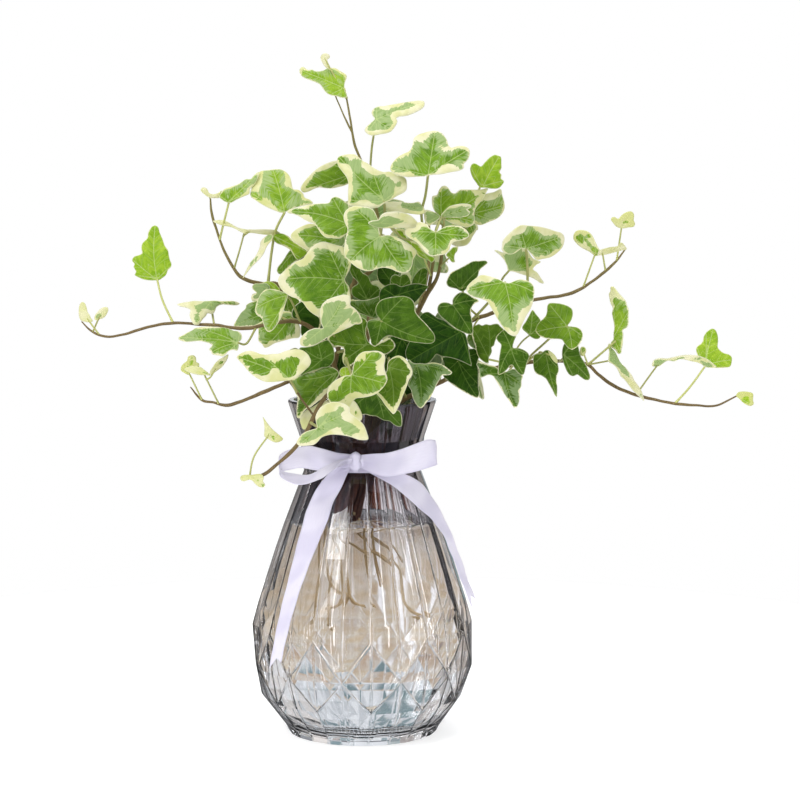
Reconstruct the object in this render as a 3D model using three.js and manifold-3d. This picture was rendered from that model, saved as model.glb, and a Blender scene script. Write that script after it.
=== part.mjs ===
// Variegated ivy standing in a cut-glass vase of water with a satin bow at the neck.
// Millimetres, +Z up. Origin: centre of the vase's flat foot. The bow faces -Y.
import * as THREE from "three";
import { mergeVertices } from "three/addons/utils/BufferGeometryUtils.js";
import Module from "manifold-3d";

// Driving dimensions
const VASE_HEIGHT = 160; // foot to rim
const FOOT_R = 36;
const FACETS = 24; // meridian edges round the vase
const FIRST_EDGE_DEG = 5.4; // first diamond meridian, from the front
const BASE_THICKNESS = 7;
const WATER_LEVEL = 102;
const GAP = 0.3; // clearance between touching pieces
const BLADE = 0.8; // leaf blade thickness
const STEM_SIDES = 5;
const PETIOLE_SIDES = 4;
const RIBBON_THICKNESS = 0.6;
const BAND_LOW = 127.8, BAND_HIGH = 136; // ribbon band round the neck
const OUTLINE_TOLERANCE = 0.9; // leaf outline simplification

const wasm = await Module();
wasm.setup();

// ---------------------------------------------------------------- solids
function solid(geometry) {
  const g = geometry.clone();
  for (const name of Object.keys(g.attributes)) if (name !== "position") g.deleteAttribute(name);
  const m = mergeVertices(g, 1e-4);
  const tri = new Uint32Array(m.index.array);
  const make = () => new wasm.Manifold(new wasm.Mesh({ numProp: 3, vertProperties: new Float32Array(m.attributes.position.array), triVerts: tri }));
  let s = make();
  if (s.volume() < 0) {
    for (let i = 0; i < tri.length; i += 3) [tri[i + 1], tri[i + 2]] = [tri[i + 2], tri[i + 1]];
    s = make();
  }
  return s;
}
function largest(s) {
  const parts = s.decompose();
  return parts.length < 2 ? s : parts.reduce((a, b) => (b.volume() > a.volume() ? b : a));
}
function toGeometry(s) {
  const m = s.getMesh(), n = m.numProp, v = new Float32Array(m.numVert * 3);
  for (let i = 0; i < m.numVert; i++) v.set(m.vertProperties.subarray(i * n, i * n + 3), i * 3);
  const g = new THREE.BufferGeometry().setAttribute("position", new THREE.BufferAttribute(v, 3)).setIndex(new THREE.BufferAttribute(m.triVerts, 1));
  g.computeVertexNormals();
  return g;
}
const overlaps = (a, b) => {
  const p = a.boundingBox(), q = b.boundingBox();
  return [0, 1, 2].every((i) => p.min[i] <= q.max[i] && q.min[i] <= p.max[i]) && a.intersect(b).volume() > 1e-3;
};

// A round section swept along a smooth path; each ring takes the radius that the path has there.
function tube(flat, sides, extra = 0, per = 1) {
  const pts = [], radii = [];
  for (let i = 0; i < flat.length; i += 4) {
    pts.push(new THREE.Vector3(flat[i], flat[i + 1], flat[i + 2]));
    radii.push(flat[i + 3]);
  }
  const path = new THREE.CatmullRomCurve3(pts, false, "centripetal");
  const steps = Math.max(1, Math.round((pts.length - 1) * per));
  const section = new THREE.Shape();
  for (let k = 0; k <= sides; k++) {
    const a = (k * 2 * Math.PI) / sides;
    section[k ? "lineTo" : "moveTo"](Math.cos(a), Math.sin(a));
  }
  // getPointAt samples by length, so the radius is looked up by length too
  const at = (s) => {
    const u = path.getUtoTmapping(s) * (pts.length - 1), i = Math.min(pts.length - 2, Math.floor(u));
    return radii[i] + (radii[i + 1] - radii[i]) * (u - i);
  };
  const g = new THREE.ExtrudeGeometry(section, { steps, extrudePath: path, bevelEnabled: false });
  const centres = [], sizes = [];
  for (let k = 0; k <= steps; k++) {
    centres.push(path.getPointAt(k / steps));
    sizes.push(at(k / steps) + extra);
  }
  const p = g.attributes.position, v = new THREE.Vector3();
  for (let i = 0; i < p.count; i++) {
    v.fromBufferAttribute(p, i);
    let best = 0, bd = Infinity;
    for (let k = 0; k <= steps; k++) {
      const d = Math.abs(v.distanceTo(centres[k]) - 1);
      if (d < bd) (bd = d), (best = k);
    }
    v.sub(centres[best]).multiplyScalar(sizes[best]).add(centres[best]);
    p.setXYZ(i, v.x, v.y, v.z);
  }
  return solid(g);
}

// A flat outline with the blade's thickness, laid in the leaf's own plane and then cupped.
function simplify(q, tol) {
  const n = q.length, keep = new Array(n).fill(false);
  const dist = (p, a, b) => {
    const dx = b[0] - a[0], dy = b[1] - a[1], L = Math.hypot(dx, dy);
    return L < 1e-9 ? Math.hypot(p[0] - a[0], p[1] - a[1]) : Math.abs((p[0] - a[0]) * dy - (p[1] - a[1]) * dx) / L;
  };
  const walk = (i, j) => {
    let m = -1, md = tol;
    for (let k = i + 1; k < j; k++) {
      const d = dist(q[k], q[i], q[j % n]);
      if (d > md) (md = d), (m = k);
    }
    if (m > 0) walk(i, m), (keep[m] = true), walk(m, j);
  };
  let far = 0, fd = -1;
  q.forEach((p, i) => {
    const d = Math.hypot(p[0] - q[0][0], p[1] - q[0][1]);
    if (d > fd) (fd = d), (far = i);
  });
  keep[0] = keep[far] = true;
  walk(0, far);
  walk(far, n);
  return q.filter((_, i) => keep[i]);
}
function grow(q, by) {
  const n = q.length;
  let area = 0;
  q.forEach((p, i) => (area += p[0] * q[(i + 1) % n][1] - q[(i + 1) % n][0] * p[1]));
  const s = Math.sign(area);
  return q.map((p, i) => {
    const a = q[(i + n - 1) % n], b = q[(i + 1) % n];
    const l1 = Math.hypot(p[0] - a[0], p[1] - a[1]), l2 = Math.hypot(b[0] - p[0], b[1] - p[1]);
    const nx = (p[1] - a[1]) / l1 + (b[1] - p[1]) / l2, ny = -(p[0] - a[0]) / l1 - (b[0] - p[0]) / l2, L = Math.max(0.6, Math.hypot(nx, ny));
    return [p[0] + (s * by * 1.3 * nx) / L, p[1] + (s * by * 1.3 * ny) / L];
  });
}
function blade(leaf, extra = 0) {
  const { O, X, N, h, outline } = leaf;
  const Y = new THREE.Vector3().crossVectors(N, X);
  const q = extra ? grow(outline, extra) : outline;
  const shape = new THREE.Shape(q.map((p) => new THREE.Vector2(p[0], p[1])));
  const t = BLADE + 2 * extra;
  const g = new THREE.ExtrudeGeometry(shape, { depth: t, steps: 1, bevelEnabled: false });
  const p = g.attributes.position, v = new THREE.Vector3();
  for (let i = 0; i < p.count; i++) {
    const a = p.getX(i), b = p.getY(i), w = p.getZ(i) - t / 2 + h[0] * Math.abs(b) + h[1] * a * a + h[2] * a * b + h[3] * b * b;
    v.copy(O).addScaledVector(X, a).addScaledVector(Y, b).addScaledVector(N, w);
    p.setXYZ(i, v.x, v.y, v.z);
  }
  return solid(g);
}

// A strip of ribbon: rows of two edge points, smoothed along its length, with its thickness.
function strip(rows, across, perRow, thickness, shift = 0) {
  const A = new THREE.CatmullRomCurve3(rows.map((r) => new THREE.Vector3(r[0], r[1], r[2])), false, "centripetal");
  const B = new THREE.CatmullRomCurve3(rows.map((r) => new THREE.Vector3(r[3], r[4], r[5])), false, "centripetal");
  const along = Math.round((rows.length - 1) * perRow);
  const P = (u, v) => A.getPoint(u).lerp(B.getPoint(u), v);
  const g = new THREE.BoxGeometry(1, 1, 1, across, along, 1);
  const p = g.attributes.position;
  const du = new THREE.Vector3(), dv = new THREE.Vector3(), n = new THREE.Vector3();
  for (let i = 0; i < p.count; i++) {
    const v = p.getX(i) + 0.5, u = p.getY(i) + 0.5, w = p.getZ(i) * thickness + shift;
    du.copy(P(Math.min(1, u + 0.004), v)).sub(P(Math.max(0, u - 0.004), v));
    dv.copy(P(u, 1)).sub(P(u, 0));
    n.crossVectors(du, dv).normalize();
    const c = P(u, v).addScaledVector(n, w);
    p.setXYZ(i, c.x, c.y, c.z);
  }
  return solid(g);
}

// ---------------------------------------------------------------- vase and water
// Heights with the radius on the diamond meridians, the radius on the meridians between, and which diagonal the facet below takes.
const OUTER = [
  [0, FOOT_R, FOOT_R], [2.5, 37, 37], [17.8, 48.7, 47.6], [33, 51.6, 53], [52, 53, 51.4], [63, 50, 49.6],
  [89, 41.6, 41.2], [100, 37.8, 37.4], [126, 28, 27.8], [142, 29.8, 29.6], [VASE_HEIGHT - 1, 35.6, 35.4], [VASE_HEIGHT, 35.4, 35.2],
];
const INNER = [
  [VASE_HEIGHT, 33, 33], [VASE_HEIGHT - 1, 32.4, 32.4], [142, 26.4, 26.4], [126, 24.5, 24.5], [100, 33.6, 33.6], [89, 37.8, 37.8], [63, 46, 46],
  [40, 47.6, 47.6], [20, 43.6, 43.6], [BASE_THICKNESS + 1.5, 35, 35], [BASE_THICKNESS, 31, 31],
];
function revolve(rows, closeLow, closeHigh) {
  const profile = [];
  if (closeLow !== null) profile.push(new THREE.Vector2(0, closeLow));
  rows.forEach((r) => profile.push(new THREE.Vector2(r[1], r[0])));
  if (closeHigh !== null) profile.push(new THREE.Vector2(0, closeHigh));
  const g = new THREE.LatheGeometry(profile, FACETS, THREE.MathUtils.degToRad(FIRST_EDGE_DEG));
  const p = g.attributes.position, n = profile.length, first = closeLow !== null ? 1 : 0;
  for (let m = 0; m <= FACETS; m++)
    for (let k = 0; k < rows.length; k++) {
      const i = m * n + k + first, r = rows[k][1 + (m % 2)], s = rows[k][1];
      p.setXYZ(i, (p.getX(i) * r) / s, p.getY(i), (p.getZ(i) * r) / s);
    }
  // the facets' diagonals run from each diamond's corner to the next one
  const index = [];
  for (let m = 0; m < FACETS; m++)
    for (let k = 0; k < n - 1; k++) {
      const a = m * n + k, b = a + n, c = b + 1, d = a + 1;
      const z = profile[k].y, rising = Math.abs(z - 17.8) < 1 || z < 3;
      const flip = (m % 2 === 0) === rising;
      if (flip) index.push(a, b, c, a, c, d);
      else index.push(a, b, d, b, c, d);
    }
  g.setIndex(index);
  g.rotateX(Math.PI / 2);
  return g;
}
const vaseSolid = solid(revolve([...OUTER, ...INNER], 0, BASE_THICKNESS));

const WATER = [[BASE_THICKNESS + GAP, 30.4, 30.4]];
for (const r of [...INNER].reverse()) if (r[0] > BASE_THICKNESS + 1 && r[0] < WATER_LEVEL - 1) WATER.push([r[0], r[1] - GAP * 1.6, r[1] - GAP * 1.6]);
WATER.push([WATER_LEVEL, 33.2 - GAP * 1.6, 33.2 - GAP * 1.6]);
let waterSolid = solid(revolve(WATER, BASE_THICKNESS + GAP, WATER_LEVEL));

// The bundle of old stems that stands in the neck, and the roots that grow from it into the water.
const BUNDLE = [
  [-7, -12, 140.5, 3.2, -9, -8, 122, 3.4, -13, -5, 104, 2.8, -15, -4, 97, 1.6],
  [1, -14, 139.5, 3.2, -3, -9, 121, 3.6, -8, -6, 106, 3, -9, -5, 98, 1.6],
  [8, -11, 140, 3.2, 3, -8, 121, 3.4, -3, -4, 105, 3, -4, -3, 98, 1.6],
  [-8, -3, 140.5, 3.4, -9, -2, 122, 3.6, -11, 0, 105, 3.2, -12, 1, 97, 1.8],
  [1, -4, 140.5, 4, -2, -3, 122, 4, -6, 0, 105, 3.6, -7, 1, 97, 2],
  [9, -2, 140.5, 3.4, 4, 0, 122, 3.6, -1, 2, 105, 3, -2, 3, 98, 1.6],
  [-3, 6, 140.5, 3.6, -4, 4, 122, 3.6, -7, 4, 105, 3, -8, 5, 98, 1.6],
  [6, 7, 140, 3.2, 3, 5, 122, 3.4, -3, 5, 105, 2.8, -4, 6, 98, 1.4],
  [-12, 4, 139.5, 3, -10, 3, 122, 3.2, -13, 4, 105, 2.6, -14, 5, 99, 1.4],
];
const ROOTS = [
  [[-13.6,-4,106],[-15,-5.1,97.5],[-15.5,-6.3,83.1],[-13.1,-7.4,71.2],[-8.3,-8.6,66.6],[-6.6,-9.7,65.8],[-8.8,-10.9,60.7],[-15.4,-12,59.5]],
  [[-11.8,-2,104.7],[-12.3,-2.3,97],[-11.8,-2.5,91.2],[-8.4,-2.8,85],[-7,-3,75.3],[-6.1,-3.3,68],[-5.1,-3.5,63.2],[-2.7,-3.8,60.3],[3.1,-4,58]],
  [[-8,0,104.5],[-8,-1.1,91.5],[-3.6,-2.2,88.3],[1.7,-3.3,85.1],[8.4,-4.4,81.9],[13.7,-5.6,77.2],[15.1,-6.7,67.7],[16.1,-7.8,61.1],[20.4,-8.9,57],[26.6,-10,55.2]],
  [[-6.1,3,105],[-1.4,4.8,94],[4.9,6.5,88.4],[9.3,8.3,85.1],[13.6,10,77.5]],
  [[-5,-4,106],[0.7,-2.8,100],[1.7,-1.6,96],[2.6,-0.4,84.6],[3.5,0.8,77.1],[5.4,2,67.1]],
  [[-10,2,104.2],[-10.6,5,91],[-11.7,8,75.8],[-13.2,11,60.5],[-12.4,14,45.1]],
];
let rootsSolid = null, rootsCut = null;
for (const b of BUNDLE) {
  const s = tube(b, 6, 0, 1), c = tube(b, 6, GAP + 0.1, 1);
  rootsSolid = rootsSolid ? rootsSolid.add(s) : s;
  rootsCut = rootsCut ? rootsCut.add(c) : c;
}
for (const line of ROOTS) {
  const flat = line.flatMap((q, i) => [...q, i === 0 ? 1.1 : i < line.length - 1 ? 0.55 : 0.35]);
  rootsSolid = rootsSolid.add(tube(flat, 4, 0, 1));
  rootsCut = rootsCut.add(tube(flat, 4, GAP + 0.15, 1));
}
rootsSolid = largest(rootsSolid);
waterSolid = largest(waterSolid.subtract(rootsCut));

// ---------------------------------------------------------------- ribbon
function ring(low, high, gap, thickness) {
  const at = (z, k) => {
    for (let i = 1; i < OUTER.length; i++)
      if (z <= OUTER[i][0]) return OUTER[i - 1][k] + ((OUTER[i][k] - OUTER[i - 1][k]) * (z - OUTER[i - 1][0])) / (OUTER[i][0] - OUTER[i - 1][0]);
  };
  const zs = [low, (low + high) / 2, high];
  const out = zs.map((z) => [z, at(z, 1) + gap + thickness, at(z, 2) + gap + thickness]);
  const inn = [...zs].reverse().map((z) => [z, at(z, 1) + gap, at(z, 2) + gap]);
  return solid(revolve([...out, ...inn, out[0]], null, null));
}
let bandSolid = ring(BAND_LOW, BAND_HIGH, 0.35, 0.8);
const KNOT = { at: [-2.6, -33.6, 133.7], half: [3.3, 3.1, 4.5] };
const knotGeometry = (extra) => new THREE.SphereGeometry(1, 12, 8).scale(KNOT.half[0] + extra, KNOT.half[1] + extra, KNOT.half[2] + extra).translate(...KNOT.at);
const knotSolid = solid(knotGeometry(0)), knotCut = solid(knotGeometry(GAP));
const LOOP_LEFT = [
  [-4.3,-31.5,136.65,-4.24,-34.5,130.93],
  [-10.79,-32,137.64,-10.68,-36,131.35],
  [-16.8,-32.5,139.33,-16.68,-36.5,130.94],
  [-23.71,-33.5,141.07,-23.71,-34.5,130.46],
  [-28.79,-34,140.66,-28.32,-35,130.99],
  [-33.81,-35.5,139.43,-33.31,-37,130.3],
  [-36.91,-38,137.86,-37.24,-41,129.87],
  [-37.93,-40.5,134.9,-36.84,-48,128.89],
  [-35.8,-42,130.68,-33.43,-52,127.1],
  [-29.32,-43,129.05,-28.33,-54,125.98],
  [-23.35,-43,129.19,-23.34,-54,126.21],
  [-17.9,-41,131.26,-18.45,-51,127.89],
  [-12.93,-38,133.91,-12.66,-46.5,131.01],
  [-6.99,-35.5,135.94,-6.88,-40,133.22],
  [-4.22,-35,136.12,-4.16,-38,133.21],
];
const LOOP_RIGHT = [
  [-0.02,-36.5,137.22,-0.03,-36.5,131.17],
  [5.08,-38,137.95,4.61,-38.5,129.09],
  [11.55,-40,138.55,11.09,-41,127.78],
  [18,-42,140.4,17.54,-43,128.73],
  [24.89,-42,142.94,24.43,-43,130.11],
  [30.42,-40,144.76,30.44,-40,131.37],
  [34.17,-36,144.14,34.65,-36.5,132.57],
  [33.78,-32,143.24,34.26,-32,132.5],
  [29.16,-30,142.09,29.17,-30,131.32],
  [20.32,-30.5,139.34,20.33,-30.5,129.98],
  [11.03,-31.5,137.58,11.03,-31.5,129.63],
  [2.21,-31.8,136.21,2.2,-31.8,131.07],
];
const TAIL_LEFT = [
  [-10.89,-29.01,131.2,-4.33,-30.65,130.93],
  [-16.87,-25.25,125.57,-6.22,-29.78,128.01],
  [-22.08,-23.28,118.09,-9.28,-29.41,121.39],
  [-25.71,-23.67,110.24,-13.21,-30.78,114.06],
  [-27.13,-24.92,105.21,-15.64,-32.87,106.38],
  [-31.14,-28.48,90.15,-21.95,-35.58,91.3],
  [-35.07,-31.66,74.62,-27.96,-37.65,75.69],
  [-37.98,-34.13,62.79,-31.62,-39.66,63.85],
  [-40.36,-35.88,50.99,-34.65,-41.38,52.12],
  [-43.12,-32.5,36.38,-37.34,-39,40.17],
];
const TAIL_RIGHT = [
  [2.22,-32.5,133.96,1.28,-32.5,129.75],
  [11.48,-30,131.32,8.23,-31,125.82],
  [20.72,-25,126.71,16.04,-29,120.87],
  [26.01,-19,123.36,23.14,-28,114.62],
  [30.79,-14,118.18,29.25,-25,109.01],
  [35.58,-12,110.5,34.01,-21,103.68],
  [39.69,-11.5,102.76,38.29,-20,97.34],
  [43.71,-11.5,93.15,41.6,-20,89.72],
  [47.53,-12,83.13,45.39,-20.5,80.4],
  [50.87,-12.5,73.58,48.69,-21.5,71.36],
  [53.91,-13.5,65.57,51.99,-22.5,63.42],
];
const ribbon = {
  ribbon_loop_left: [LOOP_LEFT, 1, 1.5],
  ribbon_loop_right: [LOOP_RIGHT, 1, 1.5],
  ribbon_tail_left: [TAIL_LEFT, 2, 1.5],
  ribbon_tail_right: [TAIL_RIGHT, 2, 1.5],
};

// ---------------------------------------------------------------- ivy
// Stems: the vine that each belongs to, then x, y, z, radius along it.
const STEMS = [
 ["fl",[-2.5,-4,144.5,1.3,-4.5,-4.7,151.9,1.3,-7.1,-6.1,159.9,1.3,-10,-7.9,167.4,1.2,-12.9,-10.1,176.2,1.2,-16.4,-13.3,184.5,1.2,-20.5,-17.2,191.7,1.1,-25,-21.8,196.3,1,-30.8,-25.3,198.4,1,-37.5,-27.9,198.3,0.9,-45.3,-27.4,196.8,0.9,-52.1,-25.8,195.3,0.9,-59.7,-23.2,195.3,0.8,-67.9,-19.9,196.4,0.8,-76.4,-17.3,196.6,0.7,-84.4,-15.6,197.2,0.7,-93.2,-15.1,196.7,0.7,-102.8,-15,194.6,0.7,-111.2,-15.9,192,0.6,-120.1,-15.8,190.8,0.6,-126.8,-14.6,193.1,0.5,-132,-12.5,197.7,0.3]],
 ["ul",[-5.1,3,143.8,1.3,-7,3.8,150.7,1.3,-9.8,4.5,159,1.3,-13,5.3,167.1,1.2,-16.5,5.4,174.9,1.2,-20.4,5,182.1,1.2,-24.2,4.1,189.1,1.2,-28,2.7,195.8,1.1,-32.1,1,202,1.1,-36.3,-0.9,207.4,1,-40.4,-2.7,215.1,0.9,-47.4,-4.6,215.3,0.9,-57.1,-7.6,218.5,0.9,-62.5,-8.1,226.1,0.7,-65.8,-8.6,233,0.6,-68.2,-9.1,240.2,0.6,-70.5,-10.2,248.4,0.6,-71.1,-10.6,255.7,0.4]],
 ["ul",[-14.6,5.4,170.9,1.1,-13,3.8,177.7,1.1,-10.7,2,186.6,1,-8.6,-0.7,195.2,1,-6.5,-4.5,204,1,-4.6,-7.9,212.9,1,-2.6,-9.1,221.3,0.9,-1.6,-13.1,229.4,0.7,-1.6,-20.1,236.1,0.6]],
 ["ll",[-6.8,-6,143.8,1.3,-7.7,-6.8,150.6,1.3,-8.5,-8.6,159.6,1.3,-10.3,-10.5,168.2,1.1,-15.3,-10.8,171.4,1,-21.4,-12.5,170.9,1,-26.2,-16.5,170.9,1,-28.9,-22.4,171.1,1,-30.9,-29.1,171.3,1,-33.4,-34.9,171.1,0.9,-40.1,-36.2,168.4,0.9,-47.3,-34.7,165.3,0.9,-54,-31.5,162.3,0.8,-63,-27,159.4,0.8,-69,-23.4,160.4,0.6,-74.8,-20.6,161.3,0.6,-80.4,-18.7,167.3,0.3]],
 ["ll",[-35.4,-33.3,170.7,0.5,-33.6,-35.1,171.1,0.5,-31.4,-43.9,170.3,0.5,-26.1,-50.9,163.6,0.5,-21.4,-47.9,156.7,0.5]],
 ["bl",[-4.7,-14,143.7,1.3,-5.5,-18.2,154.1,1.3,-7.7,-23.4,161.1,1.2,-10.7,-32.7,165.2,1.2,-13.2,-40.7,166.3,1.1,-16.2,-48,164.8,1,-19.5,-51.3,159.8,1,-22.3,-51.5,154,1,-25.9,-51.3,147.2,0.9,-31.6,-51.2,140.3,0.9,-37.8,-50.7,134.8,0.8,-44.3,-49.7,129.7,0.8,-53.7,-48.8,127.3,0.3]],
 ["bl",[-5.5,-18,153.7,0.9,-2.6,-23.9,160.7,0.8,2.3,-31.9,167.9,0.6]],
 ["top",[-0.3,4,142.7,1.4,-0.8,4.7,150.3,1.4,-1.7,5.2,159,1.4,-2.7,5.3,167.2,1.3,-3.6,4.3,176.2,1.3,-4.5,2.1,185.8,1.3,-5.5,0.2,194.5,1.2,-6,-1.9,203.4,1.2,-5.7,-3.8,211.8,1.1,-2.4,-5.8,217.1,1.1,4.4,-8.8,221.5,1.1,8.2,-11.3,227.6,1,9.1,-14.2,235.5,0.9,8.2,-16.9,242.6,0.9,6.8,-18.4,250.7,0.8,4.9,-19.4,258.2,0.8,2.7,-19.9,264.8,0.7,0.3,-20,272,0.6,-3,-19.9,280.1,0.6,-5,-20,291.6,0.5,-6.7,-20,301.4,0.4]],
 ["top",[-4.1,-19.9,285.7,0.5,-7.1,-19,291.6,0.4,-13.2,-16,305.6,0.3]],
 ["cr",[3.1,2,142.9,1.4,4.7,2.8,150.5,1.4,7.3,2.9,159.2,1.4,10.6,2.4,167.5,1.3,14.2,1.4,176,1.3,18,0,184.4,1.3,21.6,-2,191.9,1.2,25,-4.1,198.8,1.2,28,-6,204.8,1.1,30.8,-8.1,210.6,1.1,35.2,-10,217.7,0.9,37.5,-12,228.3,0.8,37.4,-14,236.1,0.7,38.1,-17,242.6,0.6]],
 ["cr",[31.4,-8.4,211.7,0.9,32.6,-10,219.1,0.8,33.5,-12,227.6,0.8,31.1,-16,236.1,0.6,29.2,-21,240.8,0.5]],
 ["ur",[1.8,-6,142.8,1.3,5.7,-5.1,150.5,1.3,10.8,-3.8,158.4,1.3,16.1,-2.2,165,1.2,21.9,-3.6,171.7,1.2,28.2,-5.3,178,1.2,34.2,-7.5,184,1.2,39.9,-10.3,189.4,1.1,45.7,-13.8,194.5,1.1,51.7,-17.8,198.6,1.1,58.8,-21.4,201.3,1,67,-23.3,204.3,0.9,76.2,-22.5,207.3,0.8,85.8,-20.8,209.2,0.8,94.3,-19.1,210.3,0.8,101,-17.4,212.4,0.8,107.4,-15.6,216.2,0.7,114,-14.1,221.1,0.7,119.5,-12.9,226.1,0.6,124.2,-13,232.3,0.3]],
 ["lr",[4.1,-1,142.3,1.3,7.7,-0.4,149.1,1.3,13.5,0.4,155.6,1.3,20.9,1,160.4,1.2,28,0.5,163.6,1.2,35.9,-0.4,167.5,1.1,43.7,-1.4,171,1.1,51.9,-2.8,173,1.1,61.5,-4.8,174.9,1.1,71.2,-6.8,176.8,1,78.4,-9.5,178.2,1,85.5,-11.8,179,0.9,92.5,-13.7,179.2,0.9,99.8,-15.6,178.8,0.8,106,-17.6,177.8,0.8,111.5,-17.5,172.8,0.8,118.6,-17.4,167.7,0.8,128.5,-17.3,163.6,0.8,138.2,-16.6,161.1,0.7,147.9,-15.1,159.1,0.7,158.1,-14.9,158.3,0.6,166.8,-14.8,158.1,0.5,176.9,-14.7,162.8,0.4]],
 ["b1",[-4.3,10,142.1,1.3,-5.1,12.7,150.5,1.3,-6.5,14.5,159.9,1.3,-8.2,15,168.5,1.2,-10.4,17.4,176.9,1.2,-13,21.7,185.2,1.1,-15.4,25.5,193.5,1.1,-17.5,28.8,201.9,1,-19.1,31.5,210.4,1,-20.1,33.7,218.9,0.9,-20.6,35.2,227.6,0.9,-20.6,35.9,236.4,0.8,-19.8,35.7,245.3,0.6,-18.4,34.6,252.7,0.5]],
 ["b1",[-9.5,16.4,173.9,0.9,-13.5,29,173.8,0.9,-18.7,36,175.2,0.8,-26.6,36,175.2,0.7,-32.9,43.2,170.7,0.5]],
 ["b2",[4,10,142.1,1.3,5.7,11.9,148,1.3,8.3,14,155.8,1.3,11.5,14.6,163.7,1.3,15.1,15.8,171.8,1.2,17.9,18.9,178.2,1.2,20.6,22.8,184.6,1.1,23.5,26.3,191.8,1.1,26.5,29.5,199.6,1,29,32.4,207.9,1,31.1,35,216.6,0.9,32.4,36.9,225.9,0.8,32.8,37.4,235.5,0.7,31.8,36,247.8,0.5]],
 ["b2",[15.8,16.4,173.3,0.9,19,28,171.7,0.9,24.4,35.6,172.1,0.8,32.6,38.3,171.4,0.8,41.1,39.5,169,0.6,46,44.6,166.6,0.5]],
 ["b3",[-0.5,14,141.7,1.3,-0.4,17.2,147.6,1.3,-0.1,22,155.6,1.3,0.4,26.5,162,1.3,0.9,31.6,168.9,1.2,1.4,36.9,175.9,1.2,1.7,42.4,183.1,1.1,2,47.5,190.5,1.1,2.3,51.9,197.8,1.1,2.6,55.5,205.3,1,3.2,58.2,213.1,1,4,60,221.4,0.9,4.9,60.8,229.2,0.8,6.9,58.9,244.3,0.6]],
];
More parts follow.
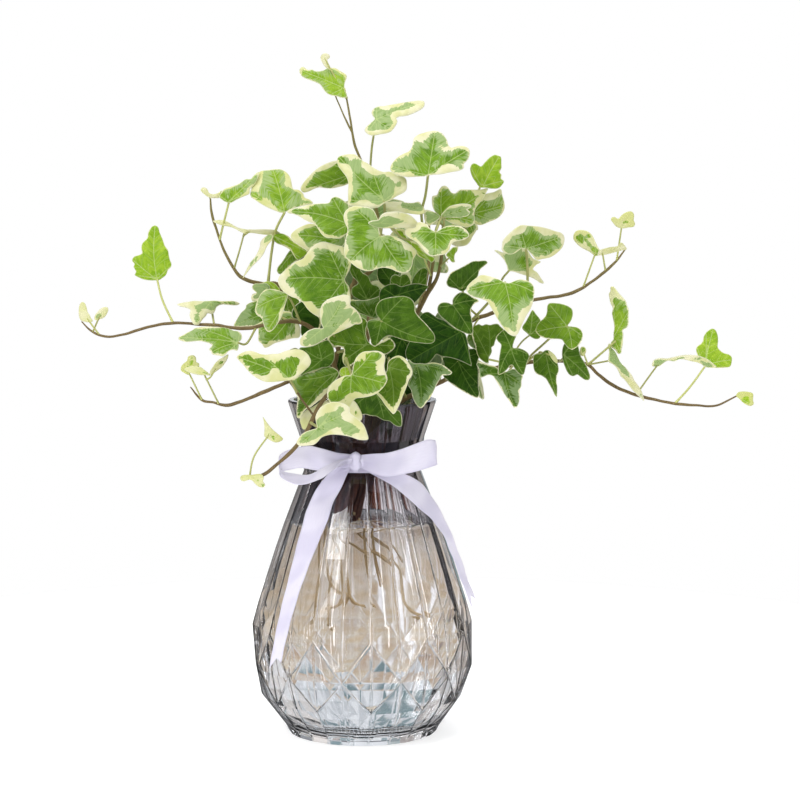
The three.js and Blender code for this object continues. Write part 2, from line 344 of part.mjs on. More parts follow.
// Leaves: name, sort, vine, whether it is a piece of its own, base point, direction of the midrib, direction that the blade faces,
// tip in the blade's plane, cupping coefficients, lobe tips, outline, and the petiole as x, y, z, radius.
const LEAVES = [
 ["1","Y","top",1,[-7.92,-20,306.28],[-0.9013,0.1217,0.4157],[0.084,-0.8924,0.4434],[22.6,0],[-0.0004,-0.0037,-0.0008,-0.0029],[4.1,-7.5,4.2,6.3],[-3.3,3.6,-1.1,1.2,0.7,-2,1.7,-6.4,5.1,-7.3,8.4,-7.8,11.3,-6.3,12.8,-4,15.6,-2.4,17.9,-2.5,19.2,-1.5,22.1,-2,22.9,-0.5,22.2,1.3,19.7,2.9,15.4,3.1,10.7,3.3,7.8,5.1,5.2,6.2,2.7,6.1,0.9,5.5,-1,5.2],[-7.9,-20,306.3,0.5,-6.7,-20,301.4,0.5]],
 ["2","C","top",0,[-15.17,-17,315.65],[-0.2964,0.1036,0.9494],[0.145,-0.9777,0.152],[6.9,0],[-0.2903,-0.0079,-0.0012,-0.0058],[],[-0.1,-0.7,2.6,-0.6,4,-0.7,4.5,-2,5.8,-2.4,7,-1,7,0.9,5.9,2,3.6,2,1.2,1.3,0.1,0.7],[-17.1,-16.2,320.3,0.4,-6.7,-20,301.4,0.4]],
 ["3","P","top",1,[7.22,-30,291.12],[0.8703,0.2917,0.3969],[-0.0579,-0.7396,0.6705],[25.3,0],[-0.0558,-0.0032,0.0013,-0.0018],[4.5,7.7,-6.5,-3.7,3.2,-8.8],[-0.6,0.8,-0.2,3,0.7,6.1,2.4,7.5,4.7,7.6,7.3,6.2,11.2,5.4,15.8,4.2,20.3,2.9,23.5,2.1,25.3,0.6,24.3,-1.7,21.5,-3.4,16.2,-4.4,13.1,-4.3,10,-3.2,8.6,-3.4,7.9,-5.5,5.3,-7.9,2.2,-9.2,-2.3,-8.4,-6.4,-7.3,-7.5,-5.5,-7.7,-2.6,-6.1,-1.1,-3.3,-0.3],[7.2,-30,291.1,0.5,4.9,-22,278.2,0.5,3.8,-19.7,261.5,0.5]],
 ["4","V","cr",1,[30.61,-50,265.41],[0.1334,0.4987,0.8565],[-0.0113,-0.8634,0.5045],[25,0],[0.0873,-0.0031,0.0005,-0.0051],[2.8,17.2,16.2,-16.2,5.3,-14.8],[0.3,-1.3,1.1,-5.3,2.7,-9.6,4.3,-14,6.1,-15.6,8.1,-15.3,10.9,-16.8,14.4,-17.3,16.8,-16.6,18,-14.6,17.6,-11.5,16.3,-8.4,17.6,-7.1,20.4,-6.1,22.8,-4.6,24.5,-2.8,25.1,-0.5,24.5,2.2,22.9,4.8,21.3,7.3,19.3,8.9,17,9.1,13.8,9.3,11.5,10.3,9.8,12.7,8.1,14.7,5.6,16.4,2.6,17.4,0.5,17.1,-1.2,15.3,-2.2,12.4,-2.1,8.8,-1.3,5.3,-0.6,1.3],[30.6,-50,265.4,0.6,29.6,-39.5,256.7,0.6,27.9,-29,248.3,0.6,29.1,-20.3,240.6,0.6,33.5,-12,227.6,0.6]],
 ["5","V","top",1,[10.76,-46,254.1],[-0.6619,0.3474,0.6642],[-0.1442,-0.9286,0.342],[32.8,0],[0.1127,-0.0034,-0.0006,-0.0045],[12,11.4,-1.4,-12.4,15.8,-6.7],[-1.2,-0.2,-2.1,-2.5,-2.7,-5.7,-3.6,-8.6,-3.6,-10.6,-1.7,-12.7,0.6,-14.1,3.3,-13.5,6.2,-12.5,8.7,-11,10.5,-9.1,12.9,-7.9,15.9,-7.2,19,-7,21.8,-6.3,24.2,-6.2,26.7,-5.9,29,-4.3,31.3,-1.9,32.4,0.2,31.3,2,28.6,3.3,25,3.9,20.8,4.6,18,6.1,15,8.8,12,11.4,10,13.1,8.2,11.7,5.3,9.3,1.7,6.9,-0.5,4.1,-0.8,1.6],[10.8,-46,254.1,0.6,10.9,-36,248.6,0.6,8.8,-15.7,239.1,0.6]],
 ["6","V","top",1,[-3.7,-26,267.03],[-0.9284,-0.0789,-0.3631],[0.2068,-0.9216,-0.3285],[24.9,0],[-0.1293,-0.0061,-0.0002,-0.0069],[9.6,-8.4,10.9,3.6],[-1.2,1,-1.8,-2.2,-0.1,-5.6,2.6,-7.4,5.3,-8.1,8.6,-8.4,12.4,-8.1,16.4,-6.8,20.9,-4.5,23.9,-2.2,25.2,-0.3,24.4,1.5,22.1,1.7,19.6,1.2,16.9,1.2,14.5,2.5,11.9,3.6,8.7,4.2,5.4,4.6,1.7,3.7],[-3.7,-26,267,0.5,3.8,-19.7,261.5,0.5]],
 ["7","Y2","ul",1,[-35.58,-22.15,248.92],[-0.2521,0.4539,0.8546],[-0.0337,-0.8867,0.461],[24.3,0],[0.0899,-0.0034,-0.0002,-0.0053],[14.4,12.8,1.8,-13.1,6,9.4],[0.3,-1.2,0.8,-4.2,0.8,-7.6,0.8,-11.4,1,-13.9,3.1,-12.9,5.1,-10.8,7,-10.7,9.6,-9.2,10.8,-6.8,13.4,-6.7,17.5,-6.9,20.6,-6,23.2,-3.9,24.5,-1,24.9,2.3,25.1,5.9,23.4,8.4,19.5,10.6,16,12.4,12.9,13.4,9.6,11.4,5.6,8,2.3,4.5,0.2,1.4],[-35.6,-22.1,248.9,0.6,-40,-15.8,240.9,0.6,-42.4,-9.4,230.9,0.6,-44.6,-3.8,215.4,0.6]],
 ["8","Y","ul",0,[-62.02,-19.85,253.56],[0.651,0.3027,0.6961],[0.0046,-0.9186,0.3951],[21.2,0],[0.0007,-0.0039,0.0011,-0.0041],[-0.2,4.9,9,-3.7],[-0.5,0.8,-0.8,3.1,-0.7,5,1.4,5.7,3.9,6,6.5,4.6,10,2.8,12.3,2.3,14.5,1.9,15.9,0.4,18.4,0.4,20.5,0.4,21.5,0,18.8,-1.8,15.4,-2.9,11.9,-3,10,-4.4,7.2,-3.5,3.3,-2.1,0.6,-1.1],[-61.3,-19.3,254.9,0.5,-67,-8.8,236.2,0.5]],
 ["9","Y","cr",0,[56.19,-24,260.63],[0.4617,0.3785,0.8023],[0.3321,-0.9124,0.2394],[18.8,0],[0.1327,-0.004,-0.0011,-0.0053],[4.4,9.2,8.3,-7.2],[-0.8,1.1,0,3.9,0.8,6.1,2.3,8.1,4.2,9.5,6.4,9.7,7.4,9,7.8,7.6,8.1,5.5,11.2,4.7,14.9,3.7,17.4,2.3,18.2,0.6,18.5,-0.8,15.8,-2.4,13.5,-3.5,11,-3.7,10.4,-5,8.7,-5.6,8.4,-7.4,6.5,-7.6,4,-6.9,1.8,-4.2,0.6,-1.6],[56.1,-23.8,262.1,0.5,50,-20.1,252.3,0.5,37.4,-14.1,236.2,0.5]],
 ["10","Y2","cr",1,[37.12,-30,246.79],[0.8525,0.2192,0.4745],[0.3689,-0.8955,-0.2491],[25.5,0],[0.0819,-0.0039,-0.0014,-0.0036],[5.7,13.1,13.4,-10.3],[-1.2,1.7,-2,4.4,-2,7.2,-1.1,10,-0.1,11.5,2,10.9,3.8,12.5,5.8,13.3,7.5,12.7,8.4,11,8.8,8.6,10.4,7.1,13.3,7.2,16.1,5.6,19.8,3.4,23.1,1.4,26.6,-0.2,24.9,-1.5,22.9,-2.7,20.3,-3.6,17.7,-4.4,15.6,-6.1,14.5,-8.7,13.6,-10.7,11.8,-11.3,8.8,-10.4,6.4,-8.4,3.3,-5.3,1.3,-2.5],[37.1,-30,246.8,0.5,34.5,-22,239.8,0.5,37.5,-13,232.6,0.5]],
 ["11","V","cr",0,[52.04,-18,248.65],[0.9733,-0.0879,0.2119],[-0.0116,-0.9415,-0.3369],[14.8,0],[-0.1283,-0.0079,-0.0005,-0.0077],[9.6,6.7,7.8,-5.9],[-1,-2.4,-0.4,2.5,2.7,5.6,5.9,7.1,8.8,7.2,11.6,7,15,7.5,15.1,4.7,15.3,1.3,14.7,-1.8,13,-4.2,10.2,-5.8,6.3,-6.5,1.8,-7,-0.3,-5.6],[53.1,-18,248.7,0.5,46.2,-12.1,241.6,0.5,37.5,-13,232.6,0.5]],
 ["11b","V","cr",0,[50.76,-15,243.53],[-0.4954,0.297,-0.8163],[-0.3834,-0.918,-0.1014],[12.8,0],[-0.0007,-0.0065,-0.0015,-0.0071],[3.7,4.6,7.3,-3.8],[-0.2,-1.3,-1.7,1.2,-1.2,3.7,1.3,4.3,4,4.2,6.7,4.4,9.4,3.9,11.8,1.8,13.4,-0.8,13.5,-3.2,10.2,-4.5,5.8,-4.2,2,-2.9],[50.6,-14.9,242.8,0.4,43.8,-12,238.4,0.4,37.5,-13,232.6,0.4]],
 ["12","P","cr",0,[36.96,-38,247.07],[0.9474,-0.1628,0.2757],[0.0566,-0.7623,-0.6448],[14.5,0],[-0.0011,-0.0054,0.0006,-0.0026],[5.8,3.9,10.4,-4.4],[0,0.6,1.9,2.3,4.9,4,7.8,4,11.3,3.1,14.4,0.5,14.1,-0.7,12.2,-1.2,12.8,-3,11.4,-4.6,9,-4.3,5.6,-2.9,2.2,-1.3,0.2,-0.8],[39,-38.7,248.2,0.4,38.1,-17,242.6,0.4]],
 ["12b","P","cr",0,[35.73,-33,246.79],[-0.9251,0.1164,0.3614],[0.1637,-0.7365,0.6563],[7.4,0],[-0.0546,-0.0031,-0.0006,-0.0019],[3.4,4.9],[-0.5,-0.6,1.8,-1.6,4.4,-1.9,6.8,-1.6,7.7,-0.4,6.5,1.9,4.9,5,2.3,6.7,0.8,4,-0.5,1.3],[34.5,-33.2,246.8,0.4,38.1,-17,242.6,0.4]],
 ["13","V","ul",1,[-5.16,-44,243.4],[-0.9626,0.1195,0.2432],[-0.0399,-0.9502,0.309],[29.3,0],[0.1166,-0.0047,-0.001,-0.0052],[10.5,-10.2,6.8,7.6],[-1.5,-1.6,-0.7,-5.2,0.7,-7.7,3,-9.1,5.8,-10.4,7.8,-11,9.7,-11,11.2,-9.8,11.7,-7.8,15.6,-6.4,20,-5,24.3,-3.1,27.4,-1.7,29.8,0,28.9,0.7,26.4,0.8,23.5,1.4,20.8,2.4,18.2,3,15.4,3.5,13.5,5.1,11,7.4,8.6,8.6,5.6,8.3,2.1,7.5,0.7,5.9,-0.8,3.4],[-5.2,-44,243.4,0.6,-2.6,-31,239.1,0.6,-1.3,-18.4,232.5,0.6,-2,-10.8,225.5,0.6]],
 ["14","V","top",1,[9.06,-58.96,238.2],[-0.7682,-0.2029,-0.6073],[0.0797,-0.9714,0.2237],[17.2,0],[0.0832,-0.0083,0.0001,-0.0082],[0.7,-17.4,1.5,18.9,-8.3,15.2],[-0.6,0,-3.2,1.8,-5.4,4.7,-6.9,7.8,-8.2,11.2,-8.8,14.1,-8.2,16,-5.4,17.2,-2.9,19.2,-0.2,20.2,2.3,19.2,4.1,17.1,5.5,14.5,7.6,12,9.9,10.7,12.6,9.7,14.6,8.1,16.3,5.2,17.2,2.1,17.6,-0.9,17.5,-3.4,15.9,-5.8,13.6,-8,11.2,-10,9.1,-11.8,8.2,-14.6,6.9,-17.2,4.8,-18.7,2.4,-18.8,-0.3,-17.9,-2.8,-15.3,-4.8,-12.8,-5.3,-10.6,-4.7,-8.1,-3.9,-5.8,-1.7,-2.8],[9.1,-59,238.2,0.6,8.9,-50.7,245.3,0.6,8.8,-37.2,245.8,0.6,8.2,-16.9,242.6,0.6]],
 ["15","P","cr",0,[9.32,-62.34,244.36],[0.9608,0.2634,-0.086],[0.0993,-0.6168,-0.7808],[17.5,0],[-0.0397,-0.0034,-0.0017,-0.0017],[5.4,6.9,-5.4,-1.3],[-1.3,1.8,-1,4.3,0.4,6.4,2.9,7.5,6,8.1,9.5,7.1,12.8,5.2,16,2.3,17.6,0,17.6,-1.9,14.5,-2.7,9.8,-2.9,5.4,-3.8,1.3,-4,-2.7,-2.8,-5.4,-1.3,-4.3,0.6],[9.1,-62.4,244.4,0.5,11.7,-54.7,242.8,0.5,15.1,-45.5,241.4,0.5,19.1,-34.2,237.1,0.5,31.1,-16,236.1,0.5]],
 ["15b","V","cr",0,[27.15,-36,250.9],[-0.9272,0.3536,0.1236],[-0.0832,-0.5162,0.8524],[16.9,0],[-0.0292,-0.0028,-0.0021,-0.001],[5.8,5.3],[-3.4,3.8,-2.1,0,0.4,-3.1,2.5,-5.1,5.3,-3.5,10.2,-3.2,15.2,-3.2,17.9,-2.1,16.8,0.8,14.5,3.6,11.5,4.9,7.9,5,3.9,5.3,0.4,5.4,-1.9,5],[26.9,-36,250.9,0.4,29.2,-21,240.8,0.4]],
 ["16","P","cr",1,[33.81,-62.71,239.79],[-0.0245,-0.4573,-0.889],[0.0089,-0.8893,0.4573],[11,0],[-0.1144,-0.0076,-0.0003,-0.0098],[-1.1,-13.1,-0.7,14.6,-5.1,-8.3,-4.3,10],[-0.6,0.2,-2.2,2.4,-4,5.1,-4.6,7.8,-4.8,10.9,-4.1,12.8,-2.9,14.4,-1,15.1,0.9,13.7,2.3,11,3.5,8.3,5.6,6.8,7.4,6.4,9.7,4.4,10.7,1.3,11.1,-1.3,10,-3.6,7.5,-5.6,4.7,-7.6,2.9,-9.9,1.6,-11.7,-0.7,-13.5,-3.2,-13.2,-3.5,-11.4,-3.3,-9,-5.4,-8.7,-5.9,-7,-4.6,-4.3,-1.7,-2],[33.8,-62.7,239.8,0.5,36.8,-46.5,246.3,0.5,38.3,-28.2,243.6,0.5,37.4,-14.1,236.2,0.5]],
 ["17","V2","ul",0,[-10.99,-32,235.79],[-0.9871,0.0679,0.1451],[-0.0079,-0.9251,0.3797],[21.9,0],[-0.0889,-0.005,-0.0007,-0.0042],[14.4,-6.7,12.5,6.4],[-3.8,0.3,-2.7,-3.1,0.3,-4.6,4.2,-5.1,8.1,-6.1,12.1,-7.3,14.4,-7.1,17.4,-5.5,20.3,-3.2,21.9,-0.6,21.1,1.7,18.2,3.6,15.1,5.1,12,6.5,8,5.4,2.5,4.7,-1.9,3.1],[-10.8,-32,235.8,0.5,-8.5,-22.1,230.8,0.5,-2,-10.8,225.5,0.5]],
 ["18","V","ul",1,[-7.62,-46,218.16],[-0.9997,0.004,0.0227],[-0.0007,-0.9896,0.1438],[29.9,0],[0.1016,-0.0054,-0.0002,-0.0055],[8.4,-16.9,11.2,16,-1.8,9,-1.8,-8.3],[-0.6,-0.4,-1.7,-2.9,-2.8,-5.4,-3.3,-8.4,-1.7,-12,0.2,-15,3.4,-15.9,6.6,-16.9,9.8,-17.5,12.5,-16.6,15.2,-14.5,17,-12.2,18.8,-9.7,21.9,-8.3,25.1,-5.9,27.8,-3.6,29.7,-1.4,30.1,0.9,28.6,4,26.2,6.3,23.4,7.9,20.6,8.8,18.2,10.6,15.9,13.6,13.1,15.8,10.3,16.9,7.6,14.9,4.5,11.9,1.4,10.7,-1.8,10.8,-3.3,8,-2.9,5.3,-2.5,2.8,-1.1,1.2],[-7.6,-46,218.2,0.6,-5.3,-32.6,213.1,0.6,-5.5,-17.7,210,0.6,-5.7,-6,207.5,0.6]],
 ["19","P2","ul",1,[-15.73,-62,198.05],[0.9889,0.1226,0.0836],[0.1428,-0.939,-0.3129],[16.9,0],[-0.0819,-0.0067,-0.0004,-0.007],[9.7,12.6,-9.6,-7.8],[-0.8,-0.7,-1.5,1.7,-1.6,4.5,-1.5,7.2,-0.5,9.8,1.5,11.5,4.3,12.5,7,12.9,10.2,13.1,12.4,11.9,12.6,10.4,12.3,8.3,13.9,6.7,15.6,4.6,16.8,2.1,17.2,-0.3,15.7,-1,13.8,-0.8,12,-1.7,9.6,-2.5,5.9,-3.8,2.2,-5.1,-1.5,-7.3,-5.1,-9.1,-8.7,-9.7,-11.1,-8.7,-11.3,-6.1,-9.8,-3.6,-7.1,-1.5,-3.9,-0.5,-2.1,-0.8],[-15.7,-62,198.1,0.5,-13.7,-45.7,194.4,0.5,-11.3,-31.4,190.8,0.5,-9.2,-21.4,187.9,0.5,-7.4,-11.3,184.3,0.5,-11.9,3,182.1,0.5]],
 ["20","G","cr",1,[9.71,-60,200.45],[0.9183,-0.0982,-0.3835],[-0.1675,-0.9741,-0.1516],[25.2,0],[0.0971,-0.0057,-0.0003,-0.005],[5.5,14.2,1.8,-11.4,-5,-2.7],[-0.8,0.2,-3.1,1.6,-4.5,4.2,-4.4,7,-3.3,9.2,-1.1,11.1,2.1,13,5.3,14.6,8.1,14.8,10.1,13.9,11.5,12.2,12.8,9.8,15.3,8.1,18.2,6.6,21.4,4.8,23.6,3.4,25,1.5,25.2,-0.5,23.8,-1.8,19.6,-3,15.3,-4,11.7,-4.4,8.3,-4.5,5.6,-4.9,3.9,-6.8,2.7,-9.8,1.6,-12.1,-0.3,-11.6,-1.9,-9.3,-4.1,-6.3,-5.6,-4.3,-5.5,-2.2,-3.5,-0.9],[9.7,-60,200.4,0.6,12,-47.6,197.3,0.6,14.6,-33.5,193.5,0.6,17.1,-22.2,189.9,0.6,18.4,-11.1,186.7,0.6,18.1,-0.1,184.7,0.6]],
 ["21","V","fl",1,[-33.57,-42,211.06],[-0.5025,-0.1932,-0.8427],[-0.1601,-0.9371,0.3102],[18.7,0],[-0.0893,-0.0052,0.0003,-0.004],[11.6,-10.5,7.1,2],[-0.6,0.2,-0.6,-2.9,-0.1,-6.3,0.9,-9.1,2.3,-11,4.8,-11.8,7.5,-11.8,10.3,-11.2,13,-10.2,14.2,-8.3,14.4,-5.9,15.7,-4,17.4,-2.2,18.4,-0.7,18.4,0.9,16.8,2.1,13.9,2.7,10.3,2.8,7,2.2,3.3,1.2],[-33.6,-42,211.1,0.5,-31.8,-33.4,207.8,0.5,-28.4,-24,197.8,0.5]],
 ["22","D","ur",1,[41.99,-50,207.11],[0.5571,-0.1023,-0.8241],[0.0294,-0.9893,0.1428],[15.6,0],[0.1033,-0.008,0.0002,-0.0079],[-2.8,-5.8,4.2,10.3,-2.5,6],[-0.4,-0.1,-2,1.1,-2.9,3,-3,5.8,-1.2,7.9,1.8,9.2,4.3,10.8,5.2,10.7,4.9,8.7,5.7,6.3,7.5,4.8,10.4,3.4,13.6,1.8,15.5,0.6,15.6,-0.5,13.5,-2.5,10.7,-4.4,7.7,-5.7,4.3,-6.7,1.3,-7.6,-1.6,-7.4,-3.4,-5.9,-3.8,-4,-3,-2.3,-1.8,-1],[42,-50,207.1,0.5,46.6,-33.9,201.4,0.5,51.9,-17.9,198.7,0.5]],
 ["22c","D2","ur",0,[51.41,-20.98,192.56],[0.5729,-0.0967,-0.8139],[0.1079,-0.9755,0.1918],[10.4,0],[0.0001,-0.0085,0.0001,-0.0081],[1.6,-3.1,4.3,4.3],[-0.8,-0.3,-1.5,1.9,-0.2,3.3,1.7,4.3,3.9,4.9,6.7,2.9,9.7,0.6,9.8,-1.3,7.5,-2.6,4.4,-3.9,1.7,-3.7,0,-2.5],[52,-21,191.9,0.4,52.6,-21,196.1,0.4,55.2,-19.7,200,0.4]],
 ["23","D","ur",0,[45.15,-42,214.07],[0.708,0.2528,0.6594],[0.2453,-0.9636,0.106],[18.7,0],[0.0961,-0.0057,-0.0009,-0.0062],[-0.4,7,6.7,-2.9],[-0.5,-0.5,-0.9,0.8,-2.6,3.2,-3.2,4.7,-2.8,6.2,-0.5,7.6,2,8.2,4.6,7.5,7.8,6.5,11.1,5.7,13.7,4.9,16.5,2.7,18.8,0.8,18.8,-0.4,16.8,-0.5,14.3,-0.2,12.4,-0.6,10.7,-1.6,8.3,-2,4.9,-2,2.1,-2.2,0.4,-2],[46.1,-41.7,214.7,0.5,50,-27.1,205,0.5,55.2,-19.7,200,0.5]],
 ["24","V","ur",1,[64.88,-62,217.67],[0.1341,-0.3918,-0.9102],[-0.1586,-0.9152,0.3706],[24.3,0],[-0.0785,-0.0055,0.0005,-0.0057],[-0.8,-17.1,6.2,11.8],[-0.6,-0.6,-2.4,-2.9,-4.4,-6.2,-5.8,-8.8,-6.1,-10.7,-5.1,-13.2,-3.8,-15.7,-1.9,-17.6,-0.4,-17.8,1.9,-16.6,3.6,-14.5,5.3,-11.5,6.8,-9.4,9.1,-8.4,12.7,-7.1,16.1,-5.9,19.1,-4.6,21.7,-3.2,23.6,-1.7,24.5,0,24.3,1.3,22.3,3,19.5,4.9,16.2,7.2,14.2,8.9,11.6,10.5,8.5,11.6,5.3,12.3,2.9,12.1,1.1,10.6,0,8.5,-0.5,6.3,-0.1,4.1,0.5,1.7],[64.9,-62,217.7,0.6,62.6,-47.4,213.2,0.6,58.5,-33.6,207.3,0.6,51.9,-17.9,198.7,0.6]],
 ["25","V","ur",1,[75.03,-48,232.59],[0.8892,0.387,0.2442],[0.4441,-0.8584,-0.2569],[20.8,0],[0.035,-0.0043,-0.0024,-0.0048],[-2.4,11.5,9.6,-5.3,-10.8,4],[0.4,-0.8,2.7,-3.9,5.1,-7,7.8,-7.3,12.1,-7.6,16.2,-6.8,19.2,-5.3,20.6,-3.3,21.1,-0.3,19.6,2,16.3,3.8,12.6,6.1,8.4,8.2,3.2,10.1,-1.3,11.6,-3.5,11.3,-6.2,10.1,-8.9,8.4,-11.1,6.5,-11.8,4.3,-12.1,2.7,-11.5,1.3,-8.7,-0.5,-6.2,-0.8,-3.6,0,-2.3,0.6,-0.8,0],[75,-48,232.6,0.6,76.4,-37,223.5,0.6,77.3,-22.3,207.6,0.6]],
 ["26","P","ur",1,[68.34,-34,222.52],[0.9769,0.1234,0.1743],[0.196,-0.8421,-0.5025],[15.2,0],[-0.2112,-0.0041,-0.0008,-0.0017],[-5.7,10,15.8,-12.4],[-0.7,-0.5,-1,2.1,-2,5.2,-3.6,7.9,-6.1,10.6,-4.7,10.4,-2.5,9.1,0.7,8.5,5.2,10.4,9.2,7.7,11.6,3.3,15.2,0.5,12.7,-0.5,11.3,-2.5,13.3,-5.3,15.3,-9.6,16.8,-13.6,14.8,-12.4,12.3,-9.3,8.9,-6.3,5,-3.5,1.7,-1.3],[68.3,-34,222.5,0.5,65,-26.7,217.2,0.5,62.4,-22.5,202.6,0.5]],
 ["27","C2","ur",0,[110.12,-17,229.55],[-0.7745,0.3017,0.556],[-0.4012,-0.9138,-0.0629],[14,0],[0.0005,-0.0063,0.0011,-0.0069],[7.9,-5.4],[-0.1,1.1,3.4,1.2,7.7,1.9,10.9,1.8,13.7,0.9,14.9,-1.3,14.5,-3.3,12.5,-5,9.6,-6.1,7,-5.9,4.2,-4.5,1.4,-3,-0.3,-2.2,-1,-0.3],[109.6,-16.8,230.5,0.4,103.8,-16.6,213.9,0.4]],
 ["27b","C2","ur",0,[110.4,-19,229.59],[0.9727,-0.071,0.2208],[0.1217,-0.6542,-0.7465],[13.4,0],[-0.0774,-0.0023,-0.0002,-0.002],[10,3.3],[-0.3,-0.7,0.8,2.1,3.2,2.4,6.5,2.6,9.4,2.2,11.5,3.9,13,1.1,13.4,-2,11.3,-1.8,8.9,-1.8,5.1,-1.7,1.7,-1.5],[112.4,-19.4,230.3,0.4,114.5,-13.9,221.6,0.4]],
 ["28","C2","ur",0,[121.87,-14,241.66],[0.5548,0.2873,0.7808],[0.2322,-0.9547,0.1863],[9.5,0],[0.0909,-0.0066,-0.0011,-0.0076],[0.5,6.3,4.6,-4.2],[-0.4,0.2,-1.1,2.7,-0.6,4.9,0,6.5,1.2,6.7,2.2,5.6,2.4,3.9,4.5,3.5,6.5,3,8.9,1.5,9.8,0.1,9,-1.5,6.8,-2.6,5.6,-4.2,4.2,-4.4,2,-2.3,0.5,-1],[122,-13.7,243.2,0.4,119.8,-12.9,226.3,0.4]],
 ["29","G","lr",1,[93.9,-50,197.37],[-0.9648,0.2059,-0.1638],[-0.2316,-0.96,0.1574],[14.9,0],[-0.1057,-0.0094,-0.0005,-0.009],[7,-11.4,-0.5,9.8,-5.4,4.7],[-0.1,-0.3,-1.3,-1.6,-2.5,-3.4,-3.1,-5.6,-2.9,-7.8,-1.2,-9.5,1.4,-10.9,4.6,-11.9,7.4,-12.2,8.3,-11.1,8.7,-8.8,9.3,-7,10.9,-5.4,12.7,-4.3,14.4,-2.4,15.1,-0.5,14.2,1.3,12,3.1,8.9,4.3,5.7,4.8,3.4,5.6,2.6,7.3,1.3,9.4,-0.3,10.5,-2.3,9.9,-4.3,8.5,-5.8,6.3,-6.3,4.3,-5.8,2.4,-4.2,1,-1.6,0.2],[93.9,-50,197.4,0.5,88.3,-40.6,192.8,0.5,83.9,-30.9,187.8,0.5,79.3,-19.9,182.2,0.5,77.7,-9.2,178.1,0.5]],
 ["30","G2","lr",0,[78.06,-32,192.26],[0.0987,0.2997,0.9489],[-0.1624,-0.9359,0.3124],[12.3,0],[0.1923,-0.0072,0.0014,-0.008],[3.3,3.5,5.6,-4.2],[12.6,0,10.6,-1.8,7.6,-4.3,4.2,-4.8,0.8,-5.1,-1.3,-4.6,-1.7,-2.8,-0.7,-0.5,0.9,1.4,3.2,3.9,6.8,2.4,9.6,1.3],[79.2,-32,193.3,0.4,74.9,-28.4,189.5,0.4,71.8,-18.3,183.2,0.4,71.8,-7,176.9,0.4]],
 ["31","G","lr",0,[84.99,-36,184.88],[0.2244,-0.2997,-0.9273],[-0.0713,-0.954,0.2911],[21.2,0],[-0.1505,-0.0057,0,-0.0061],[3.9,-6.4,8.5,3.8],[-0.4,1.8,-0.8,0,0.1,-2.1,-0.3,-4.4,0.3,-5.8,2.5,-6.5,5.2,-7,7.6,-6.9,9.2,-5.8,10.3,-4.2,12.1,-2.8,14.7,-2,17.5,-1.2,20.4,-0.5,21.3,0,19.6,0.7,16.5,1.5,14.2,1.7,12,2.5,9.9,3.8,7.6,4.2,5.2,4,2.2,2.8],[85.1,-36.3,183.7,0.5,81.9,-27.8,183.3,0.5,77.7,-9.2,178.1,0.5]],
 ["31b","C","lr",0,[86.61,-39,185.31],[0.5471,-0.2014,-0.8125],[-0.2738,-0.9603,0.0537],[6.1,0],[-0.1965,-0.0043,0.0001,-0.0055],[],[-0.6,-0.3,0.4,0.5,2.9,1.1,5.3,0.8,6.6,-0.2,5,-0.9,2.1,-1],[87.7,-39.4,183.4,0.4,82.8,-31.3,184.6,0.4,85.5,-11.8,179,0.4]],
 ["32","G","lr",0,[92.97,-40,183.99],[0.7159,-0.1012,-0.6909],[-0.1431,-0.9897,-0.0032],[16.4,0],[-0.1222,-0.0075,0,-0.0077],[-1.2,7.4,9.8,-4],[0,-1,-1.9,1.1,-3.1,3.4,-3,5.4,-1.7,7.2,0.8,8,2.6,7.2,4.5,5.9,6.8,4.7,9.3,4.1,11.5,3.4,14,2.2,16.2,0.7,16.4,-0.7,15.2,-1.7,13.1,-2.1,10.9,-2.4,10.4,-3.9,8.8,-4.9,6.6,-4.6,4.5,-3.7,2,-2.5],[94.1,-40.1,183.9,0.5,92.8,-28,180.5,0.5,93.2,-13.9,179.2,0.5]],
 ["32b","C","lr",0,[101.8,-36,183.04],[0.2173,0.1017,0.9708],[0.1173,-0.9901,0.0775],[4.3,0],[-0.0987,-0.0044,-0.0002,-0.0041],[],[0.3,0.8,2.5,1.5,3.9,1.3,4.4,0,3.3,-1.3,1.7,-1.4,0,-0.5],[102.4,-35.7,184.9,0.4,106.2,-17.6,177.7,0.4]],
 ["33","G","lr",1,[68.56,-46,187.36],[-0.4181,0.0002,-0.9084],[-0.0933,-0.9947,0.0428],[13.1,0],[0.123,-0.0094,-0.0001,-0.0094],[-5.5,-6.6,8.4,9.9,-0.7,8],[-0.6,0.8,-1.4,2.9,-1.7,5.4,-1.2,8,0,9.3,2.2,9.4,5.5,9.9,8.5,10.3,9.3,9.3,8.4,6.4,6.9,3.5,9.7,2.5,12.5,1.2,13.5,-0.2,10.8,-1.5,6.4,-3,2.9,-4,0.5,-4.8,-0.3,-6.9,-1.7,-8.2,-4,-7.6,-6.3,-6.4,-5.7,-3.9,-5.5,-1.5,-6.1,-0.2,-3.5,0],[68.6,-46,187.4,0.5,72.1,-33,182.5,0.5,75,-21.9,179.3,0.5,77.7,-9.2,178.1,0.5]],
 ["33b","Y3","lr",0,[59.38,-26.81,181.02],[-0.0196,0.2013,0.9793],[-0.0068,-0.9795,0.2012],[16.7,0],[-0.1002,-0.0057,-0.0001,-0.0057],[14.1,6.6,13.3,-6.9],[15.8,7,16.4,5.6,16.9,4.2,16.1,2.8,16.7,0.9,16.2,-0.9,16.7,-2.8,16.7,-4.7,15.5,-5.8,13.8,-7.4,12.1,-6,10.9,-4.3,9.2,-3.5,8,-3,6.3,-2.5,5.4,-1.3,3.8,-1.5,2.3,-1,0.7,0,-2.1,0.3,-1,2.8,1.6,5.1,6.4,6.3,11.2,7.6],[57.6,-26.6,181.2,0.5,71.8,-7,176.9,0.5]],
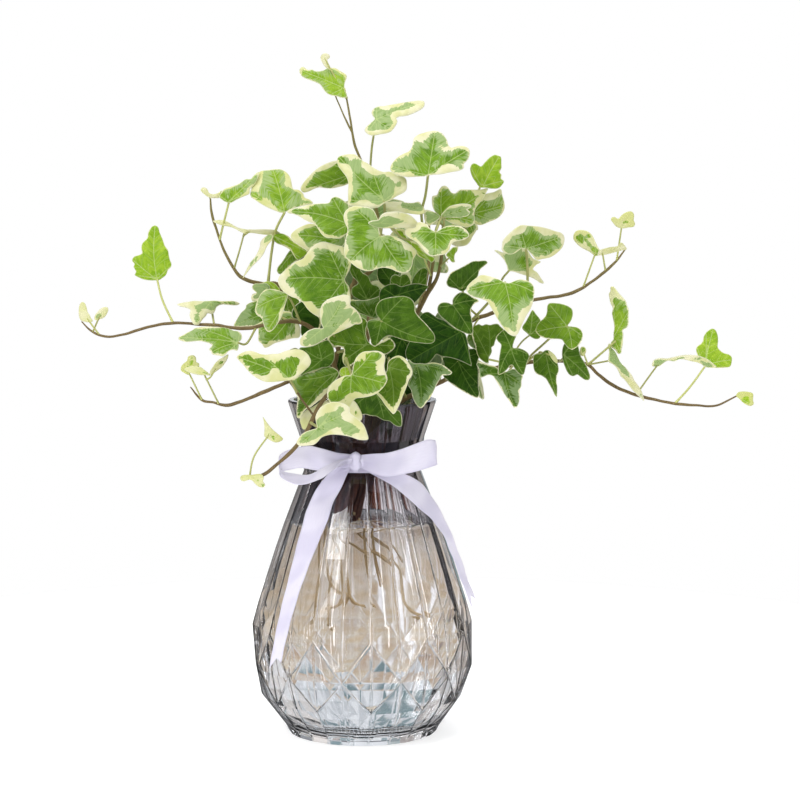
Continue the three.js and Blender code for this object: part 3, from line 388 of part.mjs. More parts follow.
 ["34","D","lr",1,[45.21,-18.22,179.49],[0.4167,-0.4215,-0.8054],[-0.2787,-0.9026,0.3281],[20,0],[0.0957,-0.0054,0.0003,-0.0059],[2.1,-9.1,2,11,14.6,3.3],[3.9,-9.4,0.7,-8.6,-1.8,-6.6,-5.4,-6,-4.7,-3.6,-4.5,0.6,-3.3,5.5,-0.7,10.2,2.2,11.7,3.9,9.5,6.1,7.5,9.3,6.4,13.1,4.4,16.3,2.7,18.5,2,20,0.3,19.4,-0.8,16.4,-3,12.7,-5.3,8.1,-7.8,5,-8.9],[45.2,-18.2,179.5,0.5,41.7,-10.1,173.7,0.5,39.8,-0.9,169.4,0.5]],
 ["34b","D","lr",1,[66.05,-38,175.43],[0.2827,-0.0992,-0.954],[-0.1751,-0.9833,0.0504],[17,0],[0.1001,-0.0072,-0.0002,-0.007],[-2.4,-10.1,7.1,5.8,-7.1,-9.7],[-0.3,0.2,-0.6,2.4,-0.5,4.8,1.6,6.6,3.8,7.8,5.8,6.5,8,5.8,9.8,4.3,12.2,3.6,14.4,2.8,16.9,0.5,16.8,-0.4,13.6,-1.5,9.9,-2.8,5.9,-3.9,2.3,-4.8,-0.2,-5.7,-1.2,-7.6,-0.9,-9.9,-1.1,-11.5,-3.2,-11.2,-5.5,-10.9,-7.4,-11.4,-8.3,-9.9,-6.9,-7.4,-5.3,-5.4,-4.2,-3.3,-1.8,-1.6],[66,-38,175.4,0.5,68.3,-25.9,174.9,0.5,71.8,-7,176.9,0.5]],
 ["35","D3","ur",1,[46.17,-32.2,193.89],[-0.8865,-0.0411,-0.461],[-0.1018,-0.9543,0.2809],[27.4,0],[0.1163,-0.0043,-0.0003,-0.0041],[11.1,-15.9,3.1,16.2],[0.1,-0.8,1.4,-2.3,2.9,-5.4,4.3,-8.7,6.4,-10.8,7.7,-13.4,9.1,-15.7,11.1,-16.4,13.3,-15.8,16.8,-13,22.5,-8.2,27,-4.5,27.9,-1.6,27,1.1,24.5,3.7,20.2,5.7,17.1,4.8,14.8,3.9,13.4,5.8,10.4,8.2,7.3,11.2,4.8,14.5,3.1,16.8,1.9,13.2,0.4,8.6,-0.8,4.9,-1.3,1.6],[46.2,-32.2,193.9,0.6,47.3,-24.8,194.4,0.6,48.9,-15.9,196.9,0.6]],
 ["36","D","lr",1,[25.51,-47,179.85],[0.1048,-0.303,-0.9472],[0.0188,-0.9517,0.3065],[19.8,0],[0.1518,-0.0062,0.0001,-0.0062],[8.7,-4.4,5.4,15.2],[-0.5,-0.2,-0.4,1.6,0.2,4.3,-0.1,7.1,0.5,9.8,1.9,12.4,3.7,14.2,5.5,15.7,6.4,14.6,6.4,12.8,6.5,10.8,7.9,9.9,10,8.3,12.6,6.7,15.9,4.5,17.9,2.5,19.5,0.9,19.9,0,19.1,-1.3,17,-2.5,14.2,-3.4,11.5,-3.7,9.2,-4.8,6.2,-3.4,3.8,-2.3,0.9,-2.6,-1.7,-4,-2.7,-3.2,-1.1,-1.7],[25.5,-47,179.8,0.5,21.4,-32.5,177.3,0.5,18.9,-18.9,173.4,0.5,17.2,-7.6,168.1,0.5,21.1,1,160.5,0.5]],
 ["37","M","cr",1,[13.03,-54,179.26],[0.0865,-0.3495,-0.9329],[-0.0818,-0.9358,0.343],[21.2,0],[0.1032,-0.0056,0.0002,-0.0058],[10.3,-4.1,3.5,9.7,-4.2,4.5],[1.3,-1,-1.5,-0.6,-3.5,0.8,-4.6,2.7,-5,4.5,-4.2,6.3,-3.1,7.6,-1.3,8.8,1.2,9.9,3.6,10.4,5.4,9.8,7.1,8.5,9.7,7.3,12.7,5.7,16.1,4,19,2.3,21.1,0.7,21.4,-0.1,20,-1.4,17.1,-3.4,14.3,-4.9,11.2,-6.9,8.3,-6.2,5.3,-4.1],[13,-54,179.3,0.5,12.9,-28.3,181.4,0.5,14.2,-15.4,183.5,0.5,15.6,-4.4,179.4,0.5,16.3,0.7,180.7,0.5]],
 ["38","V","ll",1,[-3.65,-66,176.55],[0.9604,-0.0942,-0.2622],[-0.1421,-0.9751,-0.1701],[15.2,0],[0.0758,-0.0091,0,-0.0082],[6.4,12.2,-7.5,-11,2.6,-13.9],[0,0.8,-0.2,3.8,-0.1,7.2,1,10.1,2.9,11.9,5.4,12.8,8.3,13.6,10.6,13.4,12.3,12.2,12.8,10.4,13.1,7.7,14,5.5,15.3,3.4,15.9,1.6,15.5,-0.9,14.3,-3.5,12.6,-5.8,10.3,-7.5,7,-9,4.5,-10,3.5,-11.6,3.1,-13.5,2.4,-15.4,0.5,-15.3,-3.2,-15.6,-5.9,-16,-7.8,-14.1,-8.8,-11.4,-8.8,-9.5,-8,-6.8,-6.2,-4.2,-4.3,-2.3,-2.4,-0.9,-0.6,-0.3],[-3.6,-66,176.6,0.6,-5.9,-47.3,180.8,0.6,-6.7,-43.6,182.6,0.6,-6.8,-39.9,180.4,0.6,-7.3,-24.5,176,0.6,-13.1,-10.6,170.5,0.6]],
 ["39","V","bl",1,[-18.52,-70,153.45],[0.9587,-0.0945,-0.2682],[-0.1546,-0.9648,-0.2128],[22.5,0],[0.0461,-0.0053,0,-0.0044],[5.1,13.3,-6.1,-10.1,12.1,10.9],[-0.4,-0.2,-1.3,1.8,-2.2,4.4,-1.8,7.5,-0.9,9.7,1.3,12,3.7,13.4,6.8,14,9.6,13.8,11.5,12.7,12.2,10.6,14.3,9.5,17.4,7.9,19.6,6.2,21.4,3.4,22.8,0.1,21.1,-0.6,18.9,-0.9,15.7,-0.5,12.5,-0.5,9.4,-0.9,6.4,-1.6,4,-3,2.5,-4.4,1.5,-6.5,0.1,-8.4,-2.4,-9.6,-5,-10.7,-6.4,-11,-7.8,-10.1,-7.3,-7.5,-6.3,-5.2,-4.8,-3.5,-2.8,-2.1],[-18.5,-70,153.4,0.6,-22.5,-51.5,153.7,0.6]],
 ["40","G","bl",1,[6.6,-46.48,167.74],[0.5695,0.0138,-0.8219],[-0.2292,-0.9575,-0.1749],[20.3,0],[-0.1073,-0.0055,-0.0005,-0.004],[0.7,-12.2,12.8,-4.5],[-0.5,-0.2,1.4,1.3,4.3,1.4,8.3,1.4,11.8,2.2,13.6,3.6,16,3.2,18.5,1.7,20.4,0,19.6,-1.5,17.9,-2.5,15.5,-3,13.6,-5.2,11.8,-6.2,10.2,-7,8.6,-9.1,6.8,-10.8,5.5,-13.5,2.8,-14.1,-0.5,-13.5,-2,-10.7,-1.3,-6.9,-0.9,-3],[6.6,-46.5,167.7,0.5,4.2,-33.1,170.3,0.5,2,-17.7,169.6,0.5,0.8,-3.8,159.8,0.5,-4.3,-20.5,156.7,0.5]],
 ["41","V","ll",1,[-31.32,-62,174.18],[-0.9067,0.0133,0.4216],[0.1372,-0.9358,0.3247],[25.9,0],[-0.0488,-0.0046,-0.0002,-0.0038],[-1.5,-14.4,9.9,5.3,16.1,-5.3],[-0.2,0.3,1.4,1.2,4.5,3.1,6.8,4.4,9.7,5.5,12.7,5.5,15.8,5.1,19.4,3.7,22,2.2,24.4,1.2,26,0.2,25.3,-1.8,23.7,-3.8,21.9,-5,19.6,-5.4,17.2,-5.4,14.6,-6.2,12.3,-7.7,9.5,-9.2,7.9,-11,5.8,-12.9,3.5,-14.5,0.8,-15.3,-1.9,-14.8,-3.9,-13.5,-5,-12.2,-5.3,-10.4,-4.5,-7.7,-3.4,-4.6,-2.1,-1.9],[-31.3,-62,174.2,0.6,-28.8,-47.5,167,0.6]],
 ["42","D4","ll",1,[-10.85,-41.75,175.85],[-0.6783,-0.0922,-0.729],[-0.1613,-0.9492,0.2701],[27.3,0],[-0.0944,-0.0043,-0.0001,-0.0032],[13.4,-10.4,12.6,3.4],[0,1.3,-0.9,-0.5,0.4,-4.9,3.7,-7.7,7.1,-9.8,11.2,-11.9,14.1,-13.2,17.5,-14.7,18.7,-12.1,19.8,-8.9,20.8,-6.3,23.4,-4.3,25.9,-2.3,27.6,-0.4,26.9,0.9,24.3,0.5,22,0.5,19.7,1.5,16.8,2.1,13.4,2.8,10.2,3.1,6.7,2.5,2.8,2],[-10.8,-41.8,175.8,0.5,-9.3,-32.8,174.5,0.5,-9.5,-23.8,172,0.5,-10.3,-10.5,168.2,0.5]],
 ["43","C3","bl",0,[-15.61,-38,161.95],[-0.6574,0.0006,-0.7535],[-0.0768,-0.9948,0.0662],[16.6,0],[0.0001,-0.003,-0.0001,-0.0031],[9.6,-4.6,8.3,1.7],[-0.1,1.2,-0.6,-0.3,2.1,-2.4,5.8,-3.5,8.8,-4.7,11.3,-4.9,14.1,-4.4,16,-2.1,16.9,0.1,15.4,1.1,12.6,1.1,8.9,0.4,4.9,0,1.5,0.7],[-19.1,-37.8,159.9,0.4,-10.3,-23.4,163.3,0.4,-7.6,-23.1,160.8,0.4]],
 ["43b","C3","bl",0,[-3.99,-42.52,162.35],[0.4832,0.0008,-0.8755],[-0.0879,-0.9949,-0.0494],[9,0],[0.0001,-0.0043,-0.0002,-0.0043],[],[0.2,-1.7,-0.7,0.2,0.5,1.3,3.8,1.6,6.4,1.4,8.1,0.9,9.5,-0.6,8.9,-2.1,6.4,-2.9,3.7,-3.5],[-3.6,-42.5,161.1,0.4,-1.7,-28.1,163.8,0.4,-2.6,-23.9,160.7,0.4]],
 ["44","P3","fl",1,[-56.87,-32,188.88],[-0.9795,0.1508,0.1333],[-0.0291,-0.7615,0.6475],[28.6,0],[-0.0637,-0.0037,-0.0012,-0.0027],[22,-6.4,10.8,6.5,0.6,-6,5.7,8.1],[-0.2,-0.5,-0.9,-1.9,-1,-3.8,0.1,-5.8,1.7,-6.7,3.7,-6.7,6.3,-7.8,8.9,-8.3,12.7,-7.9,16.5,-7.5,20.2,-6.9,22.5,-6.4,23.5,-4.8,25.1,-3.4,27.1,-1.5,28.8,-0.5,28.7,0.7,26.7,1.7,24.1,2.2,21.3,1.7,18.1,1,15,1.5,12.9,2.2,11.7,3.1,12.3,4.5,12.6,5.4,11.4,6.2,10.8,7.4,9.1,7.7,6.6,8,5.1,8.3,4,7.1,3.3,5.4,2.3,4.5,0.9,4.1,-0.6,4.4,-0.9,2.7,-0.7,1.1],[-56.9,-32,188.9,0.5,-53.5,-28.1,188.1,0.5,-48.7,-26.7,196,0.5]],
 ["45","P3","fl",0,[-71.38,-8,206.75],[-0.3299,-0.763,-0.5559],[0.4789,-0.6428,0.598],[17.6,0],[-0.1763,-0.0023,-0.0007,-0.0059],[11,-11.9,-12.3,11.3,5.2,3.4],[-0.7,-0.3,1.3,-2.6,2.8,-4.5,4.5,-6.8,6.7,-8.9,9.1,-11.3,11,-12.4,11.4,-10.7,10.7,-8.1,10.8,-6,13.7,-4.9,16.1,-3,17.8,-0.7,16.6,1,13.9,1.3,11.7,1.3,9,1.7,7,1.6,6.1,2.7,4.9,3.9,2.6,3.9,0.7,3.5,-1.9,4.1,-4.4,5.4,-6.6,7.5,-8.9,9.7,-11.8,11.5,-13.6,11.9,-12.5,9.8,-8.6,6.5,-4.7,3.3],[-71.3,-8.5,206,0.5,-70.6,-8.4,200.2,0.5,-68.9,-19.5,196.5,0.5]],
 ["46","Y","fl",1,[-97.04,-6,217.36],[-0.0662,0.334,0.9403],[0.083,-0.9372,0.3387],[28,0],[0.0959,-0.0035,-0.0002,-0.0046],[10.1,10.9,6.3,-6.8,1.9,9.8],[-0.4,0,-0.4,3.3,0.2,6.6,1.3,8.9,2.4,10.4,3.9,9.7,5.2,10.2,6.7,10.8,8,10.3,9.9,11.4,11.8,10.4,12.7,7.6,13.5,6.6,15.6,6.8,18.2,6.4,20,5,21.3,3.8,24,3.4,26.1,2.4,27.4,1.4,28,0,27,-1.4,23.8,-2.2,20,-3.5,16.7,-4.4,14.6,-5.7,11.5,-6.1,9.4,-6.5,7.6,-7.1,5.8,-6.8,4.4,-5.4,1.9,-4.3,0.5,-2.4,-0.4,-0.9],[-97,-6,217.4,0.5,-94.3,-10.1,208.3,0.5,-88.6,-15.2,197.1,0.5]],
 ["47","C2","fl",0,[-126.87,-14,198.53],[-0.4766,0.0997,0.8734],[0.0392,-0.9902,0.1344],[9.7,0],[-0.0983,-0.0082,0.0002,-0.0083],[4.2,4.7],[-0.6,-0.2,1.1,0,2.4,-0.2,4.3,0,6.7,-0.6,8.8,-0.7,9.8,0.1,9.4,1.5,7.2,3.3,4.7,4.5,2.4,4.7,0.5,2.9,-0.5,1.4],[-129.2,-13.8,199.3,0.4,-123.2,-15.4,191.4,0.4]],
 ["48","P","fl",0,[-124.84,-15,199.05],[0.7312,-0.0002,0.6821],[0.0682,-0.995,-0.0734],[7.5,0],[-0.1006,-0.0086,0.0002,-0.009],[],[-0.7,0.2,0.7,1.5,2.5,1.9,4.6,2.1,6.6,1.5,7.7,0.2,7.1,-0.9,5.3,-1.8,3.1,-2.1,1.3,-1.4,-0.1,-0.8],[-123,-14.9,200.7,0.4,-126.5,-14.7,192.9,0.4]],
 ["49","Y2","lr",0,[118.32,-18,190],[-0.0743,0.1305,0.9887],[-0.6844,-0.7278,0.0446],[24.4,0],[-0.182,-0.0028,-0.0003,-0.003],[11.6,-8.2,-6.6,-2.4],[-0.3,0.3,2.6,-0.2,4.9,-0.7,8.8,-0.1,12.1,0.4,14.4,-0.4,16.9,0.9,19.9,1.8,21.5,2.1,22.6,1.1,24.5,1.1,24.6,-0.5,23,-2,21.1,-3.6,18.8,-5.6,16.9,-7,15,-7.5,12.6,-8.4,9.3,-8.3,6,-7.9,4.3,-6.8,3.5,-4.9,1.6,-5,-0.7,-4.7,-3.4,-4.1,-5.2,-3.4,-7.1,-2.9,-7.4,-1.5,-5.4,0,-3,2.7,-1.4,1.9],[119.4,-18.8,189.2,0.5,106.2,-17.6,177.7,0.5]],
 ["50","P","lr",0,[115.47,-24,179.9],[0.698,0.0508,-0.7143],[0.585,-0.6157,0.5278],[25.3,0],[-0.0897,-0.0018,0.0003,0.0001],[-4,10,9.6,-1],[0,-0.5,-1.1,2.3,-2.3,5.6,-4.4,8.4,-4.4,11,-2.4,9.3,0.3,9.4,2.8,8.2,5.6,6.5,8.3,6.7,10.6,6.2,13.6,5.9,15.5,4.8,18.8,4,21.3,3.1,23.5,1.6,25.3,-0.1,23.3,-1,20.7,-1.5,17.9,-1.8,15.6,-1.5,13,-0.8,10.8,-0.8,9.1,-1.4,7.3,-0.7,4.7,0.2,2,0.1],[116.7,-22.4,180.1,0.4,106.2,-17.6,177.7,0.4]],
 ["51","P","lr",0,[140.48,-20,177.93],[0.9969,0.0652,-0.0448],[-0.0091,-0.4676,-0.8839],[25.9,0],[-0.0324,-0.0003,-0.0001,0.0002],[-4.5,2.4,9.1,10.1],[-0.8,-1.9,-2.5,-2.8,-3.9,-2.2,-4.8,2.4,-4.5,5,-2.1,6.9,1.3,6.8,3.3,8.5,6.7,10.3,11.3,10.9,15,11.1,18.1,9.6,21.8,5.6,26.1,-0.2,24.3,-1.6,21.4,-1.1,19,1.1,16.1,3.5,12.4,5.4,9.3,6.6,7,6.5,5.2,3.7,2.3,4.1,0.8,1.8],[138.9,-20.4,178.2,0.4,134.5,-17.6,171.4,0.4,129,-17.3,163.4,0.4]],
 ["52","Y","lr",1,[162.86,-8,176.6],[0.2491,0.2925,0.9232],[0.148,-0.9536,0.2622],[18.9,0],[0.0929,-0.0053,-0.001,-0.0064],[7.1,5.9,6.1,-11.4,15.8,3],[-0.7,0.6,1.5,3.2,3.4,4.6,4.7,5.6,6.5,6.3,8.2,5.8,9.6,4.6,11.4,3.8,13.5,3.8,16,3.1,18.1,1.6,19.2,0.1,18.6,-1.5,16.5,-2.7,13.6,-3.4,10.5,-3.8,9.3,-5.2,8.5,-7.4,8.5,-9.9,7.7,-11.4,5.3,-11.9,2.8,-11.6,1.5,-8.9,0.3,-5.1,-0.5,-1.8],[162.9,-8,176.6,0.5,155,-12.5,166.8,0.5,147.7,-15.1,159.2,0.5]],
 ["53","C2","lr",0,[176.93,-16,163.2],[0.8332,0.0021,-0.5529],[-0.1061,-0.9808,-0.1636],[8.6,0],[-0.0965,-0.0064,-0.0006,-0.0067],[3.2,3.9],[-0.3,-0.7,-0.6,1.2,1.1,2.9,3.6,4.2,5.6,4.6,7.4,2.1,8.8,0.7,8.3,-0.8,6,-1.5,3.6,-1.4,1.5,-0.9],[178.6,-16.1,163.2,0.4,176.9,-14.7,162.8,0.4]],
 ["54","Y","ll",0,[-80.5,-29,174.19],[0.2106,0.2011,0.9567],[0.1436,-0.9744,0.1732],[8.9,0],[0.0001,-0.0067,-0.0001,-0.007],[2.5,3.8,5.8,-4],[-0.3,-0.4,0.2,1.9,0.8,3.4,3,3.7,4.6,2.8,6,1.7,7.8,1.7,8.7,0.9,9.2,-0.9,8.2,-2.1,6.4,-2.6,6.1,-3.9,4.6,-4.3,3.5,-2.6,1.8,-1.4],[-80.6,-28.7,175.9,0.4,-74.8,-20.6,161.3,0.4]],
 ["55","C2","ll",0,[-70.02,-34,174.34],[-0.9683,0.1262,0.2157],[0.0636,-0.7101,0.7012],[12.1,0],[0.0004,-0.0037,-0.0013,-0.0023],[5.5,-2.9],[-0.4,0.3,1.4,0.7,4.1,1.5,7.4,1.6,10.5,0.9,12.1,0,10.9,-1.8,8.3,-2.8,5.5,-3.2,3.1,-2.1,0.6,-0.8],[-73,-33.3,175.3,0.4,-66.6,-24.8,159.8,0.4]],
 ["55b","C2","ll",0,[-69.46,-35,174.65],[0.6928,0.1295,0.7094],[0.5535,-0.726,-0.408],[12,0],[0,-0.0038,-0.0004,-0.0017],[],[-0.5,0.1,1.1,1.5,2.7,1.8,5.2,2.4,7.7,2.1,10,1,12.2,0.1,10.7,-1.3,8.2,-2.1,6.1,-2.3,3.3,-1.5,1.1,-0.8],[-67.1,-34.6,177.2,0.4,-69.5,-34.5,173.2,0.4,-71.6,-31.4,171.8,0.4]],
 ["56","C2","bl",0,[-43.2,-47,146.89],[-0.1621,0.1059,0.9811],[-0.2882,-0.9559,0.0556],[9.3,0],[-0.1815,-0.0043,-0.0006,-0.0045],[-2.5,-6.9],[0.2,0.7,3.5,0.1,6.7,-0.1,9.5,0.1,7.7,-0.7,5.2,-2,2.6,-3.6,0.3,-5.5,-2.4,-7.4,-3.3,-5.9,-3.4,-4,-2.5,-2.3,-1.1,-0.7],[-41.9,-47.1,147.7,0.4,-48.8,-48.1,137.5,0.4,-50.8,-49.1,128,0.4]],
 ["57","C2","bl",0,[-49.2,-51,128.81],[0.7929,0.0025,-0.6093],[-0.114,-0.9817,-0.1523],[6.9,0],[-0.093,-0.0042,0.0001,-0.0036],[-3.5,-3.6,3.5,3.3],[-0.8,0.7,1.1,2.7,2.7,3.6,4.4,2.8,4.9,1.4,6.8,0.6,7,-0.7,5.5,-1.8,3.4,-2,1.1,-1.5,-0.2,-1.8,-1.3,-3.5,-2.4,-4.7,-3.8,-4.5,-4.4,-3.1,-3.3,-1.4],[-48.5,-51,128.4,0.4,-50.8,-49.1,128,0.4]],
 ["58","C3","ul",0,[-54.06,-12.25,239.77],[-0.9283,-0.1757,0.3276],[0.3717,-0.4217,0.8271],[16.3,0],[-0.043,-0.0008,0.0005,0.001],[8.2,-0.4],[-0.8,0.4,0.1,1.9,3.1,1.7,7.2,0.3,12,1.1,16.5,0.5,14.7,-1.8,11.3,-3.8,7.8,-3.1,4.3,-1.6,0.8,-2.2,-1.1,-2.6],[-54.9,-12.2,240.2,0.4,-57.4,-10.4,231.6,0.4,-60.4,-8,222.3,0.4]],
 ["58b","C3","ul",0,[-53.64,-14.8,240.03],[0.9698,0.2212,-0.1026],[0.0083,-0.4507,-0.8927],[16.2,0],[-0.0398,-0.0008,-0.0004,0],[8.5,0.2],[-0.2,-1.8,-0.3,1.8,3.7,2.9,8.4,3.4,13.1,3.6,16.3,0,14.7,-2.2,11.2,-1.3,6.4,-1.2,2.6,-1],[-52.2,-15,240.2,0.4,-54.2,-14,238.8,0.4,-55.5,-11.8,238,0.4]],
 ["59","P","ul",0,[-42.09,-20,237.97],[-0.6002,-0.0651,-0.7972],[-0.6427,-0.5541,0.5292],[20,0],[-0.0552,-0.0014,0.0003,0.0003],[5.1,-3],[0.3,-3.2,-0.8,0.3,1.1,2.9,4.9,2.3,9,3.4,13.6,3.2,17.5,2,21.8,1.2,23.6,0.9,20.4,0,15.9,-1.2,11.5,-0.6,7.4,-2,4.6,-5,2.4,-4.7],[-42.9,-19.9,237.1,0.4,-41.6,-16,237,0.4,-41.6,-11.8,235.1,0.4]],
 ["60","C2","ul",0,[-70.62,-12,256.13],[-0.8159,0.0024,0.5782],[0.1615,-0.9592,0.2318],[5.7,0],[-0.1873,-0.004,-0.0001,-0.0032],[-2,-5.4],[-0.1,0.5,2.3,0.8,5.9,0.1,5.7,-1.7,3.8,-2.2,1.9,-1.1,0,-1.7,-1.5,-3.7,-2.2,-6,-2.8,-3.5,-3.2,-2,-1.8,-0.7],[-71.1,-11.8,256.9,0.4,-71.1,-10.6,255.7,0.4]],
 ["61","G3","fl",1,[-42.16,-14.36,202.31],[-0.9474,0.0654,-0.3133],[-0.1843,-0.9117,0.3671],[19.5,0],[-0.0868,-0.0045,-0.0006,-0.0032],[7.7,-8.4,6.4,4.9],[-1.2,-0.7,-0.6,-4.7,1.7,-7.8,4.5,-8.8,7.1,-8.5,9.2,-8.6,11.1,-8.1,12,-6.4,14.6,-5.1,17.2,-2.9,19.6,0,16.4,2,11.6,3.5,6.6,5.3,2.5,5.2,-0.7,2.8],[-42.2,-14.4,202.3,0.5,-33.4,-26.5,198.6,0.5]],
 ["61b","P2","fl",0,[-44.32,-9.03,213.4],[-0.7824,0.1007,-0.6146],[-0.1951,-0.9768,0.0883],[10,0],[-0.0948,-0.0061,-0.0006,-0.0055],[5.4,-5.4],[-1.1,0.2,-0.6,-2.5,1.9,-4.2,4.4,-5.9,6.1,-5.3,6.3,-3.3,5.8,-1.7,7.8,-2.5,9.5,-1.4,10,0,7.5,1.6,4.2,2.1,0.8,1.8],[-45.2,-8.8,213.1,0.4,-42.4,-9.7,207.8,0.4,-37,-27.8,198.4,0.4]],
 ["61c","Y3","ul",0,[-39.67,-7.97,211.94],[-0.9719,0.1009,0.2129],[-0.055,-0.9758,0.2117],[9.2,0],[-0.0939,-0.0062,-0.0007,-0.0062],[5.7,-3.2],[-1,0,1.4,-2.7,4.9,-3.8,8,-2.5,9.4,-0.5,8.1,1.9,5.5,1.5,2.7,1.1],[-41.6,-7.4,213.3,0.4,-37.9,-5.4,212.8,0.4,-36,-0.7,207,0.4]],
 ["62","V2","fl",1,[-33.43,-19.73,199.75],[-0.6579,0.0022,-0.7531],[-0.0752,-0.9952,0.0628],[18.3,0],[-0.1011,-0.0063,-0.0003,-0.0061],[15.1,-7.3,3.2,7.6],[-2.4,-0.8,-0.6,-4.3,2.7,-6.6,6.7,-8.2,11.1,-9.5,15.3,-11.1,14.1,-8.2,15.7,-6.6,18.1,-4.4,18.1,-2.1,18.6,-0.1,17.3,1,14.1,2.1,10.8,4.2,6.7,6.9,4,9.1,1.1,7.3,-0.4,5.4,-0.9,3.1],[-33.4,-19.7,199.8,0.5,-30.6,-19.7,198.8,0.5,-28.4,-24,197.8,0.5]],
 ["63","M2","cr",1,[2.84,-38,188.42],[-0.825,-0.05,-0.563],[-0.0164,-0.9935,0.1123],[14,0],[0.1015,-0.0087,-0.0001,-0.0087],[-4.5,-10.6,13.2,-11.7,-9.9,7.5],[-1.4,-0.7,-2,-3.4,-3.6,-6.2,-5.8,-7.8,-6,-10.1,-4.8,-11.9,-0.6,-12.2,4.8,-12.6,9.9,-13.3,13.3,-12.9,14.3,-10.6,13.5,-7.6,11.1,-6.6,10,-3.9,12.6,-1.8,13.8,0.9,13,3.5,8.7,3.7,4.4,3.9,1.2,5.9,-2.3,8,-6.3,8.7,-9.7,8.2,-10.8,5.8,-10.1,3.2,-6.1,2.4,-2.4,2.1],[2.8,-38,188.4,0.6,5,-28,184.4,0.6,6.5,-14.3,179,0.6,12.1,2,171,0.6]],
 ["64","Y3","ul",0,[-41,-14.95,237.93],[0.9057,0.1111,-0.4092],[0.2454,-0.9243,0.2922],[17.5,0],[-0.1694,-0.0042,0.0004,-0.0062],[15.3,-4.1],[0.1,-1.5,-0.2,0.7,2.6,2.8,6.1,3.1,9.7,1.7,13.1,1.1,17.6,0.4,17.7,-1.1,16.2,-3.7,14.8,-5.3,13.1,-4.9,9.5,-2.8,5.7,-2.3,2.7,-2.6],[-39.4,-14.8,237.1,0.4,-41.6,-13,236.5,0.4,-41.7,-11.3,234.3,0.4]],
 ["65","G3","ul",0,[-31.18,-6,230.3],[-0.6967,0.1022,-0.7101],[-0.2051,-0.9769,0.0606],[11.3,0],[-0.0913,-0.006,-0.0006,-0.0069],[6.5,-1.9],[-0.9,-0.2,1,-2.6,3.8,-2.5,6.5,-1.9,8.9,-1.6,11.4,-1.4,13.1,-0.4,13.2,1.7,9.6,2.4,5.4,2.5,1.2,3.2],[-32.1,-5.8,229.7,0.4,-28.7,0.1,220.7,0.4,-29.8,1.9,198.5,0.4]],
 ["66","D","fl",0,[-30.56,-20.9,200.74],[0.7354,0.1018,0.6699],[0.141,-0.99,-0.0044],[9,0],[-0.101,-0.0083,-0.0003,-0.0079],[4.2,3.1],[-1.7,0.3,-0.6,2.4,2,3.6,4.7,3.7,7.2,2.9,7.3,-0.4,7.6,-2.9,8.3,-6.4,8.1,-8.8,5.9,-11.3,3.3,-12.1,-0.6,-10,-4.2,-9,-1.8,-5.3,0,-4.2,-0.4,-1.9],[-30.6,-20.9,201.1,0.5,-29.2,-20.3,198.8,0.5,-28.4,-24,197.8,0.5]],
 ["67","G","fl",0,[-34.41,-10,201.64],[-0.1147,0.0998,0.9884],[0.0866,-0.9901,0.11],[8.1,0],[-0.0992,-0.0082,-0.0002,-0.0081],[4.1,2.8,4.3,-4.8],[-1,-0.8,0.7,1.8,4.1,2.8,7.4,1.7,9.1,-0.1,7.9,-2.4,5.7,-5.4,4.2,-5.7,2.5,-3.6,0.3,-1.9],[-34.5,-9.8,203,0.4,-32.8,-14.7,200,0.4,-30,-24.9,198.3,0.4]],
 ["68a","G2","cr",0,[18,-16,213.17],[0.1381,0.1007,0.9853],[0.1111,-0.9901,0.0856],[7.1,0],[0.0985,-0.0083,-0.0003,-0.0084],[3.1,4.7,4.9,-4.1],[-0.6,3.9,3,5.2,5.5,4.6,6.5,2.8,6,1,7.2,-0.5,7.3,-2.3,5.3,-4,3.5,-4.7,0.6,-4.2,-0.9,-0.6],[18.4,-15.9,213.8,0.4,25,-4,198.7,0.4]],
 ["68b","G2","cr",0,[25.99,-14,214.04],[0.2628,0.101,0.9595],[0.1201,-0.9902,0.0713],[9.3,0],[0.0989,-0.0082,-0.0003,-0.0087],[6.3,-3.2],[-0.7,2.5,3.6,3,6.8,1.8,9,0.4,9.8,-1.3,9.1,-2.8,6.3,-3.3,2.5,-3.9,-0.3,-2.5,-1.5,0.1],[26,-14,214.6,0.4,27.5,-8,209.6,0.4,29.2,-6.9,207.4,0.4]],
 ["69","D3","cr",0,[15.45,-28,210.34],[0.9672,0.052,0.2485],[0.0748,-0.9937,-0.0832],[16.5,0],[0.1185,-0.0073,-0.0006,-0.0073],[-3.9,4.4,7.8,-4.4],[-7.2,-0.1,-6.2,3.6,-4.2,5.3,-0.7,6,2,5.3,4,3.6,6.9,3.5,10.2,3.3,13.8,2,16.5,0,14.9,-1.2,12,-3.2,9.6,-4.8,7.4,-5.8,4.3,-4.9,-0.1,-3.3,-3.8,-2.8,-6.5,-2.2],[15.5,-28,210.2,0.5,16.1,-18,205.3,0.5,18.6,-7.1,199.4,0.5,23.4,-3,195.4,0.5]],
 ["70","G2","cr",0,[42.9,-22,226.58],[0.2213,0.1016,0.9699],[0.2042,-0.9773,0.0557],[6.5,0],[-0.1905,-0.0042,0,-0.0046],[1.5,2.9],[1.8,3.9,4.5,2.6,6.1,1.6,6.9,-0.7,4.8,-0.8,3,0,0.8,-0.2,-0.5,-0.9,-0.9,0.5,0.4,2.2],[41.8,-21.8,228.8,0.4,36.8,-11.1,223.6,0.4]],
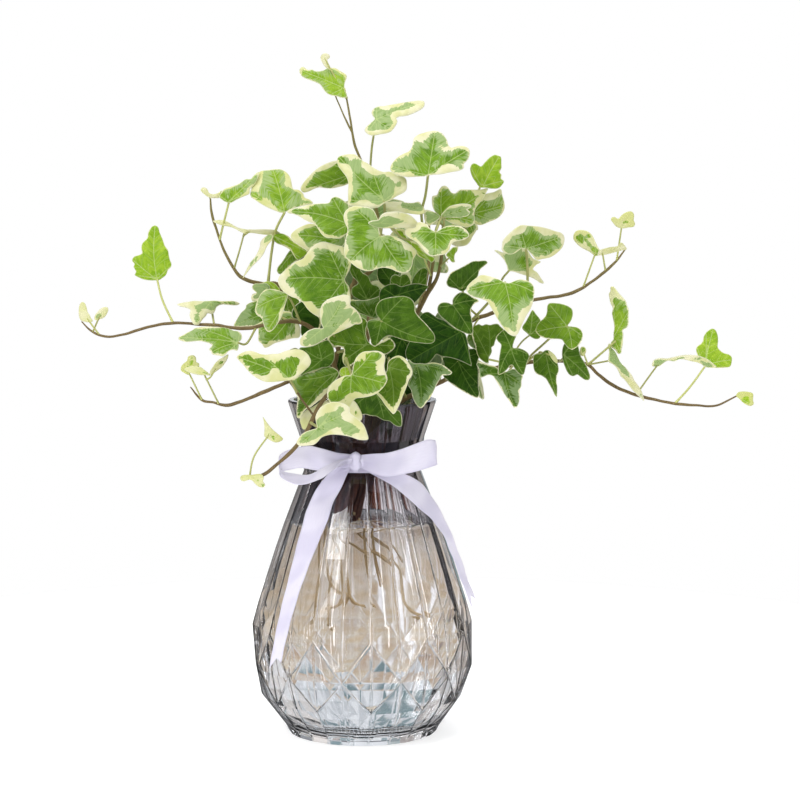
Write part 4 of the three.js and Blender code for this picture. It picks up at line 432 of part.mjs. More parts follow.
 ["71","Y3","cr",0,[32.37,-26,226.25],[-0.7621,0.208,0.6132],[-0.3762,-0.913,-0.1579],[23.7,0],[-0.1621,-0.0022,0,-0.0068],[9.9,-2.4],[-0.5,0.3,1.6,0.4,4,1.5,6.6,2.1,9.8,1,14,0.2,18.2,0.6,21.8,0.9,24.9,0.6,22.5,-1.6,18.9,-3.5,17.4,-2.1,14.1,-1.4,10.7,-2.7,6.9,-2.1,3.4,-1.5,-0.3,-2.5,-1,-1.4],[28.5,-24.9,229.3,0.4,32.6,-10,219.1,0.4]],
 ["72","G","ll",1,[-17.85,-40.25,181.67],[-0.7947,0.0002,-0.607],[-0.0621,-0.9948,0.081],[11.7,0],[0.101,-0.0105,-0.0003,-0.0105],[-3.2,-7.1,-5.9,0.7,3.5,-8.2],[2.2,3.1,4.1,2.5,6.8,1.5,9.7,0.6,12.2,-0.1,10.3,-2.4,7.8,-5.7,6.6,-8.8,4.9,-10.5,2.3,-9,-1.1,-7.4,-5.1,-6.6,-7.7,-5.5,-7.9,-3.5,-7.5,-1,-6.2,1.5,-4.4,3.5,-1.9,4.5,0.1,4.4],[-17.9,-40.3,181.7,0.5,-13.1,-10.6,170.5,0.5]],
 ["73","D3","cr",0,[18.93,-27.8,190.39],[-0.3512,0.0011,-0.9363],[-0.0943,-0.995,0.0342],[9.5,0],[-0.0003,-0.0085,-0.0002,-0.0085],[3.6,4.8],[1.5,-6.5,-0.1,-3.6,-1,0.1,-1.2,4.5,3.1,6.1,6.9,5.5,9.6,3.5,9.7,0.6,11.6,-1.7,10.1,-4.3,6.5,-2.6,4.2,-1.9,2.4,-3.6],[18.6,-27.8,189.7,0.4,18.9,-14.7,183.5,0.4,14.4,1.4,176.6,0.4]],
 ["74","G2","top",0,[2.96,-14,207.93],[-0.4399,0.1017,0.8923],[0.0435,-0.99,0.1343],[17,0],[0.099,-0.0068,-0.0002,-0.0071],[5.4,2.6,2.6,-7.5],[-0.9,1.5,1.8,3.8,5.4,5.7,8.4,4.3,9.3,0.7,13.5,1.7,17.6,1.3,20.1,-1.5,17.5,-3.4,13.2,-3.3,10.2,-5,6,-5,3.9,-7.1,0.7,-7.1,-1.2,-4.6,-2.3,-1.5],[3.2,-14,208.2,0.5,-5.5,0.2,194.5,0.5]],
 ["75","D2","top",0,[4.94,-22,199.86],[-0.8138,0.1023,0.572],[-0.0248,-0.9896,0.1417],[11.6,0],[-0.0989,-0.0098,-0.0005,-0.0097],[8,-3.1,1.4,-6.6],[-2,-1.2,1.9,0.5,5.8,1.5,9.2,2.4,13.3,1.7,13.5,-1,10.8,-2.9,7.3,-5.3,4.8,-8.3,2.4,-11.2,-1,-9,-2.1,-5],[5,-21.5,201.8,0.5,0.5,-7.7,190.4,0.5,-4.5,2.1,185.8,0.5]],
 ["76","D","top",0,[14.23,-10,216.26],[-0.5933,0.0999,0.7987],[0.0184,-0.9903,0.1375],[9.5,0],[-0.0999,-0.0098,-0.0002,-0.0095],[3.5,-5],[-2.3,1.7,0.8,4.1,4.7,4.7,8.1,2.8,10.3,-0.6,7.3,-3,5.6,-5.3,3.2,-7.1,-0.1,-3.4,-2.6,-0.4],[14.3,-10,216,0.4,10.4,0.1,207.4,0.4,3.6,4.1,196.7,0.4,-5,1.2,190.2,0.4]],
 ["77","D3","top",0,[-9.11,13,181.69],[-0.2345,0.0008,-0.9721],[-0.0922,-0.9955,0.0214],[13,0],[-0.096,-0.0058,-0.0002,-0.0057],[7.2,-4.9,4.7,5.5],[-1.4,-0.3,-0.7,2.8,2.7,5.6,6.7,5.5,11.2,3.5,14,0.2,11.4,-3.4,6.5,-6.1,2.3,-5.1,-0.2,-3.1],[-9.3,13,181.1,0.5,-3.2,5,171.6,0.5]],
 ["78","Y3","top",0,[-6.63,-46,174.11],[-0.0976,0.1029,0.9899],[0.091,-0.9896,0.1119],[4.6,0],[-0.1024,-0.0071,-0.0001,-0.0071],[2.5,2.5],[-0.2,-0.4,0.7,-2.1,2.5,-2.8,4,-1.8,4.7,0,4.1,1.9,2.6,2.8,0.7,2.5,-0.2,0.9],[-6.8,-45.8,175.5,0.4,-5.4,-34.1,170.7,0.4,-4.5,-20,166.9,0.4,-3.9,-5.9,161.9,0.4,-2.2,5.3,163.1,0.4]],
 ["79","D3","cr",0,[11.24,10,182.85],[0.0577,0.0006,-0.9983],[-0.0945,-0.9955,-0.0061],[14.6,0],[-0.096,-0.0052,-0.0001,-0.0052],[5.6,-4.8,5.2,5.9],[-1.6,-2.4,-2.3,2.1,0.3,5.7,6.2,6.3,11.9,4,14.6,0,11.5,-3.7,5.6,-5.3,0.8,-4.5],[11.2,10,182.7,0.5,14.4,1.4,176.6,0.5]],
 ["80","D3","cr",0,[18.97,12,169.63],[0.2338,0.0008,-0.9723],[-0.0914,-0.9956,-0.0228],[12.1,0],[-0.0957,-0.0062,-0.0001,-0.0062],[4.5,-4.7,6.9,5.7],[-1.6,-0.6,-1.3,4.3,3,6.2,8.3,5.1,11.8,1.6,11.1,-2.3,7,-4.8,2.1,-4.1],[19.1,12,169.2,0.4,10.4,2.4,166.9,0.4]],
 ["b1","V","b1",1,[-5.57,33.4,248.25],[-0.0885,0.4979,-0.8627],[-0.2962,0.8138,0.5],[24,0],[-0.08,-0.0083,0,-0.0067],[11,13.9,11,-13.9,-4.8,8.4,-4.8,-8.4],[-0.2,0.5,-2.2,3,-5.4,5.7,-4.6,8.7,-0.8,10.9,2.6,10.1,4.7,8.8,6.6,10.7,9.3,13.1,11.8,12.9,11.7,9.7,12.8,6.1,15.9,5,20.5,3.5,23.9,0.3,20.4,-3,15.6,-4.4,12.7,-5.7,12.1,-9.5,11,-12.4,8.3,-12.9,6.3,-10.5,4.7,-8.7,2.5,-10.5,-1.3,-10.9,-4.9,-8.2,-5,-5.6,-2.2,-2.9,-0.1,-0.7],[-5.6,33.4,248.3,0.5,-4.7,30.3,249.8,0.5,-12,34,248.9,0.5,-18.4,34.6,252.7,0.5]],
 ["b2","V","b1",0,[-19.56,39,236.44],[-0.508,0.1291,-0.8517],[-0.5198,0.7424,0.4226],[26,0],[-0.08,-0.0077,0,-0.0062],[12,15.1,12,-15.1,-5.2,9.1,-5.2,-9.1],[0.1,0.6,-2.3,3.5,-5.4,6.6,-5.1,10.1,-1,12.7,2.9,11.8,5.4,9.9,7.1,12.5,9.7,15,12.7,14.8,12.7,11.2,13.2,6.8,16.9,5.3,22.2,3.4,26.1,-0.2,21.8,-3.7,16.9,-5,14.1,-6.6,13,-11.1,11.9,-14.9,9,-15.2,6.4,-12.6,5.3,-10.2,2.5,-12.1,-1.2,-12.7,-5.2,-9.9,-5.6,-6.1,-2.6,-3.3,-0.4,-0.5],[-20.4,39.2,235.1,0.5,-17,37.1,238.2,0.5,-20,36.8,228.3,0.5,-20.4,34.4,222.6,0.5]],
 ["b3","G","b1",0,[-11.8,43.2,226.49],[0.229,0.3517,-0.9077],[-0.0819,0.9361,0.342],[30,0],[-0.08,-0.0067,0,-0.0053],[13.8,17.4,13.8,-17.4,-6,10.5,-6,-10.5],[-0.4,1.2,-3.3,4.6,-6.5,8.1,-6.2,12.2,-1.5,15.4,2.6,14.7,6.2,12.5,8.1,15.3,11,18.9,14.1,18.2,15.4,13.5,15.9,8.8,20.2,7.4,25.4,4.6,29.8,0.6,25.5,-4.3,19.6,-6.2,16.2,-8,14.6,-13.6,13.7,-18.1,11,-18.4,7.5,-15.1,6.4,-11.9,2.8,-14.5,-1.1,-15.6,-6.2,-12.2,-6.3,-7.7,-2.5,-3.7,0,-1.1],[-11.5,43.7,225.1,0.5,-12.3,40.3,228.5,0.5,-15.9,38.5,221.2,0.5,-20.1,33.6,218.4,0.5]],
 ["b4","D","b1",1,[-14.34,43.2,203.65],[-0.4327,0.4321,-0.7912],[-0.2802,0.7698,0.5736],[26,0],[-0.08,-0.0077,0,-0.0062],[12,15.1,12,-15.1,-5.2,9.1,-5.2,-9.1],[0.1,0.8,-2.6,3.6,-5.5,6.6,-5,10,-1.2,12.9,2.4,12.2,5,10.1,7.1,12.7,9.5,15.5,12.7,15,13.3,11.3,13.9,6.5,17.4,5.5,22,3.5,25.6,-0.5,21.5,-4.3,16.8,-5.9,13.9,-6.9,12.5,-11.9,11.5,-15.2,9.2,-15.6,7.1,-12.7,5.3,-10.2,2.3,-12.4,-1.6,-13,-5.2,-9.8,-5.7,-6.2,-2.3,-3.5,-0.2,-0.7],[-14.3,43.2,203.7,0.5,-12.5,40.4,204.9,0.5,-16.4,36.7,203.4,0.5,-18.3,30.2,205.9,0.5]],
 ["b5","V","b1",0,[-29.93,44.6,180.63],[-0.0663,0.691,-0.7198],[-0.4394,0.6275,0.6428],[24,0],[-0.08,-0.0083,0,-0.0067],[11,13.9,11,-13.9,-4.8,8.4,-4.8,-8.4],[-0.2,0.7,-2.4,3.1,-4.9,5.6,-4.9,8.9,-1.3,11,2.3,10.3,4.6,9.1,6.7,11.2,9.1,13.5,11.9,13,12.1,9.7,12.4,5.8,15.8,4.7,20.2,2.9,24.1,-0.3,20.3,-3.5,16.1,-4.7,12.7,-6.3,12.1,-10,10.7,-13.6,8.5,-13.4,6.4,-11,5.1,-8.9,1.9,-10.9,-1,-11.4,-4.7,-8.6,-4.9,-5.5,-2.1,-2.9,0.3,-0.6],[-30.7,45.3,179.3,0.5,-28.9,41.3,181.5,0.5,-24.3,40.3,176.4,0.5,-18.7,36,175.2,0.5]],
 ["b6","M","b1",0,[-16.82,40.4,176.92],[-0.3258,0.3571,-0.8754],[-0.1574,0.8925,0.4226],[26,0],[-0.08,-0.0077,0,-0.0062],[12,15.1,12,-15.1,-5.2,9.1,-5.2,-9.1],[0.1,0.8,-2.7,3.7,-5.7,7.1,-4.9,11.3,-1.2,14.1,2.9,12.9,5,11.4,6.6,13.7,9.8,16.4,12.6,16.3,12.7,12,13.9,7.5,16.9,5.8,21.9,3.5,26.2,-0.2,22,-4.6,17,-5.9,14.1,-7.6,12.8,-12.5,11.9,-16.5,9.4,-17.1,6.4,-13.7,5,-11.2,2.1,-13.6,-1.2,-13.9,-5.2,-11,-5.1,-7.2,-2.2,-3.7,0.2,-0.8],[-17.5,41,175.3,0.5,-15.5,37.5,178.7,0.5,-23.5,40,173.4,0.5,-30.2,39.5,173,0.5]],
 ["b7","P","b2",0,[45.53,34.8,251.19],[-0.0403,0.5206,-0.8529],[0.2241,0.8365,0.5],[19,0],[-0.08,-0.0105,0,-0.0084],[8.7,11,8.7,-11,-3.8,6.6,-3.8,-6.6],[0.2,0.6,-1.7,2.8,-4,5.4,-3.7,8.2,-0.6,10,2,9.3,3.6,8.2,5.4,9.8,7,11.9,9.4,11.7,9.8,8.6,9.7,5.1,12.5,4.3,15.8,2.5,19,-0.4,15.7,-3.4,12.3,-4.4,10.1,-5.5,9.4,-9.2,8.7,-12.1,6.9,-12,5.1,-9.8,3.9,-8.1,1.9,-9.8,-1.2,-10,-3.9,-7.9,-4,-5.1,-1.7,-2.8,-0.2,-0.8],[45.9,35.5,249.7,0.5,45.2,31.6,252.7,0.5,38.6,35.4,248,0.5,31.8,36,247.8,0.5]],
 ["b8","V","b2",0,[26.93,43.2,235.41],[-0.0987,0.44,-0.8925],[0.1574,0.8925,0.4226],[29,0],[-0.08,-0.0069,0,-0.0055],[13.3,16.8,13.3,-16.8,-5.8,10.1,-5.8,-10.1],[-0.3,0.9,-3.2,3.7,-6.8,7.5,-5.5,11,-0.9,14,2.8,13.5,6.1,10.9,8.3,13.9,11.1,16.8,13.5,16.1,14.7,12.5,14.9,7.7,19.4,6,24.3,3.7,28.8,0.1,24.7,-4.3,19.1,-5.8,15.6,-7.5,14.4,-12.5,13.2,-16.8,10.6,-17.1,7.9,-14,6.1,-11.2,2.9,-13.5,-1.2,-13.9,-6.5,-11.1,-6.4,-7.3,-2.5,-3.5,0.1,-0.6],[26.7,43.9,234,0.5,26.9,40.1,237.2,0.5,29.4,39.6,240.1,0.5,31.8,36,247.8,0.5]],
 ["b9","V","b2",1,[15.01,44.6,209.57],[-0.1301,0.5057,-0.8529],[0.0755,0.8627,0.5],[27,0],[-0.08,-0.0074,0,-0.0059],[12.4,15.7,12.4,-15.7,-5.4,9.4,-5.4,-9.4],[-0.2,0.9,-2.7,4,-5.9,7.7,-5.4,11.5,-1.1,14.3,2.9,13.8,5.2,11.5,7.4,14.6,10.6,17.5,12.8,17,13.6,13,14.1,7.8,17.6,6.4,22.5,4.4,27.3,0.4,22.6,-4.2,17.7,-6.1,14,-7.9,13.2,-13,11.8,-16.9,9.6,-17.3,6.7,-13.9,5.2,-11.6,2.1,-14,-1.4,-14.6,-5.6,-11.3,-5.5,-7.1,-2.4,-3.6,0.1,-1.1],[15,44.6,209.6,0.5,15.3,41.4,211.1,0.5,22,38.5,207.2,0.5,28.9,32.2,207.4,0.5]],
 ["b10","G","b2",0,[33.87,39,196.89],[0.2113,0.366,-0.9063],[0.4532,0.7849,0.4226],[28,0],[-0.08,-0.0071,0,-0.0057],[12.9,16.2,12.9,-16.2,-5.6,9.8,-5.6,-9.8],[0.3,0.9,-2.4,3.9,-5.7,7.2,-5.9,11.4,-0.8,14.6,3,13.5,5.4,11.5,7.8,14.2,10.9,17.4,13.5,17,13.8,12.5,14.8,7.9,18.6,6.6,23.7,4,28.2,0.5,23.8,-4,18.5,-6,14.9,-7.6,13.7,-13.1,12.9,-16.7,10.5,-17.2,7.5,-13.8,5.7,-11.4,2.3,-13.9,-1.4,-14.4,-6.3,-11.2,-5.6,-7,-2.9,-3.8,0.1,-0.9],[34.9,39.1,195.3,0.5,32.3,36.3,198.8,0.5,29.5,33.5,194.8,0.5,25,27.9,195.4,0.5]],
 ["b11","V","b2",0,[45.85,40.4,179.91],[0.6085,0.193,-0.7698],[0.5265,0.6275,0.5736],[27,0],[-0.08,-0.0074,0,-0.0059],[12.4,15.7,12.4,-15.7,-5.4,9.4,-5.4,-9.4],[-0.3,0.7,-2.8,3.7,-5.9,6.8,-5.5,10.5,-0.8,13.2,2.7,12.4,5.8,10.4,7.2,13,9.9,15.4,12.6,15.2,13.2,11.2,14.2,6.8,17.6,5.4,22.9,3.4,27.1,-0.1,22.3,-3.9,18.2,-5.5,14.7,-7.4,13,-12.1,12.5,-15.5,9.5,-15.7,7.3,-12.7,5.6,-10.7,2.1,-12.4,-1.1,-13.2,-5.8,-10.2,-5.5,-6.4,-2.3,-3.6,0.3,-0.5],[45.9,41.4,178.5,0.5,43,38.6,181.1,0.5,45.9,42.5,171.8,0.5,46,44.6,166.6,0.5]],
 ["b12","G","b2",0,[44.03,47.4,179.45],[0.3214,0.5567,-0.766],[0.383,0.6634,0.6428],[21,0],[-0.08,-0.0095,0,-0.0076],[9.7,12.2,9.7,-12.2,-4.2,7.3,-4.2,-7.3],[-0.2,0.8,-2.3,2.9,-4.5,5.6,-4.2,8.8,-0.9,10.8,2.2,10,4,8.5,5.9,10.7,8.3,13,9.8,12.5,10.5,9.3,10.9,6,13.8,4.7,17.4,3.2,21,0,17.8,-3.3,14.1,-4.3,11.4,-5.6,10.4,-9.4,9.3,-12.5,7.5,-13,5.2,-10.7,3.9,-8.6,1.7,-10.4,-1.1,-10.7,-4.6,-8.5,-4.3,-5.3,-1.8,-2.6,-0.2,-0.7],[44.6,48.1,178.4,0.5,42.3,44.4,180.5,0.5,42.5,43.5,172.7,0.5,41.1,39.5,169,0.5]],
 ["b13","V","b3",0,[4.85,64.4,247.28],[0,-0.6428,0.766],[0,0.766,0.6428],[26,0],[-0.08,-0.0077,0,-0.0062],[12,15.1,12,-15.1,-5.2,9.1,-5.2,-9.1],[0.1,0.7,-2.6,3.9,-5.4,6.8,-5.3,10.7,-0.9,13.3,2.4,12.6,5.5,10.6,7.1,13.2,10.2,15.5,12.5,15.1,13.2,11.6,13.7,7.1,16.8,5.6,22,3.6,25.6,-0.1,22.2,-4.3,17.5,-5.5,13.8,-6.9,13.1,-11.6,11.4,-15.4,9.3,-15.7,6.4,-12.9,4.9,-10.6,2.2,-12.7,-1.4,-13.4,-5.5,-10.3,-5.2,-6.4,-2.7,-3.4,0.1,-0.7],[4.8,63.3,248.6,0.5,4.8,64.8,243.7,0.5,5.2,62.5,239.7,0.5,5.5,60.4,234.1,0.5]],
 ["b14","V","b3",0,[-1.38,71.76,235.09],[-0.3235,0.4422,-0.8365],[-0.1205,0.8576,0.5],[30,0],[-0.08,-0.0067,0,-0.0053],[13.8,17.4,13.8,-17.4,-6,10.5,-6,-10.5],[-0.1,0.6,-3.2,4,-6.9,7.5,-5.7,11.2,-1.5,13.9,3.2,12.9,5.9,10.9,8,13.6,11,16.4,14.5,16,14.6,12.3,15.2,7.1,20,6,25.4,3.6,30.4,-0.7,25,-4.7,19.7,-6.2,15.6,-8,14.4,-12.7,13.9,-16.8,10.8,-16.8,7.5,-13.5,6.2,-11.1,3.1,-13.3,-1.8,-14,-6.3,-11,-6.6,-7,-2.4,-3.5,0.2,-0.6],[-2.6,72.1,234,0.5,-0.2,68.7,236.6,0.5,1.8,66.3,230.6,0.5,4.9,60.8,229.5,0.5]],
 ["b15","G","b3",0,[11.86,73.6,223.85],[0.394,0.3457,-0.8517],[0.1261,0.8975,0.4226],[28,0],[-0.08,-0.0071,0,-0.0057],[12.9,16.2,12.9,-16.2,-5.6,9.8,-5.6,-9.8],[-0.4,0.8,-2.4,4.3,-6,8,-5.7,12.1,-1.2,15,2.4,14.1,5.2,12,7.6,14.9,10.4,18,13.2,17.4,13.7,12.9,14.8,8.1,18.7,6.8,23.7,4.4,28.3,0,23.9,-4.5,18.4,-6.5,14.5,-8.3,13.3,-13.4,12.7,-17.8,9.7,-18.2,7.4,-14.4,5.9,-11.8,2.9,-14.3,-1.4,-14.9,-6.2,-11.8,-5.9,-7.5,-2.5,-3.8,0.1,-0.9],[11.9,74.2,222.4,0.5,10.4,70.8,225.6,0.5,8.2,67,223.2,0.5,4.4,60.6,225.4,0.5]],
 ["b16","V","b3",0,[-0.44,73.6,204.43],[-0.2023,0.4031,-0.8925],[-0.0632,0.9041,0.4226],[31,0],[-0.08,-0.0065,0,-0.0052],[14.3,18,14.3,-18,-6.2,10.8,-6.2,-10.8],[0.3,0.7,-3.5,4.6,-6.4,8.2,-6.7,12.8,-1.7,16.2,3.3,15.3,6.1,13.1,7.9,16.4,12.1,19.3,14.7,18.5,15.6,13.9,15.9,8.8,20.1,7.1,26.4,4.1,31.4,-0.3,26.1,-5.3,20.8,-6.8,16.2,-8.8,15.1,-14.7,13.9,-18.9,11.5,-19.2,8.4,-16.2,6,-13,2.8,-15.8,-1.5,-16.4,-6.6,-12.6,-6.2,-8.2,-3.1,-4.4,-0.2,-1.3],[-0.4,74.3,202.8,0.5,0.3,70.6,206.3,0.5,1.2,65.3,205.3,0.5,2.9,56.8,208.6,0.5]],
 ["b17","V","b3",0,[-2.26,58.88,171.6],[-0.2702,0.3211,-0.9077],[-0.0328,0.9391,0.342],[27,0],[-0.08,-0.0074,0,-0.0059],[12.4,15.7,12.4,-15.7,-5.4,9.4,-5.4,-9.4],[0.1,1.1,-3,4.2,-5.6,7.4,-5.4,11.6,-0.9,14.7,3.1,13.5,5.1,11.9,7.6,14.8,9.9,17.6,12.9,17.2,13.6,12.9,13.7,7.8,17.8,6.8,22.8,4.5,27.3,0.4,22.9,-4.3,18,-5.9,14.5,-7.8,13.3,-12.9,12.2,-17.3,10,-17.3,6.8,-14.3,5.1,-11.5,2.2,-14.1,-1,-14.5,-5.5,-11.6,-5.5,-7.1,-2.8,-3.7,-0.1,-1],[-2.6,59.4,170.1,0.5,-1.4,56,173.6,0.5,-0.3,50.6,175.9,0.5,1.7,42.5,183.2,0.5]],
 ["b18","M","b3",0,[9.96,49.68,161.18],[0.1853,0.3306,-0.9254],[0.0328,0.9391,0.342],[25,0],[-0.08,-0.008,0,-0.0064],[11.5,14.5,11.5,-14.5,-5,8.8,-5,-8.8],[0,0.9,-2.4,3.2,-5.8,5.8,-5.2,9.3,-1.3,11.2,2.6,10.5,5.3,8.8,6.5,11.4,9.4,13.7,11.8,12.8,12.7,9.8,12.9,6.2,16.6,4.9,21.1,2.9,25.3,-0.1,20.6,-3.6,16.2,-4.9,13.1,-6.1,12.2,-10.5,11.6,-13.2,9.2,-13.6,6.6,-11.1,5.1,-8.9,2.1,-10.8,-0.9,-11.2,-5.1,-8.7,-5.1,-5.5,-2.6,-2.9,-0.1,-0.5],[10.3,50.3,159.5,0.5,9.3,46.8,163.3,0.5,5.6,41.9,165.3,0.5,1.2,34.5,172.7,0.5]],
 ["b19","G","b1",0,[-30.25,14,228.04],[-0.3841,0.2934,-0.8754],[-0.9029,0.079,0.4226],[25,0],[-0.08,-0.008,0,-0.0064],[11.5,14.5,11.5,-14.5,-5,8.8,-5,-8.8],[-0.1,0.7,-2.5,3,-5.4,5.8,-5,9.1,-1.3,11.5,2.5,11.1,5.3,9.2,6.4,11.6,9.2,14.3,12.3,13.6,12.8,10.6,13.3,6.2,16.7,5.3,21.4,3.3,25.3,0,21.4,-3.4,16.5,-5,13,-6.2,12.4,-10.2,11.2,-13.6,9.2,-13.9,6.9,-11.3,5,-9.3,2.1,-11.3,-1.6,-11.6,-5.4,-9.1,-5,-5.8,-2,-3.2,-0.2,-0.5],[-30.6,15.1,226.9,0.5,-27.3,13,229.8,0.5,-25.4,24.6,226.3,0.5,-20.6,35.3,228.3,0.5]],
 ["b20","D","b1",0,[-21.88,18,185.26],[-0.3759,-0.048,-0.9254],[-0.883,0.3214,0.342],[25,0],[-0.08,-0.008,0,-0.0064],[11.5,14.5,11.5,-14.5,-5,8.8,-5,-8.8],[-0.1,0.8,-2.5,3.2,-5.8,6.1,-5,9.7,-1.3,12.1,2.2,11.4,4.9,9.6,6.8,11.9,9.5,14.1,12,14.1,12.5,10.6,13,6.2,16.5,5.3,21.4,3.4,24.9,-0.1,20.7,-3.5,16.7,-5.1,13.6,-6.5,12.1,-10.5,11.3,-13.8,9.2,-14.1,6.4,-11.8,5,-9.7,2.4,-11.4,-1.3,-11.8,-5.2,-9.1,-5.6,-5.8,-2.1,-3,-0.1,-0.8],[-22.5,18,183.6,0.5,-19,17.5,187.4,0.5,-16.1,17.7,179.6,0.5,-10.5,17.6,177.4,0.5]],
 ["b21","P","b2",0,[35.39,16,237.64],[0.3729,0.4949,-0.7849],[0.8529,0.1504,0.5],[20,0],[-0.08,-0.01,0,-0.008],[9.2,11.6,9.2,-11.6,-4,7,-4,-7],[0.1,0.7,-1.8,2.9,-4.3,5.5,-3.8,8.6,-0.6,10.5,2.2,10.1,3.7,8.6,5.6,10.8,7.3,12.7,9.6,12.5,9.7,9.4,10.6,5.9,13,4.9,16.9,3.1,20,0.3,16.7,-2.9,13.2,-4.2,10.8,-5.7,10,-9.4,9,-12.2,7.3,-12.5,5,-10.1,3.8,-8.3,1.7,-10.3,-1,-10.6,-4.1,-8.4,-4,-5.4,-1.6,-2.6,0.1,-0.6],[36,16.8,236.3,0.5,32.6,14.2,239,0.5,34,26.6,237.4,0.5,32.6,37.1,239.7,0.5]],
 ["b22","G","b2",0,[33.62,22,186],[0.3445,0.0511,-0.9374],[0.883,0.3214,0.342],[21,0],[-0.08,-0.0095,0,-0.0076],[9.7,12.2,9.7,-12.2,-4.2,7.3,-4.2,-7.3],[0,0.8,-2,3.1,-4.7,6,-4.2,8.9,-0.7,11.3,2.2,10.5,4.5,9.2,5.5,11.4,8.3,13.6,9.9,12.9,10.3,9.7,11,6.1,13.6,4.9,17.6,2.7,20.7,-0.3,17.7,-3.8,13.8,-5,11,-6.3,10.4,-10.4,9.1,-13.3,7.7,-13.6,5.7,-11.2,4,-9.1,1.6,-10.8,-0.7,-11.1,-4.6,-8.8,-4.4,-5.7,-2.1,-2.8,0.2,-0.7],[34,22.4,184.4,0.5,30.8,21.2,188.1,0.5,29.3,25,189.3,0.5,25,27.9,195.4,0.5]],
].map(([id, kind, vine, own, O, X, N, tip, h, lobes, outline, petiole]) => {
  const q = [];
  for (let i = 0; i < outline.length; i += 2) q.push([outline[i], outline[i + 1]]);
  return { id, kind, vine, own, O: new THREE.Vector3(...O), X: new THREE.Vector3(...X), N: new THREE.Vector3(...N), h, petiole, outline: simplify(q, own ? OUTLINE_TOLERANCE : 1.3 * OUTLINE_TOLERANCE) };
});
const VINES = {
  fl: "vine_long_left", ul: "vine_upper_left", ll: "vine_low_left", bl: "vine_bottom_left", top: "vine_top", cr: "vine_centre_right",
  ur: "vine_upper_right", lr: "vine_low_right", b1: "vine_back_left", b2: "vine_back_right", b3: "vine_back_centre",
};
const vines = {};
for (const key of Object.keys(VINES)) {
  let wood = null, cut = null;
  const put = (s, c) => {
    wood = wood ? wood.add(s) : s;
    cut = cut ? cut.add(c) : c;
  };
  for (const [v, flat] of STEMS) if (v === key) put(tube(flat, STEM_SIDES), tube(flat, STEM_SIDES, GAP + 0.05));
  for (const leaf of LEAVES) {
    if (leaf.vine !== key) continue;
    put(tube(leaf.petiole, PETIOLE_SIDES), tube(leaf.petiole, PETIOLE_SIDES, GAP + 0.05));
    if (!leaf.own) put(blade(leaf), blade(leaf, GAP + 0.05));
  }
  vines[key] = { wood, cut };
}
const blades = LEAVES.filter((l) => l.own).map((leaf) => ({ leaf, name: "leaf_" + leaf.id.padStart(2, "0"), s: blade(leaf), cut: blade(leaf, GAP) }));

// Neighbours keep a small clearance: each blade is notched round the petiole that carries it.
const keys = Object.keys(vines);
keys.forEach((k, i) => {
  vines[k].wood = largest(vines[k].wood.subtract(rootsCut));
  keys.slice(i + 1).forEach((m) => {
    if (overlaps(vines[k].wood, vines[m].wood)) vines[m].wood = vines[m].wood.subtract(vines[k].cut);
  });
});
for (const k of keys) {vines[k].wood = largest(vines[k].wood);}
blades.sort((a, b) => b.s.volume() - a.s.volume());
blades.forEach((b, i) => {
  for (const k of keys) if (overlaps(b.s, vines[k].wood)) b.s = largest(b.s.subtract(vines[k].cut));
  blades.slice(0, i).forEach((c) => {
    if (overlaps(b.s, c.s)) b.s = largest(b.s.subtract(c.cut));
  });
});

// ---------------------------------------------------------------- scene graph
const material = (color, roughness, opacity = 1, metalness = 0) => new THREE.MeshStandardMaterial({ color, roughness, metalness, opacity, transparent: opacity < 1 });
const GLASS = material(0x6b6d74, 0.06, 0.35);
const WATER_LOOK = material(0xdfe4e6, 0.04, 0.3);
const ROOT = material(0x5a3d2c, 0.8);
const SATIN = material(0xd9d2e2, 0.42);
const STEM = material(0x6e5a38, 0.7);
const LEAF_LOOKS = { V: 0x86a86c, G: 0x4f7a38, D: 0x39573f, Y: 0x9cc25a, P: 0xa9b99a, C: 0xe6e3bd, M: 0x7f9a4a };
const part = new THREE.Group();
const ivy = new THREE.Group(), bow = new THREE.Group();
part.add(ivy, bow);
const put = (group, name, s, look) => {
  const mesh = new THREE.Mesh(toGeometry(s), look);
  mesh.name = name;
  group.add(mesh);
};
put(part, "glass_vase", vaseSolid, GLASS);
put(part, "water", waterSolid, WATER_LOOK);
put(part, "roots", rootsSolid, ROOT);
const bandRing = bandSolid;
put(bow, "ribbon_band", bandRing, SATIN);
put(bow, "ribbon_knot", knotSolid, SATIN);
const done = [];
for (const [name, [rows, across, per]] of Object.entries(ribbon)) {
  let s = strip(rows, across, per, RIBBON_THICKNESS).subtract(knotCut);
  for (const c of [ring(BAND_LOW - GAP, BAND_HIGH + GAP, 0.05, 1.4), ...done]) if (overlaps(s, c)) s = s.subtract(c);
  s = largest(s);
  done.push(strip(rows, across, per, RIBBON_THICKNESS + 2 * GAP));
  put(bow, name, s, SATIN);
}
for (const k of keys) put(ivy, VINES[k], vines[k].wood, STEM);
for (const b of blades.sort((a, c) => (a.name < c.name ? -1 : 1))) put(ivy, b.name, b.s, material(LEAF_LOOKS[b.leaf.kind[0]], 0.5));

export default part;
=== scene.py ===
"""Variegated ivy in a cut-glass vase of water with a satin bow. Metres, +Z up, the bow faces -Y."""
import math
import random

import bpy
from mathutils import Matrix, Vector, geometry


